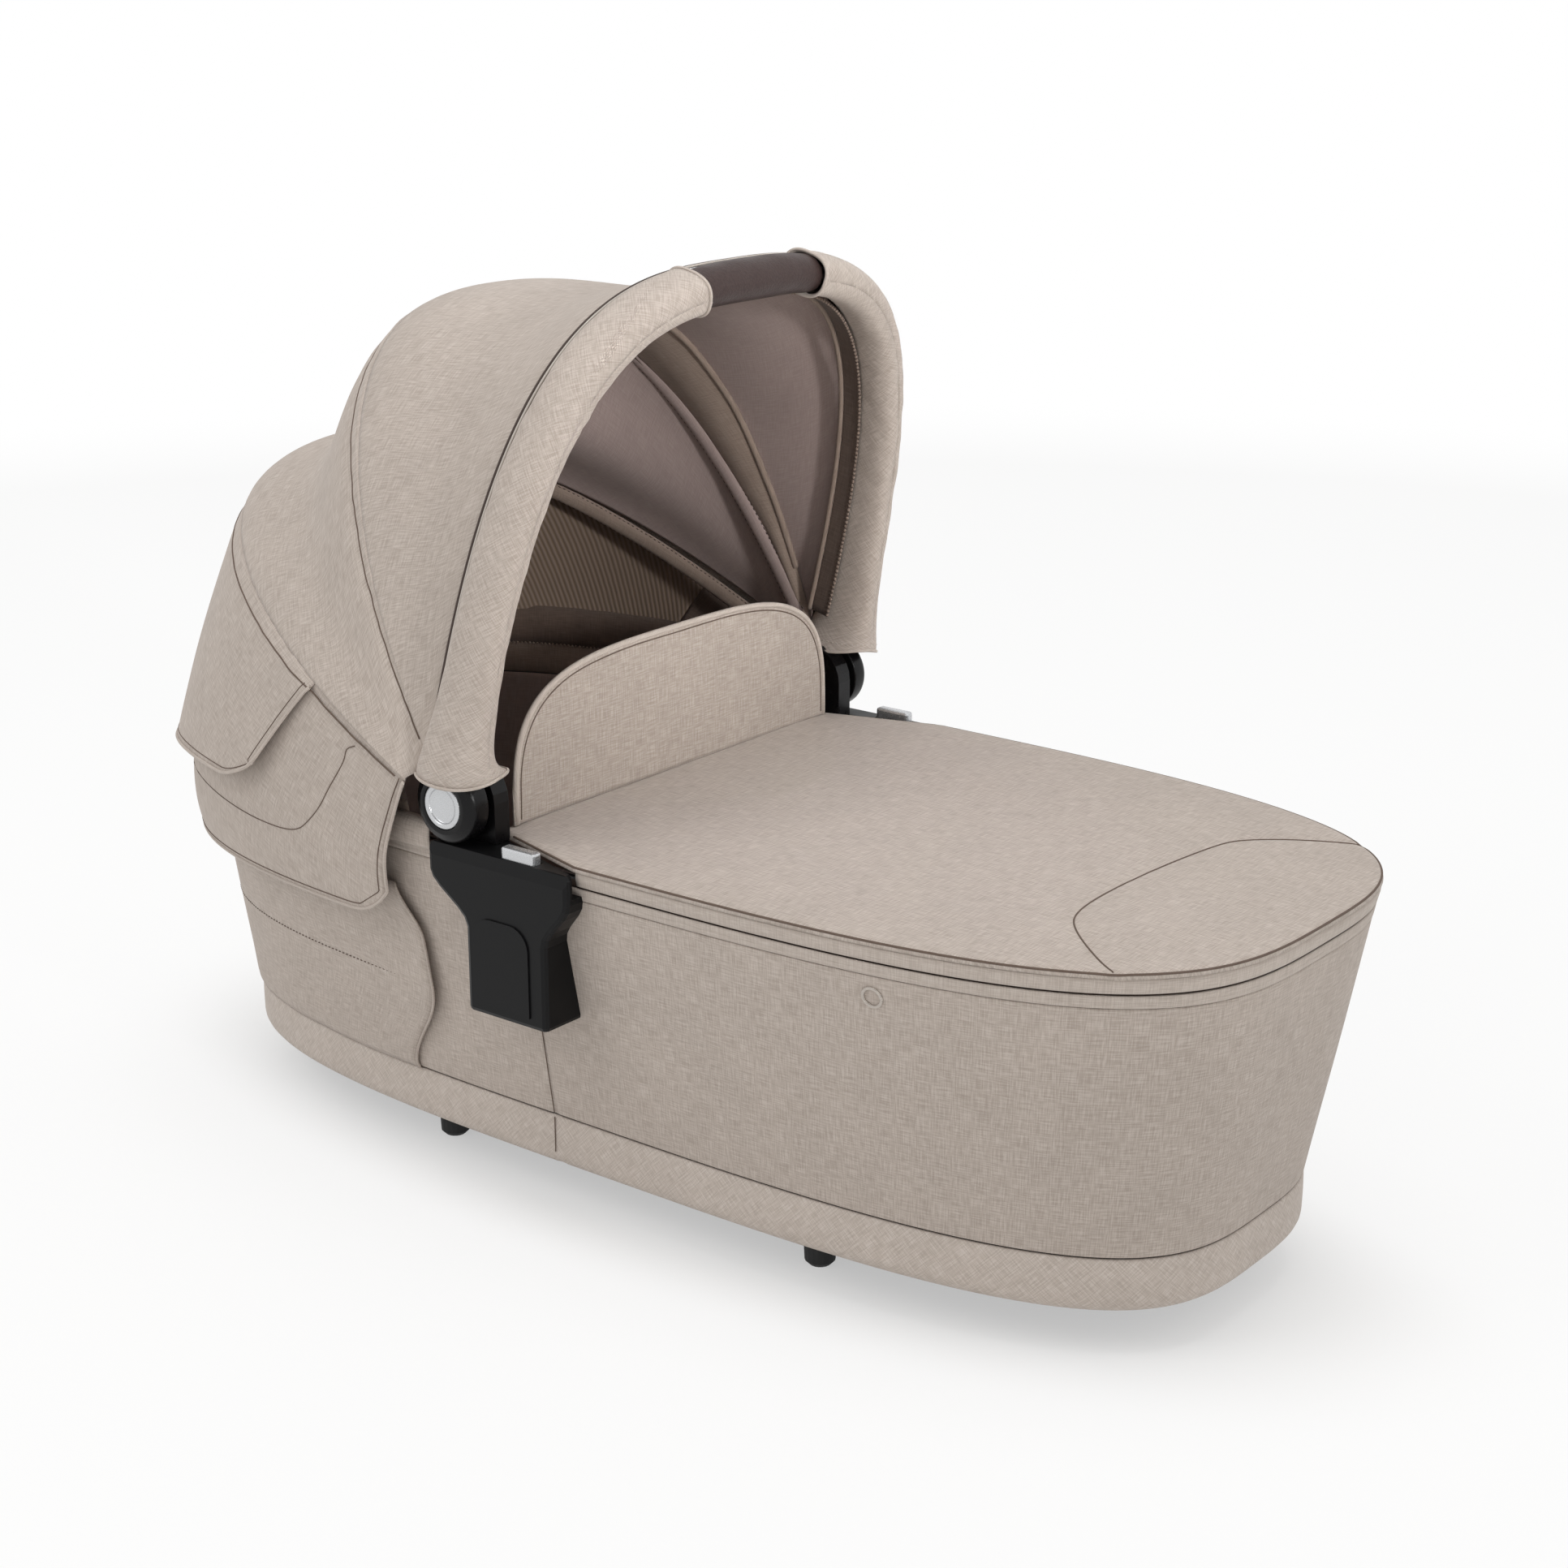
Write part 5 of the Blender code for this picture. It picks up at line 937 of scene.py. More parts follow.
apron_bm = cloth_grid(APRON_COLUMNS, len(APRON_NEAR_ROWS) - 1 + APRON_FAR_ROWS, apron_place, plan=True)
apron_tree = BVHTree.FromBMesh(apron_bm)
sheet_piece("apron_cloth", apron_bm, CLOTH, "stretched", "rim_frame", node="apron",
            inside=Vector((0.2, 0.0, 0.0)))
foot_seam = [apron_tree.ray_cast(Vector((x, y, 1.0)), -Z_AXIS)[0] for x, y in apron_seam]
foot_seam = [point for point in foot_seam if point and point.z > APRON_EDGE_Z + APRON_ROUND * 0.6]
# The foot panel's seam and the apron's edge seam are dark cords of painted seam shade.
cord("foot_panel_seam", foot_seam, SEAM_CORD_BROAD, SEAM_SHADE_THREAD, "shell", step=0.003)
edge_seam = [apron_place(column, APRON_EDGE_SEAM_ROW) for column in range(6, APRON_COLUMNS - 5, 3)]
cord("apron_edge_seam", edge_seam, APRON_EDGE_SEAM_RADIUS, SEAM_SHADE_THREAD, "shell")
band_start = shell_turn(APRON_NOTCH_FRONT_X + 0.001, RIM_Z)
band_columns = round(2 * abs(band_start) * 0.33 / BAND_STEP)
band_turns = even_turns(band_start, -band_start, band_columns, RIM_Z)


def band_place(column, row):
    level, out = BAND_PROFILE[row]
    return shell_point(band_turns[column], level, out)


sheet_piece("apron_band", cloth_grid(band_columns, len(BAND_PROFILE) - 1, band_place), TAPE, "stretched",
            "apron_cloth", slot="piping_tape", thickness=TAPE_THICKNESS)

# Wind flap. A padded flap with a bound edge is sewn across the apron's rear edge and stands up when the
# canopy is open. It folds forwards on to the apron.
FLAP_FRONT_X = -0.0425
FLAP_THICKNESS = 0.0048
FLAP_SHELL = 0.0036
FLAP_HALF_WIDTH = 0.1700
FLAP_HEIGHT = 0.1035
FLAP_FOOT_Z = 0.2783
FLAP_POWER = 3.6
FLAP_COLUMNS = 96
FLAP_ROWS = 30
FLAP_PILLOW = 0.0016
FLAP_RIPPLE = 0.0012
FLAP_BINDING = 0.0021
FLAP_SEAM_INSET = 0.0036
# The flap's colours are a darker copy of the wall cloth's: painted shade on the same cloth.
FLAP_SHADED_COLOUR = ("#A79B91", "#968A80", "#B9AFA6")


def flap_place(column, row):
    y = FLAP_HALF_WIDTH * math.sin(math.pi * (column / FLAP_COLUMNS - 0.5))
    height = FLAP_HEIGHT * max(0.0, 1 - abs(y / FLAP_HALF_WIDTH) ** FLAP_POWER) ** (1 / FLAP_POWER)
    up = row / FLAP_ROWS
    pillow = FLAP_PILLOW * (math.sin(math.pi * up) ** 0.5) * (1 - abs(y / FLAP_HALF_WIDTH) ** 6)
    out = pillow + ripple(FLAP_RIPPLE, y * 18, up * 2.4, 0.7) * up
    return Vector((FLAP_FRONT_X - 0.0014 + out, y, FLAP_FOOT_Z + height * up))


def flap_arch(inset):
    """Pairs of y and z along the flap's free edge, or inside it."""
    for step in range(121):
        y, z = power_curve(math.pi * step / 120, FLAP_HALF_WIDTH - inset, FLAP_HEIGHT - inset, FLAP_POWER)
        yield y, z


flap_bm = cloth_grid(FLAP_COLUMNS, FLAP_ROWS, flap_place)
flap_tree = BVHTree.FromBMesh(flap_bm)
# The flap's cloth carries painted shade: its colours are darker than the same cloth elsewhere.
wind_flap = cloth_piece("wind_flap_pad", flap_bm, woven_cloth("linen_look_polyester_flap_painted_shade", *FLAP_SHADED_COLOUR),
                        FLAP_SHELL, inside=Vector((-0.3, 0.0, 0.33)))
settle(wind_flap, "wind_flap", "linen_cloth", "wind_flap")
flap_edge = [Vector((FLAP_FRONT_X - FLAP_THICKNESS / 2, y, FLAP_FOOT_Z + z)) for y, z in flap_arch(0.0)]
flap_binding_bm = tube(round_stations(flap_edge, FLAP_BINDING, X_AXIS), 12)
flap_binding = link_piece("wind_flap_binding", flap_binding_bm, TAPE)
settle(flap_binding, "wind_flap", "piping_tape")
flap_seam = [flap_tree.ray_cast(Vector((1.0, y, FLAP_FOOT_Z + max(z, 0.003))), -X_AXIS)[0]
             for y, z in flap_arch(FLAP_SEAM_INSET)]
# A dark cord of painted seam shade along the flap's seam.
cord("wind_flap_seam", [point for point in flap_seam if point], SEAM_CORD_RADIUS, SEAM_SHADE_THREAD, "wind_flap",
     aside=X_AXIS)

# Brackets. Each is one injection-moulded glass-filled nylon body, screwed through the wall into the hoop,
# with a socket open below for the pushchair's adapter. Its broad upper edge is polished, its face satin.
BRACKET_BLACK = "#0F0F10"
POST_BLACK = "#0E0D0E"
BRACKET_NYLON = moulded_plastic("moulded_glass_filled_nylon", BRACKET_BLACK, 0.36, shine=0.16)
POST_NYLON = moulded_plastic("moulded_nylon_gloss", POST_BLACK, 0.28, bump=0.06, shine=0.20)
dress(["bracket_right", "bracket_left"], BRACKET_NYLON)
dress(["hub_post_right", "hub_post_left"], POST_NYLON)

# Release buttons. A silver-painted ABS button in the bracket's upper edge pulls the latch beneath it. The
# latch is acetal and the springs are steel wire.
SILVER_CODE = "#C9CACC"
STEEL_CODE = "#B9BABD"


def silver_paint(name, code, roughness, metallic):
    """Aluminium flake paint under lacquer on ABS: bright and soft-edged, with a very fine sparkle."""
    made, tree, shader = start_material(name)
    place = add_node(tree, "TexCoord").outputs["Object"]
    flake = add_node(tree, "TexNoise", {"Vector": place, "Scale": 1600.0, "Detail": 1.0})
    darker = tuple(c * 0.93 for c in linear(code))
    tone = add_node(tree, "Mix", {0: flake, MIX_A: darker, MIX_B: linear(code)}, data_type="RGBA")
    gloss = add_node(tree, "MapRange", {"Value": flake, "From Min": 0.3, "From Max": 0.7,
                                        "To Min": roughness - 0.04, "To Max": roughness + 0.05})
    set_inputs(shader, {"Base Color": tone.outputs[MIX_RESULT], "Roughness": gloss, "Metallic": metallic})
    return made


SILVER_PAINT = silver_paint("silver_painted_abs", SILVER_CODE, 0.28, 0.75)
WIRE_STEEL = silver_paint("drawn_spring_steel", STEEL_CODE, 0.32, 1.0)
dress(["release_button_right", "release_button_left"], SILVER_PAINT)
dress(["release_latch_right", "release_latch_left"], POST_NYLON)
for part in ("release_spring", "hub_spring", "pivot_pin"):
    dress([f"{part}_right", f"{part}_left"], WIRE_STEEL)

# Hubs. A domed nylon drum turns on the post's steel pin and carries the handle. In its middle sits the
# locking button, silver-painted, with a wide rounded rim and a dished centre.
low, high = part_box("hub_button_right")
HUB_X, HUB_Z = (low.x + high.x) / 2, (low.z + high.z) / 2
BUTTON_FACE_Y = -low.y
DRUM_BLACK = "#0C0B0C"
DRUM_INNER_Y = 0.203
DRUM_FACE_Y = 0.220
DRUM_RADIUS = 0.027
DRUM_BACK_ROUND = 0.001
DRUM_DOME_ROUND = 0.0065
DRUM_FACE_RADIUS = 0.0205
DRUM_FACE_ROUND = 0.0012
DRUM_RECESS_DEPTH = 0.0090
DRUM_RECESS_ROUND = 0.0008
BUTTON_RADIUS = 0.0160
BUTTON_DEPTH = 0.0050
BUTTON_RIM = 0.0042
BUTTON_DISH = 0.0014
BUTTON_GAP = 0.0004
HUB_SIDES = 96


def lathe(profile, side):
    """A body turned about the hub axis on one side, from pairs of radius and distance from the middle."""
    bm = bmesh.new()
    verts = [bm.verts.new((HUB_X + radius, side * y, HUB_Z)) for radius, y in profile]
    edges = [bm.edges.new(pair) for pair in zip(verts, verts[1:])]
    bmesh.ops.spin(bm, geom=verts + edges, cent=(HUB_X, 0.0, HUB_Z), axis=(0.0, 1.0, 0.0), angle=2 * math.pi,
                   steps=HUB_SIDES, use_merge=True)
    bmesh.ops.remove_doubles(bm, verts=bm.verts, dist=MERGE_DISTANCE)
    bmesh.ops.recalc_face_normals(bm, faces=bm.faces)
    return bm


def rounded_edge(radius, y, size, first, last, steps):
    """Points of a rounded edge in a profile, by angles from the outward direction."""
    points = []
    for step in range(steps + 1):
        angle = math.radians(first + (last - first) * step / steps)
        points.append((radius + size * math.cos(angle), y + size * math.sin(angle)))
    return points


recess_radius = BUTTON_RADIUS + BUTTON_GAP
drum_profile = [
    (0.0, DRUM_INNER_Y), (DRUM_RADIUS - DRUM_BACK_ROUND, DRUM_INNER_Y),
    *rounded_edge(DRUM_RADIUS - DRUM_BACK_ROUND, DRUM_INNER_Y + DRUM_BACK_ROUND, DRUM_BACK_ROUND, -90, 0, 3),
    *rounded_edge(DRUM_RADIUS - DRUM_DOME_ROUND, DRUM_FACE_Y - 0.0075, DRUM_DOME_ROUND, 0, 62, 8),
    *rounded_edge(DRUM_FACE_RADIUS - DRUM_FACE_ROUND, DRUM_FACE_Y - DRUM_FACE_ROUND, DRUM_FACE_ROUND,
                  62, 90, 3),
    *rounded_edge(recess_radius + DRUM_RECESS_ROUND, DRUM_FACE_Y - DRUM_RECESS_ROUND, DRUM_RECESS_ROUND,
                  90, 180, 4),
    (recess_radius, DRUM_FACE_Y - DRUM_RECESS_DEPTH), (0.0, DRUM_FACE_Y - DRUM_RECESS_DEPTH),
]
rim_middle = BUTTON_RADIUS - BUTTON_RIM / 2
button_profile = [
    (0.0, BUTTON_FACE_Y - BUTTON_DEPTH), (BUTTON_RADIUS - 0.0004, BUTTON_FACE_Y - BUTTON_DEPTH),
    (BUTTON_RADIUS, BUTTON_FACE_Y - 0.0046), (BUTTON_RADIUS, BUTTON_FACE_Y - 0.0019),
]
for step in range(1, 12):
    angle = math.radians(180 * step / 12)
    button_profile.append((rim_middle + BUTTON_RIM / 2 * math.cos(angle),
                           BUTTON_FACE_Y - 0.0017 + 0.0017 * math.sin(angle)))
button_profile += [(BUTTON_RADIUS - BUTTON_RIM - 0.0001, BUTTON_FACE_Y - 0.0019)]
for share in (0.85, 0.6, 0.3, 0.0):
    radius = (BUTTON_RADIUS - BUTTON_RIM - 0.0006) * share
    button_profile.append((radius, BUTTON_FACE_Y - BUTTON_DISH - 0.0010 * (1 - share**2)))
DRUM_NYLON = moulded_plastic("moulded_nylon_drum", DRUM_BLACK, 0.26, bump=0.05, shine=0.20)
for side_name, side in SIDES:
    settle(link_piece(f"drum_{side_name}", lathe(drum_profile, side), DRUM_NYLON), "handle", "black_plastic",
           f"hub_drum_{side_name}")
    settle(link_piece(f"lock_button_{side_name}", lathe(button_profile, side), SILVER_PAINT),
           f"hub_button_{side_name}", "silver_paint", f"hub_button_{side_name}")

# Handle. A flat-oval steel tube is bent into an arch. Its legs are sleeved in the linen-look cloth, cut on
# the bias, with a bound hem that hangs over each drum; the top is a sewn leatherette grip.
HANDLE_LEAN = math.radians(14.8)
SLEEVE_ARCH = {"lean": HANDLE_LEAN, "half_width": 0.2098, "height": 0.3412, "power": 3.15}
GRIP_HALF_LENGTH = 0.0620
GRIP_HALF_DEPTH = 0.0155
GRIP_HALF_THICKNESS = 0.0128
GRIP_SWELL = 0.0010
GRIP_SIDES = 40
GRIP_STEPS = 44
GRIP_SEAM_APART = 0.0022
SLEEVE_SET_BACK = 0.0018
SLEEVE_HALF_DEPTH = 0.0186
SLEEVE_FOOT_HALF_DEPTH = 0.0320
SLEEVE_DEPTH_FADE = 0.045
SLEEVE_HALF_THICKNESS = 0.0118
SLEEVE_TOP_HALF_THICKNESS = 0.0142
SLEEVE_FOOT_HALF_THICKNESS = 0.0205
SLEEVE_FLARE_FADE = 0.016
SLEEVE_OUTER_Y = 0.2268
SLEEVE_OUTER_FADE = 0.05
SLEEVE_OVAL_POWER = 2.6
SLEEVE_SIDES = 56
SLEEVE_STATIONS = 96
SLEEVE_HEM_ROWS = 10
SLEEVE_WRINKLE = 0.0008
HEM_REACH = 0.0165
HEM_OUTER_RISE = 0.0155
HEM_INNER_RISE = 0.0225
HEM_TIP_RISE = 0.0045
TUBE_HALF_DEPTH = 0.0090
TUBE_HALF_THICKNESS = 0.0055
TUBE_STEPS = 120
BINDING_RADIUS = 0.0012
LEATHERETTE_CODE = ("#3F302D", "#312422")
LEATHER_CELL = 0.0016
DARK_THREAD_COLOUR = "#4A3D37"


def directions(lean):
    """The direction up a plane through the hub axis that leans forwards, and the direction off it."""
    return Vector((math.sin(lean), 0.0, math.cos(lean))), Vector((math.cos(lean), 0.0, -math.sin(lean)))


def arch(shape, count, foot=None, ends=None, offset=0.0, out=0.0):
    """Evenly spaced points along an arch in a plane through the hub axis, moved outwards and off the plane.
    It runs between two turns, or from the radius foot on the near side to the same radius on the far side."""
    half_width, height, power = shape["half_width"] + out, shape["height"] + out, shape["power"]
    up, off = directions(shape["lean"])
    if foot:
        first = foot_turn(foot, height, power)
        ends = (first, math.pi - first)
    points = []
    for turn in np.linspace(*ends, DENSE_STEPS):
        y, rise = power_curve(turn, half_width, height, power)
        points.append(Vector((HUB_X, -y, HUB_Z)) + up * rise + off * offset)
    return even_points(points, count)


def foot_turn(foot, height, power):
    """The turn at which an arch has risen to the radius foot above the hub axis."""
    return math.asin((foot / height) ** (power / 2))


def grip_turn(half_length):
    """The turn at which the handle's arch comes that near to the middle."""
    return math.acos((half_length / SLEEVE_ARCH["half_width"]) ** (SLEEVE_ARCH["power"] / 2))


def flat_stations(line, off, depth, thickness):
    """Stations of a flat tube along a line: one half axis lies along off, the other across off and line."""
    return [(point, off * depth, off.cross(direction_at(line, index)) * thickness)
            for index, point in enumerate(line)]


HANDLE_UP, HANDLE_OFF = directions(HANDLE_LEAN)
sleeve_ends = (foot_turn(HEM_REACH, SLEEVE_ARCH["height"], SLEEVE_ARCH["power"]),
               grip_turn(GRIP_HALF_LENGTH - 0.0005))
sleeve_line = arch(SLEEVE_ARCH, SLEEVE_STATIONS, ends=sleeve_ends)


def sleeve_place(column, row, out=0.0):
    """A point of the near sleeve. Facing is 1 on its outer face and -1 on the face towards the middle."""
    share = row / SLEEVE_STATIONS
    point = sleeve_line[row]
    away = HANDLE_OFF.cross(direction_at(sleeve_line, row))
    reach = (point - Vector((HUB_X, point.y, HUB_Z))).dot(HANDLE_UP) - HEM_REACH
    depth = SLEEVE_HALF_DEPTH
    depth += (SLEEVE_FOOT_HALF_DEPTH - SLEEVE_HALF_DEPTH) * math.exp(-reach / SLEEVE_DEPTH_FADE)
    foot = math.exp(-reach / SLEEVE_FLARE_FADE)
    thickness = SLEEVE_HALF_THICKNESS + (SLEEVE_FOOT_HALF_THICKNESS - SLEEVE_HALF_THICKNESS) * foot
    thickness += (SLEEVE_TOP_HALF_THICKNESS - SLEEVE_HALF_THICKNESS) * smooth(share)
    shift = (SLEEVE_OUTER_Y - thickness - SLEEVE_ARCH["half_width"]) * math.exp(-reach / SLEEVE_OUTER_FADE)
    angle = 2 * math.pi * column / SLEEVE_SIDES
    across, outwards = power_curve(angle, depth, thickness, SLEEVE_OVAL_POWER)
    facing = outwards / thickness
    wrinkle = ripple(1.0, angle * 0.9, share * 26, 3.1) * math.sin(math.pi * share)
    bend = max(0.0, -facing) * math.exp(-((share - 0.66) / 0.14) ** 2)
    wrinkle += ripple(1.4, angle * 0.5, share * 60, 8.8) * bend
    swell = SLEEVE_WRINKLE * wrinkle + out
    placed = point + away * (outwards * (1 + swell / thickness) + shift)
    placed += HANDLE_OFF * (across * (1 + swell / depth) - SLEEVE_SET_BACK * smooth(share * 3))
    if row < SLEEVE_HEM_ROWS:
        rise = HEM_OUTER_RISE + (HEM_INNER_RISE - HEM_OUTER_RISE) * smooth(0.5 - facing * 0.5)
        rise += HEM_TIP_RISE * (across / depth) ** 2
        wanted = (rise + across * math.sin(HANDLE_LEAN)) / math.cos(HANDLE_LEAN)
        placed += HANDLE_UP * (wanted - HEM_REACH) * (1 - row / SLEEVE_HEM_ROWS) ** 1.5
    return placed


def leatherette(name, light, dark):
    """Polyurethane leatherette: an embossed pebble grain, satin on the pebbles and darker between them.

    The real grain is about 1 mm across; it is drawn at 1.6 mm so that it shows in the picture.
    """
    made, tree, shader = start_material(name)
    place = add_node(tree, "TexCoord").outputs["Object"]
    pebble = add_node(tree, "TexVoronoi", {"Vector": place, "Scale": 1 / LEATHER_CELL}, feature="F1")
    wear = add_node(tree, "TexNoise", {"Vector": place, "Scale": 60.0, "Detail": 3.0})
    tone = add_node(tree, "Mix", {0: pebble, MIX_A: linear(light), MIX_B: linear(dark)}, data_type="RGBA")
    relief = add_node(tree, "Bump", {"Height": pebble, "Strength": 0.35, "Distance": 0.0005}, invert=True)
    gloss = add_node(tree, "MapRange", {"Value": wear, "From Min": 0.3, "From Max": 0.7, "To Min": 0.42,
                                        "To Max": 0.56})
    set_inputs(shader, {"Base Color": tone.outputs[MIX_RESULT], "Normal": relief, "Roughness": gloss,
                        "Specular IOR Level": 0.3})
    return made


def ring_cord(row, out):
    """A binding round the sleeve at one of its rows."""
    points = [sleeve_place(column, row, out) for column in range(SLEEVE_SIDES + 1)]
    middle = sum(points[1:], Vector()) / SLEEVE_SIDES
    stations = []
    for index, point in enumerate(points[:-1]):
        along = (points[index + 1] - points[index - 1 if index else -2]).normalized()
        first = (point - middle).normalized()
        stations.append((point, first * BINDING_RADIUS, along.cross(first) * BINDING_RADIUS))
    return tube(stations, 8, closed=True)


DARK_THREAD = spun_thread("dark_polyester_thread", DARK_THREAD_COLOUR)
sleeve_stitch = [sleeve_place(column, 2, 0.0002) for column in range(SLEEVE_SIDES + 1)]
for side_name, side in SIDES:
    sleeve_bm = cloth_grid(SLEEVE_SIDES, SLEEVE_STATIONS, sleeve_place, level=True)
    sleeve_pieces = {
        "sleeve": (sleeve_bm, BIAS_CLOTH, "linen_cloth"),
        "sleeve_hem": (ring_cord(0, 0.0002), TAPE, "piping_tape"),
        "sleeve_end": (ring_cord(SLEEVE_STATIONS, 0.0003), TAPE, "piping_tape"),
        "sleeve_stitching": (stitches([sleeve_stitch]), THREAD, "linen_cloth"),
    }
    for name, (bm, finish, slot) in sleeve_pieces.items():
        if side > 0:
            bm = other_side(bm)
        bmesh.ops.recalc_face_normals(bm, faces=bm.faces)
        piece = settle(link_piece(f"{name}_{side_name}", bm, finish), "handle", slot)
        if name == "sleeve":
            thicken(piece, CLOTH_THICKNESS)
            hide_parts(f"handle_sleeve_{side_name}")
            declare_sheet(piece, "handle_tube")

tube_line = arch(SLEEVE_ARCH, TUBE_STEPS, ends=(0.02, math.pi - 0.02))
tube_bm = tube(flat_stations(tube_line, HANDLE_OFF, TUBE_HALF_DEPTH, TUBE_HALF_THICKNESS), 24)
settle(link_piece("steel_tube", tube_bm, silver_paint("zinc_plated_tube", STEEL_CODE, 0.35, 1.0)), "handle",
       "steel", "handle_tube")
grip_ends = (grip_turn(GRIP_HALF_LENGTH), math.pi - grip_turn(GRIP_HALF_LENGTH))
grip_line = arch(SLEEVE_ARCH, GRIP_STEPS, ends=grip_ends, offset=-SLEEVE_SET_BACK)
grip_stations = []
for index, (centre, across, rise) in enumerate(flat_stations(grip_line, HANDLE_OFF, 1.0, 1.0)):
    swell = GRIP_SWELL * math.sin(math.pi * index / GRIP_STEPS)
    grip_stations.append((centre, across * (GRIP_HALF_DEPTH + swell), rise * (GRIP_HALF_THICKNESS + swell)))
settle(link_piece("grip_cover", tube(grip_stations, GRIP_SIDES),
                  leatherette("embossed_leatherette", *LEATHERETTE_CODE)), "handle", "leatherette", "grip")
grip_seams = [[centre - rise * 1.015 + HANDLE_OFF * aside for centre, _, rise in grip_stations[1:-1]]
              for aside in (-GRIP_SEAM_APART, GRIP_SEAM_APART)]
grip_stitching = link_piece("grip_stitching", stitches(grip_seams, spacing=0.0048), DARK_THREAD)
settle(grip_stitching, "handle", "leatherette")

# Canopy bows. Two spring-steel wires pivot on the hub pins, each in a cloth channel sewn to the canopy's
# inside. The channels are the same mauve-brown polyester as the lining.
MID_ARCH = {"lean": math.radians(-29), "half_width": 0.215, "height": 0.347, "power": 2.35}
MID_FOOT = 0.036
MID_CHANNEL_POWER = 2.45
REAR_ARCH = {"lean": math.radians(-62.6), "half_width": 0.226, "height": 0.367, "power": 2.3}
REAR_FOOT = 0.032
REAR_CHANNEL_POWER = 2.4
BOW_HALF_WIDTH = 0.2000
BOW_DROP = 0.0085
BOW_WIRE_RADIUS = 0.0020
BOW_CHANNEL_FOOT = 0.052
BOW_CHANNEL_DEPTH = 0.0066
BOW_CHANNEL_THICKNESS = 0.0036
CANOPY_COLUMNS = 150
INNER_COLOUR = ("#A3918C", "#998883", "#AD9D97")
DARK_COLOUR = ("#8D7C70", "#807065", "#9A8A7E")
BROWN_COLOUR = ("#5A4B42", "#4E4038", "#67574D")
INNER_CLOTH = woven_cloth("brushed_canopy_lining", *INNER_COLOUR, strength=0.6)
DARK_CLOTH = woven_cloth("dark_lining_tape", *DARK_COLOUR, strength=0.6)
BROWN_CLOTH = woven_cloth("brown_lining_border", *BROWN_COLOUR, strength=0.6)


def bow_channel(name, node, shape, power, finish):
    """The cloth channel round one wire bow, with a row of stitches along each edge."""
    off = directions(shape["lean"])[1]
    inner = {**shape, "half_width": BOW_HALF_WIDTH, "height": shape["height"] - BOW_DROP, "power": power}
    points = arch(inner, CANOPY_COLUMNS, BOW_CHANNEL_FOOT)
    stations = flat_stations(points, off, BOW_CHANNEL_DEPTH, -BOW_CHANNEL_THICKNESS)
    edges = [[point + across * side + rise * 0.4 for point, across, rise in stations] for side in (-0.9, 0.9)]
    settle(link_piece(f"{name}_channel", tube(stations, 20), finish), name, "lining_cloth")
    settle(link_piece(f"{name}_stitching", stitches(edges), DARK_THREAD), name, "lining_cloth")
    cord(f"{name}_wire", points, BOW_WIRE_RADIUS, WIRE_STEEL, name, "steel", off, node=node)


bow_channel("mid_bow", "bow_mid", MID_ARCH, MID_CHANNEL_POWER, INNER_CLOTH)
bow_channel("rear_bow", "bow_rear", REAR_ARCH, REAR_CHANNEL_POWER, DARK_CLOTH)

# Canopy panels. The outer cloth is sewn from a front and a rear panel over the bows, pulled taut so that it
# sinks between them; each seam sinks in a little. A mauve-brown lining hangs under each panel.
HANDLE_HEIGHT = 0.341
FRONT_ARCH = {"lean": HANDLE_LEAN, "half_width": 0.2100, "height": 0.3440, "power": 3.2}
FRONT_FOOT = 0.047
FRONT_SET_BACK = -0.0242
FRONT_SAG = 0.0140
FRONT_SKEW = 0.78
REAR_SAG = 0.0300
REAR_SKEW = 1.2
RIDGE_SLOPE = 0.33
FRONT_RIDGE_RUN = 0.060
REAR_RIDGE_RUN = 0.035
MID_SEAM_SHARE = 0.075
REAR_SEAM_DOWN = 0.028
PANEL_ROWS = 40
PANEL_CLOTH_THICKNESS = 0.0014
PANEL_PULL = 0.0012
PANEL_GATHER = 0.0009
GATHER_RUN = 0.016
SEAM_SINK = 0.0015
SEAM_RUN = 0.0045
LINING_DROP = 0.0085
LINING_EXTRA_SAG = 0.006
SLACK_SHARE = 0.30
SLACK_DROP = 0.002
SLACK_SAG = 0.006
SLACK_FOLD = 0.002
SLACK_ROWS = 10
SLACK_START = 8
SLACK_THICKNESS = 0.0010
SLACK_CORD_RADIUS = 0.0026
# Radius of the dark cord of painted shadow at the slack's rear edge.
SLACK_REAR_SHADOW_RADIUS = 0.0016
HUB = Vector((HUB_X, 0.0, HUB_Z))
CANOPY_INSIDE = HUB + Vector((-0.05, 0.0, 0.0))
CANOPY_MIDDLE = HUB + Vector((-0.05, 0.0, 0.12))
FRONT_LEAN = math.atan2(FRONT_SET_BACK, HANDLE_HEIGHT) + HANDLE_LEAN


def drawn_in(point, depth):
    """The point drawn towards the hub axis, least where it is near the axis."""
    away = Vector((point.x - HUB_X, 0.0, point.z - HUB_Z))
    return point - away.normalized() * depth * min(1.0, away.length / REAR_ARCH["height"])


def sunk_in(point, depth):
    """The point moved into the canopy, along the line to the middle of the space under it."""
    return point + (CANOPY_MIDDLE - point).normalized() * depth


def lean_of(point):
    return math.atan2(point.x - HUB_X, point.z - HUB_Z)


def set_shares(piece, share_of):
    shares = [share_of(vert.co) for vert in piece.data.vertices]


def bend_between(piece, leans):
    """Bakes a canopy piece in place and works out, by the angle of each point, its share of the turn between
    two bodies about the hub axis; the shares are not kept.
    """
    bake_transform(piece)
    set_shares(piece, lambda point: (lean_of(point) - leans[0]) / (leans[1] - leans[0]))


def bend_front(piece):
    bend_between(piece, (MID_ARCH["lean"], FRONT_LEAN))


def bend_rear(piece):
    bend_between(piece, (REAR_ARCH["lean"], MID_ARCH["lean"]))


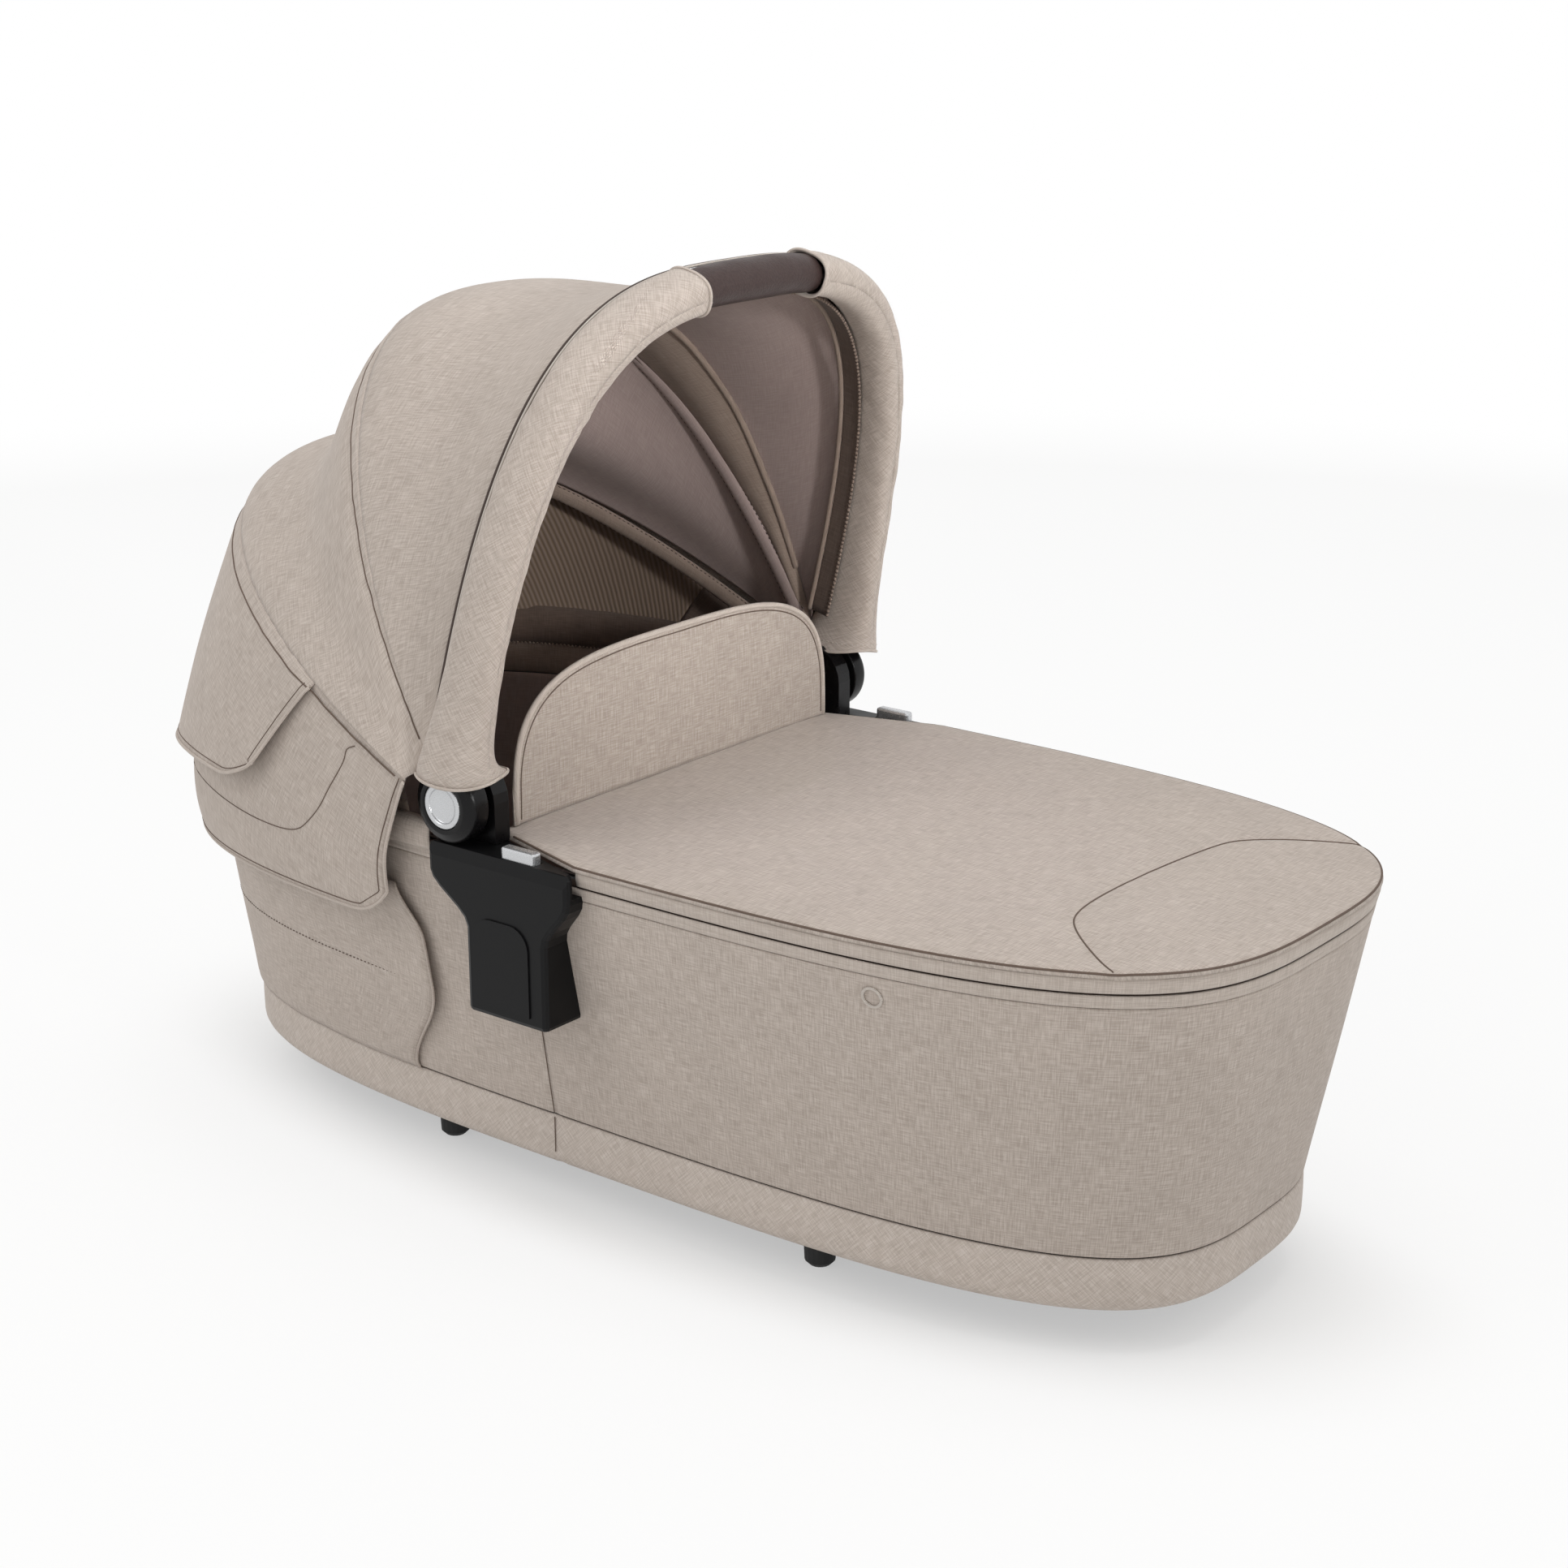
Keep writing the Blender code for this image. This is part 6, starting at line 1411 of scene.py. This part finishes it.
def bent_sheet(name, bm, finish, rests_on, bend, node=None, slot="linen_cloth", inside=CANOPY_INSIDE,
               thickness=PANEL_CLOTH_THICKNESS):
    """A sheet of cloth between two bodies, baked in place by bend."""
    piece = cloth_piece(name, bm, finish, thickness, inside)
    bend(piece)
    settle(piece, None, slot, node)
    declare_sheet(piece, rests_on)


def ridge_bump(distance, run):
    """How far cloth rounds out beyond its straight line, by the distance from the bow that it bends over."""
    fade = math.exp(-distance / run)
    return RIDGE_SLOPE * run * (1 - fade) * fade


def panel_place(first, last, sag, skew, runs, drop=0.0, seed=0.0, seam=0.0):
    """Places a panel between two lines. The runs are how far it takes to round over the bow at each."""
    def place(column, row):
        share = row / PANEL_ROWS
        start, end = first[column], last[column]
        width = (end - start).length
        edge = abs(share - seam) * width
        depth = sag * math.sin(math.pi * share**skew) ** 2
        for run, distance in zip(runs, (share * width, (1 - share) * width)):
            if run:
                depth -= ridge_bump(distance, run)
        point = drawn_in(start.lerp(end, share), depth)
        along = column / CANOPY_COLUMNS
        pull = ripple(PANEL_PULL, along * 16, share * 1.6, seed) * math.sin(math.pi * share) ** 0.5
        gather = ripple(PANEL_GATHER, along * 70, share * 2.0, seed + 5) * math.exp(-edge / GATHER_RUN)
        return sunk_in(point, drop + SEAM_SINK * math.exp(-(edge / SEAM_RUN) ** 1.5) + pull + gather)
    return place


front_line = arch(FRONT_ARCH, CANOPY_COLUMNS, FRONT_FOOT, offset=FRONT_SET_BACK)
mid_line = arch(MID_ARCH, CANOPY_COLUMNS, MID_FOOT)
rear_line = arch(REAR_ARCH, CANOPY_COLUMNS, REAR_FOOT)
front_lines, rear_lines = (front_line, mid_line), (mid_line, rear_line)
front_runs = (0.0, FRONT_RIDGE_RUN)
rear_place = panel_place(*rear_lines, REAR_SAG, REAR_SKEW, (REAR_RIDGE_RUN, REAR_RIDGE_RUN), seed=2.0,
                         seam=MID_SEAM_SHARE)
front_lining_place = panel_place(*front_lines, FRONT_SAG, FRONT_SKEW, front_runs, LINING_DROP, 3.0)
panels = {
    "canopy_front": (panel_place(*front_lines, FRONT_SAG, FRONT_SKEW, front_runs, seed=1.0), CLOTH,
                     "mid_bow_channel", bend_front, "canopy_front_panel", "linen_cloth"),
    "canopy_rear": (rear_place, CLOTH, "mid_bow_channel", bend_rear, "canopy_rear_panel", "linen_cloth"),
    "canopy_front_lining": (front_lining_place, INNER_CLOTH, "mid_bow_channel", bend_front, None,
                            "lining_cloth"),
    "canopy_rear_lining": (panel_place(*rear_lines, REAR_SAG + LINING_EXTRA_SAG, REAR_SKEW, (0.0, 0.0),
                                       LINING_DROP, 4.0),
                           INNER_CLOTH, "rear_bow_channel", bend_rear, None, "lining_cloth"),
}
for name, (place, finish, rests_on, bend, node, slot) in panels.items():
    panel_bm = cloth_grid(CANOPY_COLUMNS, PANEL_ROWS, place)
    bent_sheet(name, panel_bm, finish, rests_on, bend, node, slot)
mid_seam = [rear_place(column, MID_SEAM_SHARE * PANEL_ROWS) for column in range(2, CANOPY_COLUMNS - 1)]
# A dark cord of painted seam shade along the middle seam.
bend_rear(cord("mid_seam", mid_seam, SEAM_CORD_BROAD, SEAM_SHADE_THREAD, None, step=0.003))


def slack_place(column, row):
    """The slack inside the front panel: tan cloth from the middle bow's channel to a fold ahead of it."""
    share = row / SLACK_ROWS
    point = front_lining_place(column, PANEL_ROWS * (1 - SLACK_SHARE * share))
    sag = SLACK_SAG + ripple(SLACK_FOLD, column * 0.05, share * 2.2, 7.0)
    return sunk_in(point, SLACK_DROP + sag * math.sin(math.pi * share))


bent_sheet("canopy_slack", cloth_grid(CANOPY_COLUMNS, SLACK_ROWS, slack_place), DARK_CLOTH,
           "canopy_front_lining", bend_front, slot="lining_cloth", thickness=SLACK_THICKNESS)
slack_columns = range(SLACK_START, CANOPY_COLUMNS - SLACK_START + 1)
# The rear cord is a dark cord along the middle bow's channel: painted shadow in the gap between the lining
# and the channel.
for name, row, radius, finish in (("slack_fold_cord", SLACK_ROWS, SLACK_CORD_RADIUS, DARK_CLOTH),
                                  ("slack_rear_shadow_cord", 0, SLACK_REAR_SHADOW_RADIUS, DARK_THREAD)):
    line = [sunk_in(slack_place(column, row), radius / 2) for column in slack_columns]
    bend_front(cord(name, line, radius, finish, None, "lining_cloth"))

# Canopy front hem. A stiff dark zip tape joins the canopy to the back of the handle's sleeves; a piping cord
# covers the joint outside, light-coloured as a painted highlight, with a dark cord of painted shadow behind
# it, and the zip's coil shows inside the arch.
HEM_SET_BACK = -0.0218
HEM_HALF_WIDTH = 0.0065
HEM_HALF_DEPTH = 0.0014
HEM_DROP = 0.0055
PIPING_FORWARD = -0.0175
PIPING_OUT = 0.0074
PIPING_CORD = 0.0009
JOINT_SHADOW_BEHIND = 0.0026
JOINT_SHADOW_OUT = 0.0062
JOINT_SHADOW_CORD = 0.0012
ZIP_BAND_INSET = 0.0150
ZIP_BAND_REAR = -0.0235
ZIP_BAND_FRONT = -0.0065
ZIP_BAND_ROWS = 6
ZIP_BAND_THICKNESS = 0.0008
ZIP_PIPING_RADIUS = 0.0019
hem_line = arch(FRONT_ARCH, CANOPY_COLUMNS, FRONT_FOOT, offset=HEM_SET_BACK, out=-HEM_DROP)
hem_stations = flat_stations(hem_line, HANDLE_OFF, HEM_HALF_DEPTH, -HEM_HALF_WIDTH)
settle(link_piece("canopy_hem_tape", tube(hem_stations, 16), BROWN_CLOTH), "canopy_front", "piping_tape",
       "canopy_front_hem")
# The piping cord's light thread colour is a painted highlight; the dark joint cord behind it is painted
# shadow.
joint_cords = (("canopy_highlight_piping", PIPING_OUT, PIPING_FORWARD, PIPING_CORD, THREAD),
               ("canopy_joint_shadow", JOINT_SHADOW_OUT, PIPING_FORWARD - JOINT_SHADOW_BEHIND, JOINT_SHADOW_CORD, DARK_THREAD))
for name, out, forward, radius, finish in joint_cords:
    line = arch(SLEEVE_ARCH, CANOPY_COLUMNS, FRONT_FOOT, offset=forward - SLEEVE_SET_BACK, out=out)
    cord(name, line, radius, finish, "canopy_front", "piping_tape", HANDLE_OFF)
coil_line = [point + across * 0.2 + rise * 1.02 for point, across, rise in hem_stations]
coil_bm = stitches([coil_line], spacing=0.0030, length=0.0021, radius=0.0011)
settle(link_piece("canopy_zip_coil", coil_bm, DARK_THREAD), "canopy_front", "zip_tape")


def inner_arch(offset, inset=ZIP_BAND_INSET):
    """Points along the inside of the sleeves and the grip, at a distance from the handle's plane."""
    return arch(SLEEVE_ARCH, CANOPY_COLUMNS, FRONT_FOOT, offset=offset, out=-inset)


zip_lines = [inner_arch(offset) for offset in np.linspace(ZIP_BAND_REAR, ZIP_BAND_FRONT, ZIP_BAND_ROWS + 1)]
zip_band_bm = cloth_grid(CANOPY_COLUMNS, ZIP_BAND_ROWS, lambda column, row: zip_lines[row][column])
sheet_piece("canopy_zip_band", zip_band_bm, BROWN_CLOTH, "stretched", "canopy_front_lining", "canopy_front",
            slot="lining_cloth", thickness=ZIP_BAND_THICKNESS, inside=Vector((HUB_X, 0.0, 3.0)))
cord("canopy_zip_piping", inner_arch(ZIP_BAND_REAR, ZIP_BAND_INSET + 0.001), ZIP_PIPING_RADIUS, DARK_CLOTH,
     "canopy_front", "lining_cloth", HANDLE_OFF)
teeth_bm = stitches([inner_arch(ZIP_BAND_FRONT, ZIP_BAND_INSET + 0.0006)], spacing=0.0034, length=0.0024,
                    radius=0.0012)
settle(link_piece("canopy_zip_teeth", teeth_bm, DARK_CLOTH), "canopy_front", "zip_tape")

# Skirt. A loose apron of the same cloth hangs from the rear bow over the head end, bellies out and is
# turned up in a double-stitched hem; a dark ribbed mesh lines the window behind it.
SKIRT_HEM_Z = 0.2040
SKIRT_HEM_SIDE = 0.0235
SKIRT_HEM_REAR = 0.0171
SKIRT_BELLY_Z = 0.2603
SKIRT_BELLY_SIDE = 0.0140
SKIRT_BELLY_REAR = 0.0330
SKIRT_TAIL_POWER = 0.82
SKIRT_FRONT_X = -0.121
SKIRT_COLUMNS = 220
SKIRT_ROWS = 52
SKIRT_FOLDS = 5
SKIRT_FOLD = 0.0016
SKIRT_SLACK = 0.0018
SKIRT_GATHER = 0.0008
SKIRT_CORNER = 0.020
SKIRT_CORNER_SHARE = 0.030
SKIRT_STITCH_DOWN = 0.965
SKIRT_BINDING_RADIUS = 0.0013
POCKET_LINE = ((0.052, 0.055), (0.0575, 0.09), (0.0535, 0.135), (0.0535, 0.21), (0.055, 0.315),
               (0.056, 0.435), (0.0625, 0.545), (0.069, 0.605), (0.082, 0.637), (0.105, 0.650), (0.135, 0.655), (0.50, 0.665))
MESH_INSET = 0.0075
MESH_EDGE = 0.012
MESH_WINDOW = 0.115
MESH_COLOUR = ("#72614F", "#86756A")
RIB_PITCH = 0.0020
BORDER_COLUMNS = 24
SKIRT_EDGE = shell_turn(SKIRT_FRONT_X, SKIRT_HEM_Z)
SKIRT_INSIDE = HUB + Vector((-0.1, 0.0, 0.0))


def line_at(points, share):
    """The point at a share of an evenly spaced line of points."""
    at = min(max(share, 0.0), 1.0) * (len(points) - 1)
    low = min(int(at), len(points) - 2)
    return points[low].lerp(points[low + 1], at - low)


def moved_out(point, distance):
    """The point moved level, straight away from the upright through the middle of the hub axis."""
    return point + Vector((point.x - HUB_X, point.y, 0.0)).normalized() * distance


def skirt_point(along, down, out=0.0):
    """A point of the skirt, by shares along it and down from the seam on the rear bow to the hem."""
    turn = SKIRT_EDGE - 2 * (SKIRT_EDGE + math.pi) * along
    tail = max(0.0, -math.cos(turn)) ** SKIRT_TAIL_POWER
    belly_out = SKIRT_BELLY_SIDE + (SKIRT_BELLY_REAR - SKIRT_BELLY_SIDE) * tail
    belly = shell_point(turn, RIM_Z, belly_out, SKIRT_BELLY_Z)
    hem = shell_point(turn, SKIRT_HEM_Z, SKIRT_HEM_SIDE + (SKIRT_HEM_REAR - SKIRT_HEM_SIDE) * tail)
    hem.z += SKIRT_CORNER * max(0.0, 1 - min(along, 1 - along) / SKIRT_CORNER_SHARE) ** 3
    point = line_at(rear_line, along) * (1 - down) ** 2 + belly * 2 * down * (1 - down) + hem * down**2
    fold = SKIRT_FOLD * math.sin(SKIRT_FOLDS * math.pi * along) * math.sin(math.pi * down)
    fold += ripple(SKIRT_SLACK, along * 9, down * 2.0, 6.0) * math.sin(math.pi * min(1.0, down * 1.1)) ** 0.7
    fold += ripple(SKIRT_GATHER, along * 60, down * 4, 2.0) * math.exp(-down / 0.10)
    return moved_out(point, fold + out)


def skirt_place(column, row):
    down = row / SKIRT_ROWS
    point = skirt_point(column / SKIRT_COLUMNS, down)
    return sunk_in(point, SEAM_SINK * math.exp(-(abs(down - REAR_SEAM_DOWN) * 0.15 / SEAM_RUN) ** 1.5))


def inner_layer(first, last, columns):
    """The layer behind the skirt, between two shares along it."""
    def place(column, row):
        share = first + (last - first) * column / columns
        return skirt_point(share, 0.03 + 0.93 * row / SKIRT_ROWS, -MESH_INSET)
    return cloth_grid(columns, SKIRT_ROWS, place)


def skirt_share(point):
    """How far down the skirt a point is: none of it at the seam's lean, all of it at the hem's height."""
    away = max(0.0, REAR_ARCH["lean"] - lean_of(point))
    fall = max(0.0, point.z - SKIRT_HEM_Z)
    drop = away * Vector((point.x - HUB_X, point.z - HUB_Z)).length
    return smooth(drop / max(MERGE_DISTANCE, drop + fall))


def bend_down(piece):
    """Bakes the skirt in place and works out each point's share of its drop from its seam on the rear bow to
    its hem at the shell; the shares are not kept.
    """
    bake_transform(piece)
    set_shares(piece, skirt_share)


def ribbed_mesh(name, dark, light):
    """Knitted polyester air mesh with fine diagonal ribs: dark between the ribs and lighter on them."""
    made, tree, shader = start_material(name)
    flat = add_node(tree, "UVMap", uv_map="cloth")
    turned = add_node(tree, "Mapping", {"Vector": flat, "Rotation": (0.0, 0.0, math.radians(38))})
    ribs = add_node(tree, "TexWave", {"Vector": turned, "Scale": 1 / RIB_PITCH / 2 / math.pi,
                                      "Distortion": 0.6, "Detail": 1.0}, wave_type="BANDS").outputs["Fac"]
    tone = add_node(tree, "Mix", {0: ribs, MIX_A: linear(dark), MIX_B: linear(light)}, data_type="RGBA")
    relief = add_node(tree, "Bump", {"Height": ribs, "Strength": 0.5, "Distance": 0.0006})
    set_inputs(shader, {"Base Color": tone.outputs[MIX_RESULT], "Normal": relief, "Roughness": 0.9})
    return made


def skirt_cord(name, line, radius, finish, slot="linen_cloth"):
    bend_down(cord(name, line, radius, finish, None, slot, step=0.003))


bent_sheet("canopy_skirt_cloth", cloth_grid(SKIRT_COLUMNS, SKIRT_ROWS, skirt_place), CLOTH,
           "rear_bow_channel", bend_down, "canopy_skirt", inside=SKIRT_INSIDE)
bent_sheet("canopy_mesh_lining", inner_layer(MESH_WINDOW, 1 - MESH_WINDOW, SKIRT_COLUMNS),
           ribbed_mesh("knitted_air_mesh", *MESH_COLOUR), "rear_bow_channel", bend_down,
           slot="lining_cloth", inside=SKIRT_INSIDE, thickness=CLOTH_THICKNESS)
for side_name, side in SIDES:
    border_bm = inner_layer(MESH_EDGE, MESH_WINDOW, BORDER_COLUMNS)
    if side > 0:
        border_bm = other_side(border_bm)
    bent_sheet(f"mesh_border_{side_name}", border_bm, BROWN_CLOTH, "rear_bow_channel", bend_down,
               slot="lining_cloth", inside=SKIRT_INSIDE, thickness=CLOTH_THICKNESS)
edge_line = [skirt_point(0.0, row / SKIRT_ROWS) for row in range(1, SKIRT_ROWS)]
edge_line += [skirt_point(column / SKIRT_COLUMNS, 1.0) for column in range(SKIRT_COLUMNS + 1)]
edge_line += [skirt_point(1.0, row / SKIRT_ROWS) for row in range(SKIRT_ROWS - 1, 0, -1)]
skirt_cord("skirt_binding", edge_line, SKIRT_BINDING_RADIUS, TAPE)
hem_seam = [skirt_point(0.0045, row / SKIRT_ROWS, 0.0002) for row in range(1, 49)]
hem_seam += [skirt_point(column / SKIRT_COLUMNS, SKIRT_STITCH_DOWN, 0.0002)
             for column in range(4, SKIRT_COLUMNS - 3)]
hem_seam += [skirt_point(0.9955, row / SKIRT_ROWS, 0.0002) for row in range(48, 0, -1)]
# The hem seam and the pocket seam are dark cords of painted seam shade.
skirt_cord("skirt_hem_seam", hem_seam, SEAM_CORD_FINE, SEAM_SHADE_THREAD)
pocket_line = [skirt_point(point.x, point.y, 0.0001) for point in smooth_line(POCKET_LINE, 10)]
pocket_line += [Vector((point.x, -point.y, point.z)) for point in reversed(pocket_line[:-1])]
skirt_cord("skirt_pocket_seam", pocket_line, SEAM_CORD_FINE, SEAM_SHADE_THREAD)

# Head rim band. Inside the head end the canopy is zipped to the rim: a tan binding stands on the rim, and
# above it a dark gathered band carries the zip's nylon coil.
HEAD_BAND_FRONT_X = -0.120
HEAD_BAND_COLUMNS = 260
HEAD_BORDER_PROFILE = ((0.2655, -0.0105), (0.2740, -0.0070), (0.2880, -0.0045))
HEAD_BAND_PROFILE = ((0.2885, -0.0045), (0.2960, -0.0030), (0.3060, 0.0), (0.3180, 0.0030))
HEAD_GATHER = 0.0016
HEAD_COIL_INSET = 0.0012
band_edge = shell_turn(HEAD_BAND_FRONT_X, RIM_Z)
head_turns = even_turns(band_edge, -band_edge - 2 * math.pi, HEAD_BAND_COLUMNS, RIM_Z)


def head_strip(profile, gather):
    def place(column, row):
        level, out = profile[row]
        out += ripple(gather, column * 0.21, row * 0.4, 4.0)
        return shell_point(head_turns[column], RIM_Z, out, level)
    return cloth_grid(HEAD_BAND_COLUMNS, len(profile) - 1, place)


sheet_piece("head_rim_border", head_strip(HEAD_BORDER_PROFILE, 0.0), DARK_CLOTH, "stretched", "rim_frame",
            slot="lining_cloth", inside=SKIRT_INSIDE)
bent_sheet("head_zip_band", head_strip(HEAD_BAND_PROFILE, HEAD_GATHER), BROWN_CLOTH, "rim_frame",
           bend_down, slot="lining_cloth", inside=SKIRT_INSIDE, thickness=CLOTH_THICKNESS)
coil_z, coil_out = HEAD_BAND_PROFILE[0]
head_coil = [shell_point(turn, RIM_Z, coil_out - HEAD_COIL_INSET, coil_z) for turn in head_turns]
head_coil_bm = stitches([head_coil], spacing=0.0034, length=0.0024, radius=0.0011)
settle(link_piece("head_zip_coil", head_coil_bm, DARK_CLOTH), "shell", "zip_tape")

# Vent flap. A second layer of the outer cloth is sewn into the rear bow's seam and hangs over the vent in
# the skirt; its free edge is bound with piping and stands off, so that it throws a shadow.
VENT_FOOT_SHARE = 0.1167
VENT_CORNER_SHARE = 0.1211
VENT_HEM_DOWN = 0.4614
VENT_HEM_TAIL_DOWN = 0.1517
VENT_TOP_LIFT = 0.0026
VENT_HEM_LIFT = 0.0140
VENT_RIPPLE = 0.0012
VENT_ROUND_DOWN = 0.20
VENT_ROUND_SHARE = 0.045
VENT_SEAM_INSET = 0.045
VENT_FLAP_COLUMNS = 240
VENT_FLAP_ROWS = 40


def vent_point(along, down):
    """A point of the flap, as a layer over the skirt that stands off it more and more towards its hem."""
    near = max(0.0, 1 - min(along, 1 - along) / VENT_ROUND_SHARE)
    down *= 1 - VENT_ROUND_DOWN * near**2
    edge = VENT_FOOT_SHARE + (VENT_CORNER_SHARE - VENT_FOOT_SHARE) * down
    drop = VENT_HEM_DOWN + VENT_HEM_TAIL_DOWN * math.sin(math.pi * along)
    lift = VENT_TOP_LIFT * smooth(down * 12) + (VENT_HEM_LIFT - VENT_TOP_LIFT) * down
    lift += ripple(VENT_RIPPLE, along * 10, down * 2, 9.0) * down
    return moved_out(skirt_point(edge + (1 - 2 * edge) * along, down * drop), lift)


def vent_place(column, row):
    return vent_point(column / VENT_FLAP_COLUMNS, row / VENT_FLAP_ROWS)


def vent_line(inset):
    """Points along the flap's free edge, at shares of its size inside it."""
    side = [vent_point(inset * 0.18, row / VENT_FLAP_ROWS) for row in range(2, VENT_FLAP_ROWS - 3)]
    hem = [vent_point(column / VENT_FLAP_COLUMNS, 1.0 - inset) for column in range(1, VENT_FLAP_COLUMNS)]
    return side + hem + [Vector((point.x, -point.y, point.z)) for point in reversed(side)]


bent_sheet("vent_flap_cloth", cloth_grid(VENT_FLAP_COLUMNS, VENT_FLAP_ROWS, vent_place), CLOTH,
           "canopy_skirt_cloth", bend_down, "vent_flap", inside=SKIRT_INSIDE)
seam_line = []
for column in range(2, SKIRT_COLUMNS - 1):
    along = column / SKIRT_COLUMNS
    over = (along - VENT_FOOT_SHARE) / (1 - 2 * VENT_FOOT_SHARE)
    if 0.0 < over < 1.0:
        seam_line.append(vent_point(over, REAR_SEAM_DOWN / VENT_HEM_DOWN))
    else:
        seam_line.append(skirt_point(along, REAR_SEAM_DOWN))
# The rear seam is a dark cord of painted seam shade.
skirt_cord("rear_seam", seam_line, SEAM_CORD_BROAD, SEAM_SHADE_THREAD)
skirt_cord("vent_flap_binding", vent_line(0.0), SKIRT_BINDING_RADIUS, TAPE, "piping_tape")
# The vent flap's seam is a dark cord of painted seam shade.
skirt_cord("vent_flap_seam", vent_line(VENT_SEAM_INSET), SEAM_CORD_FINE, SEAM_SHADE_THREAD)
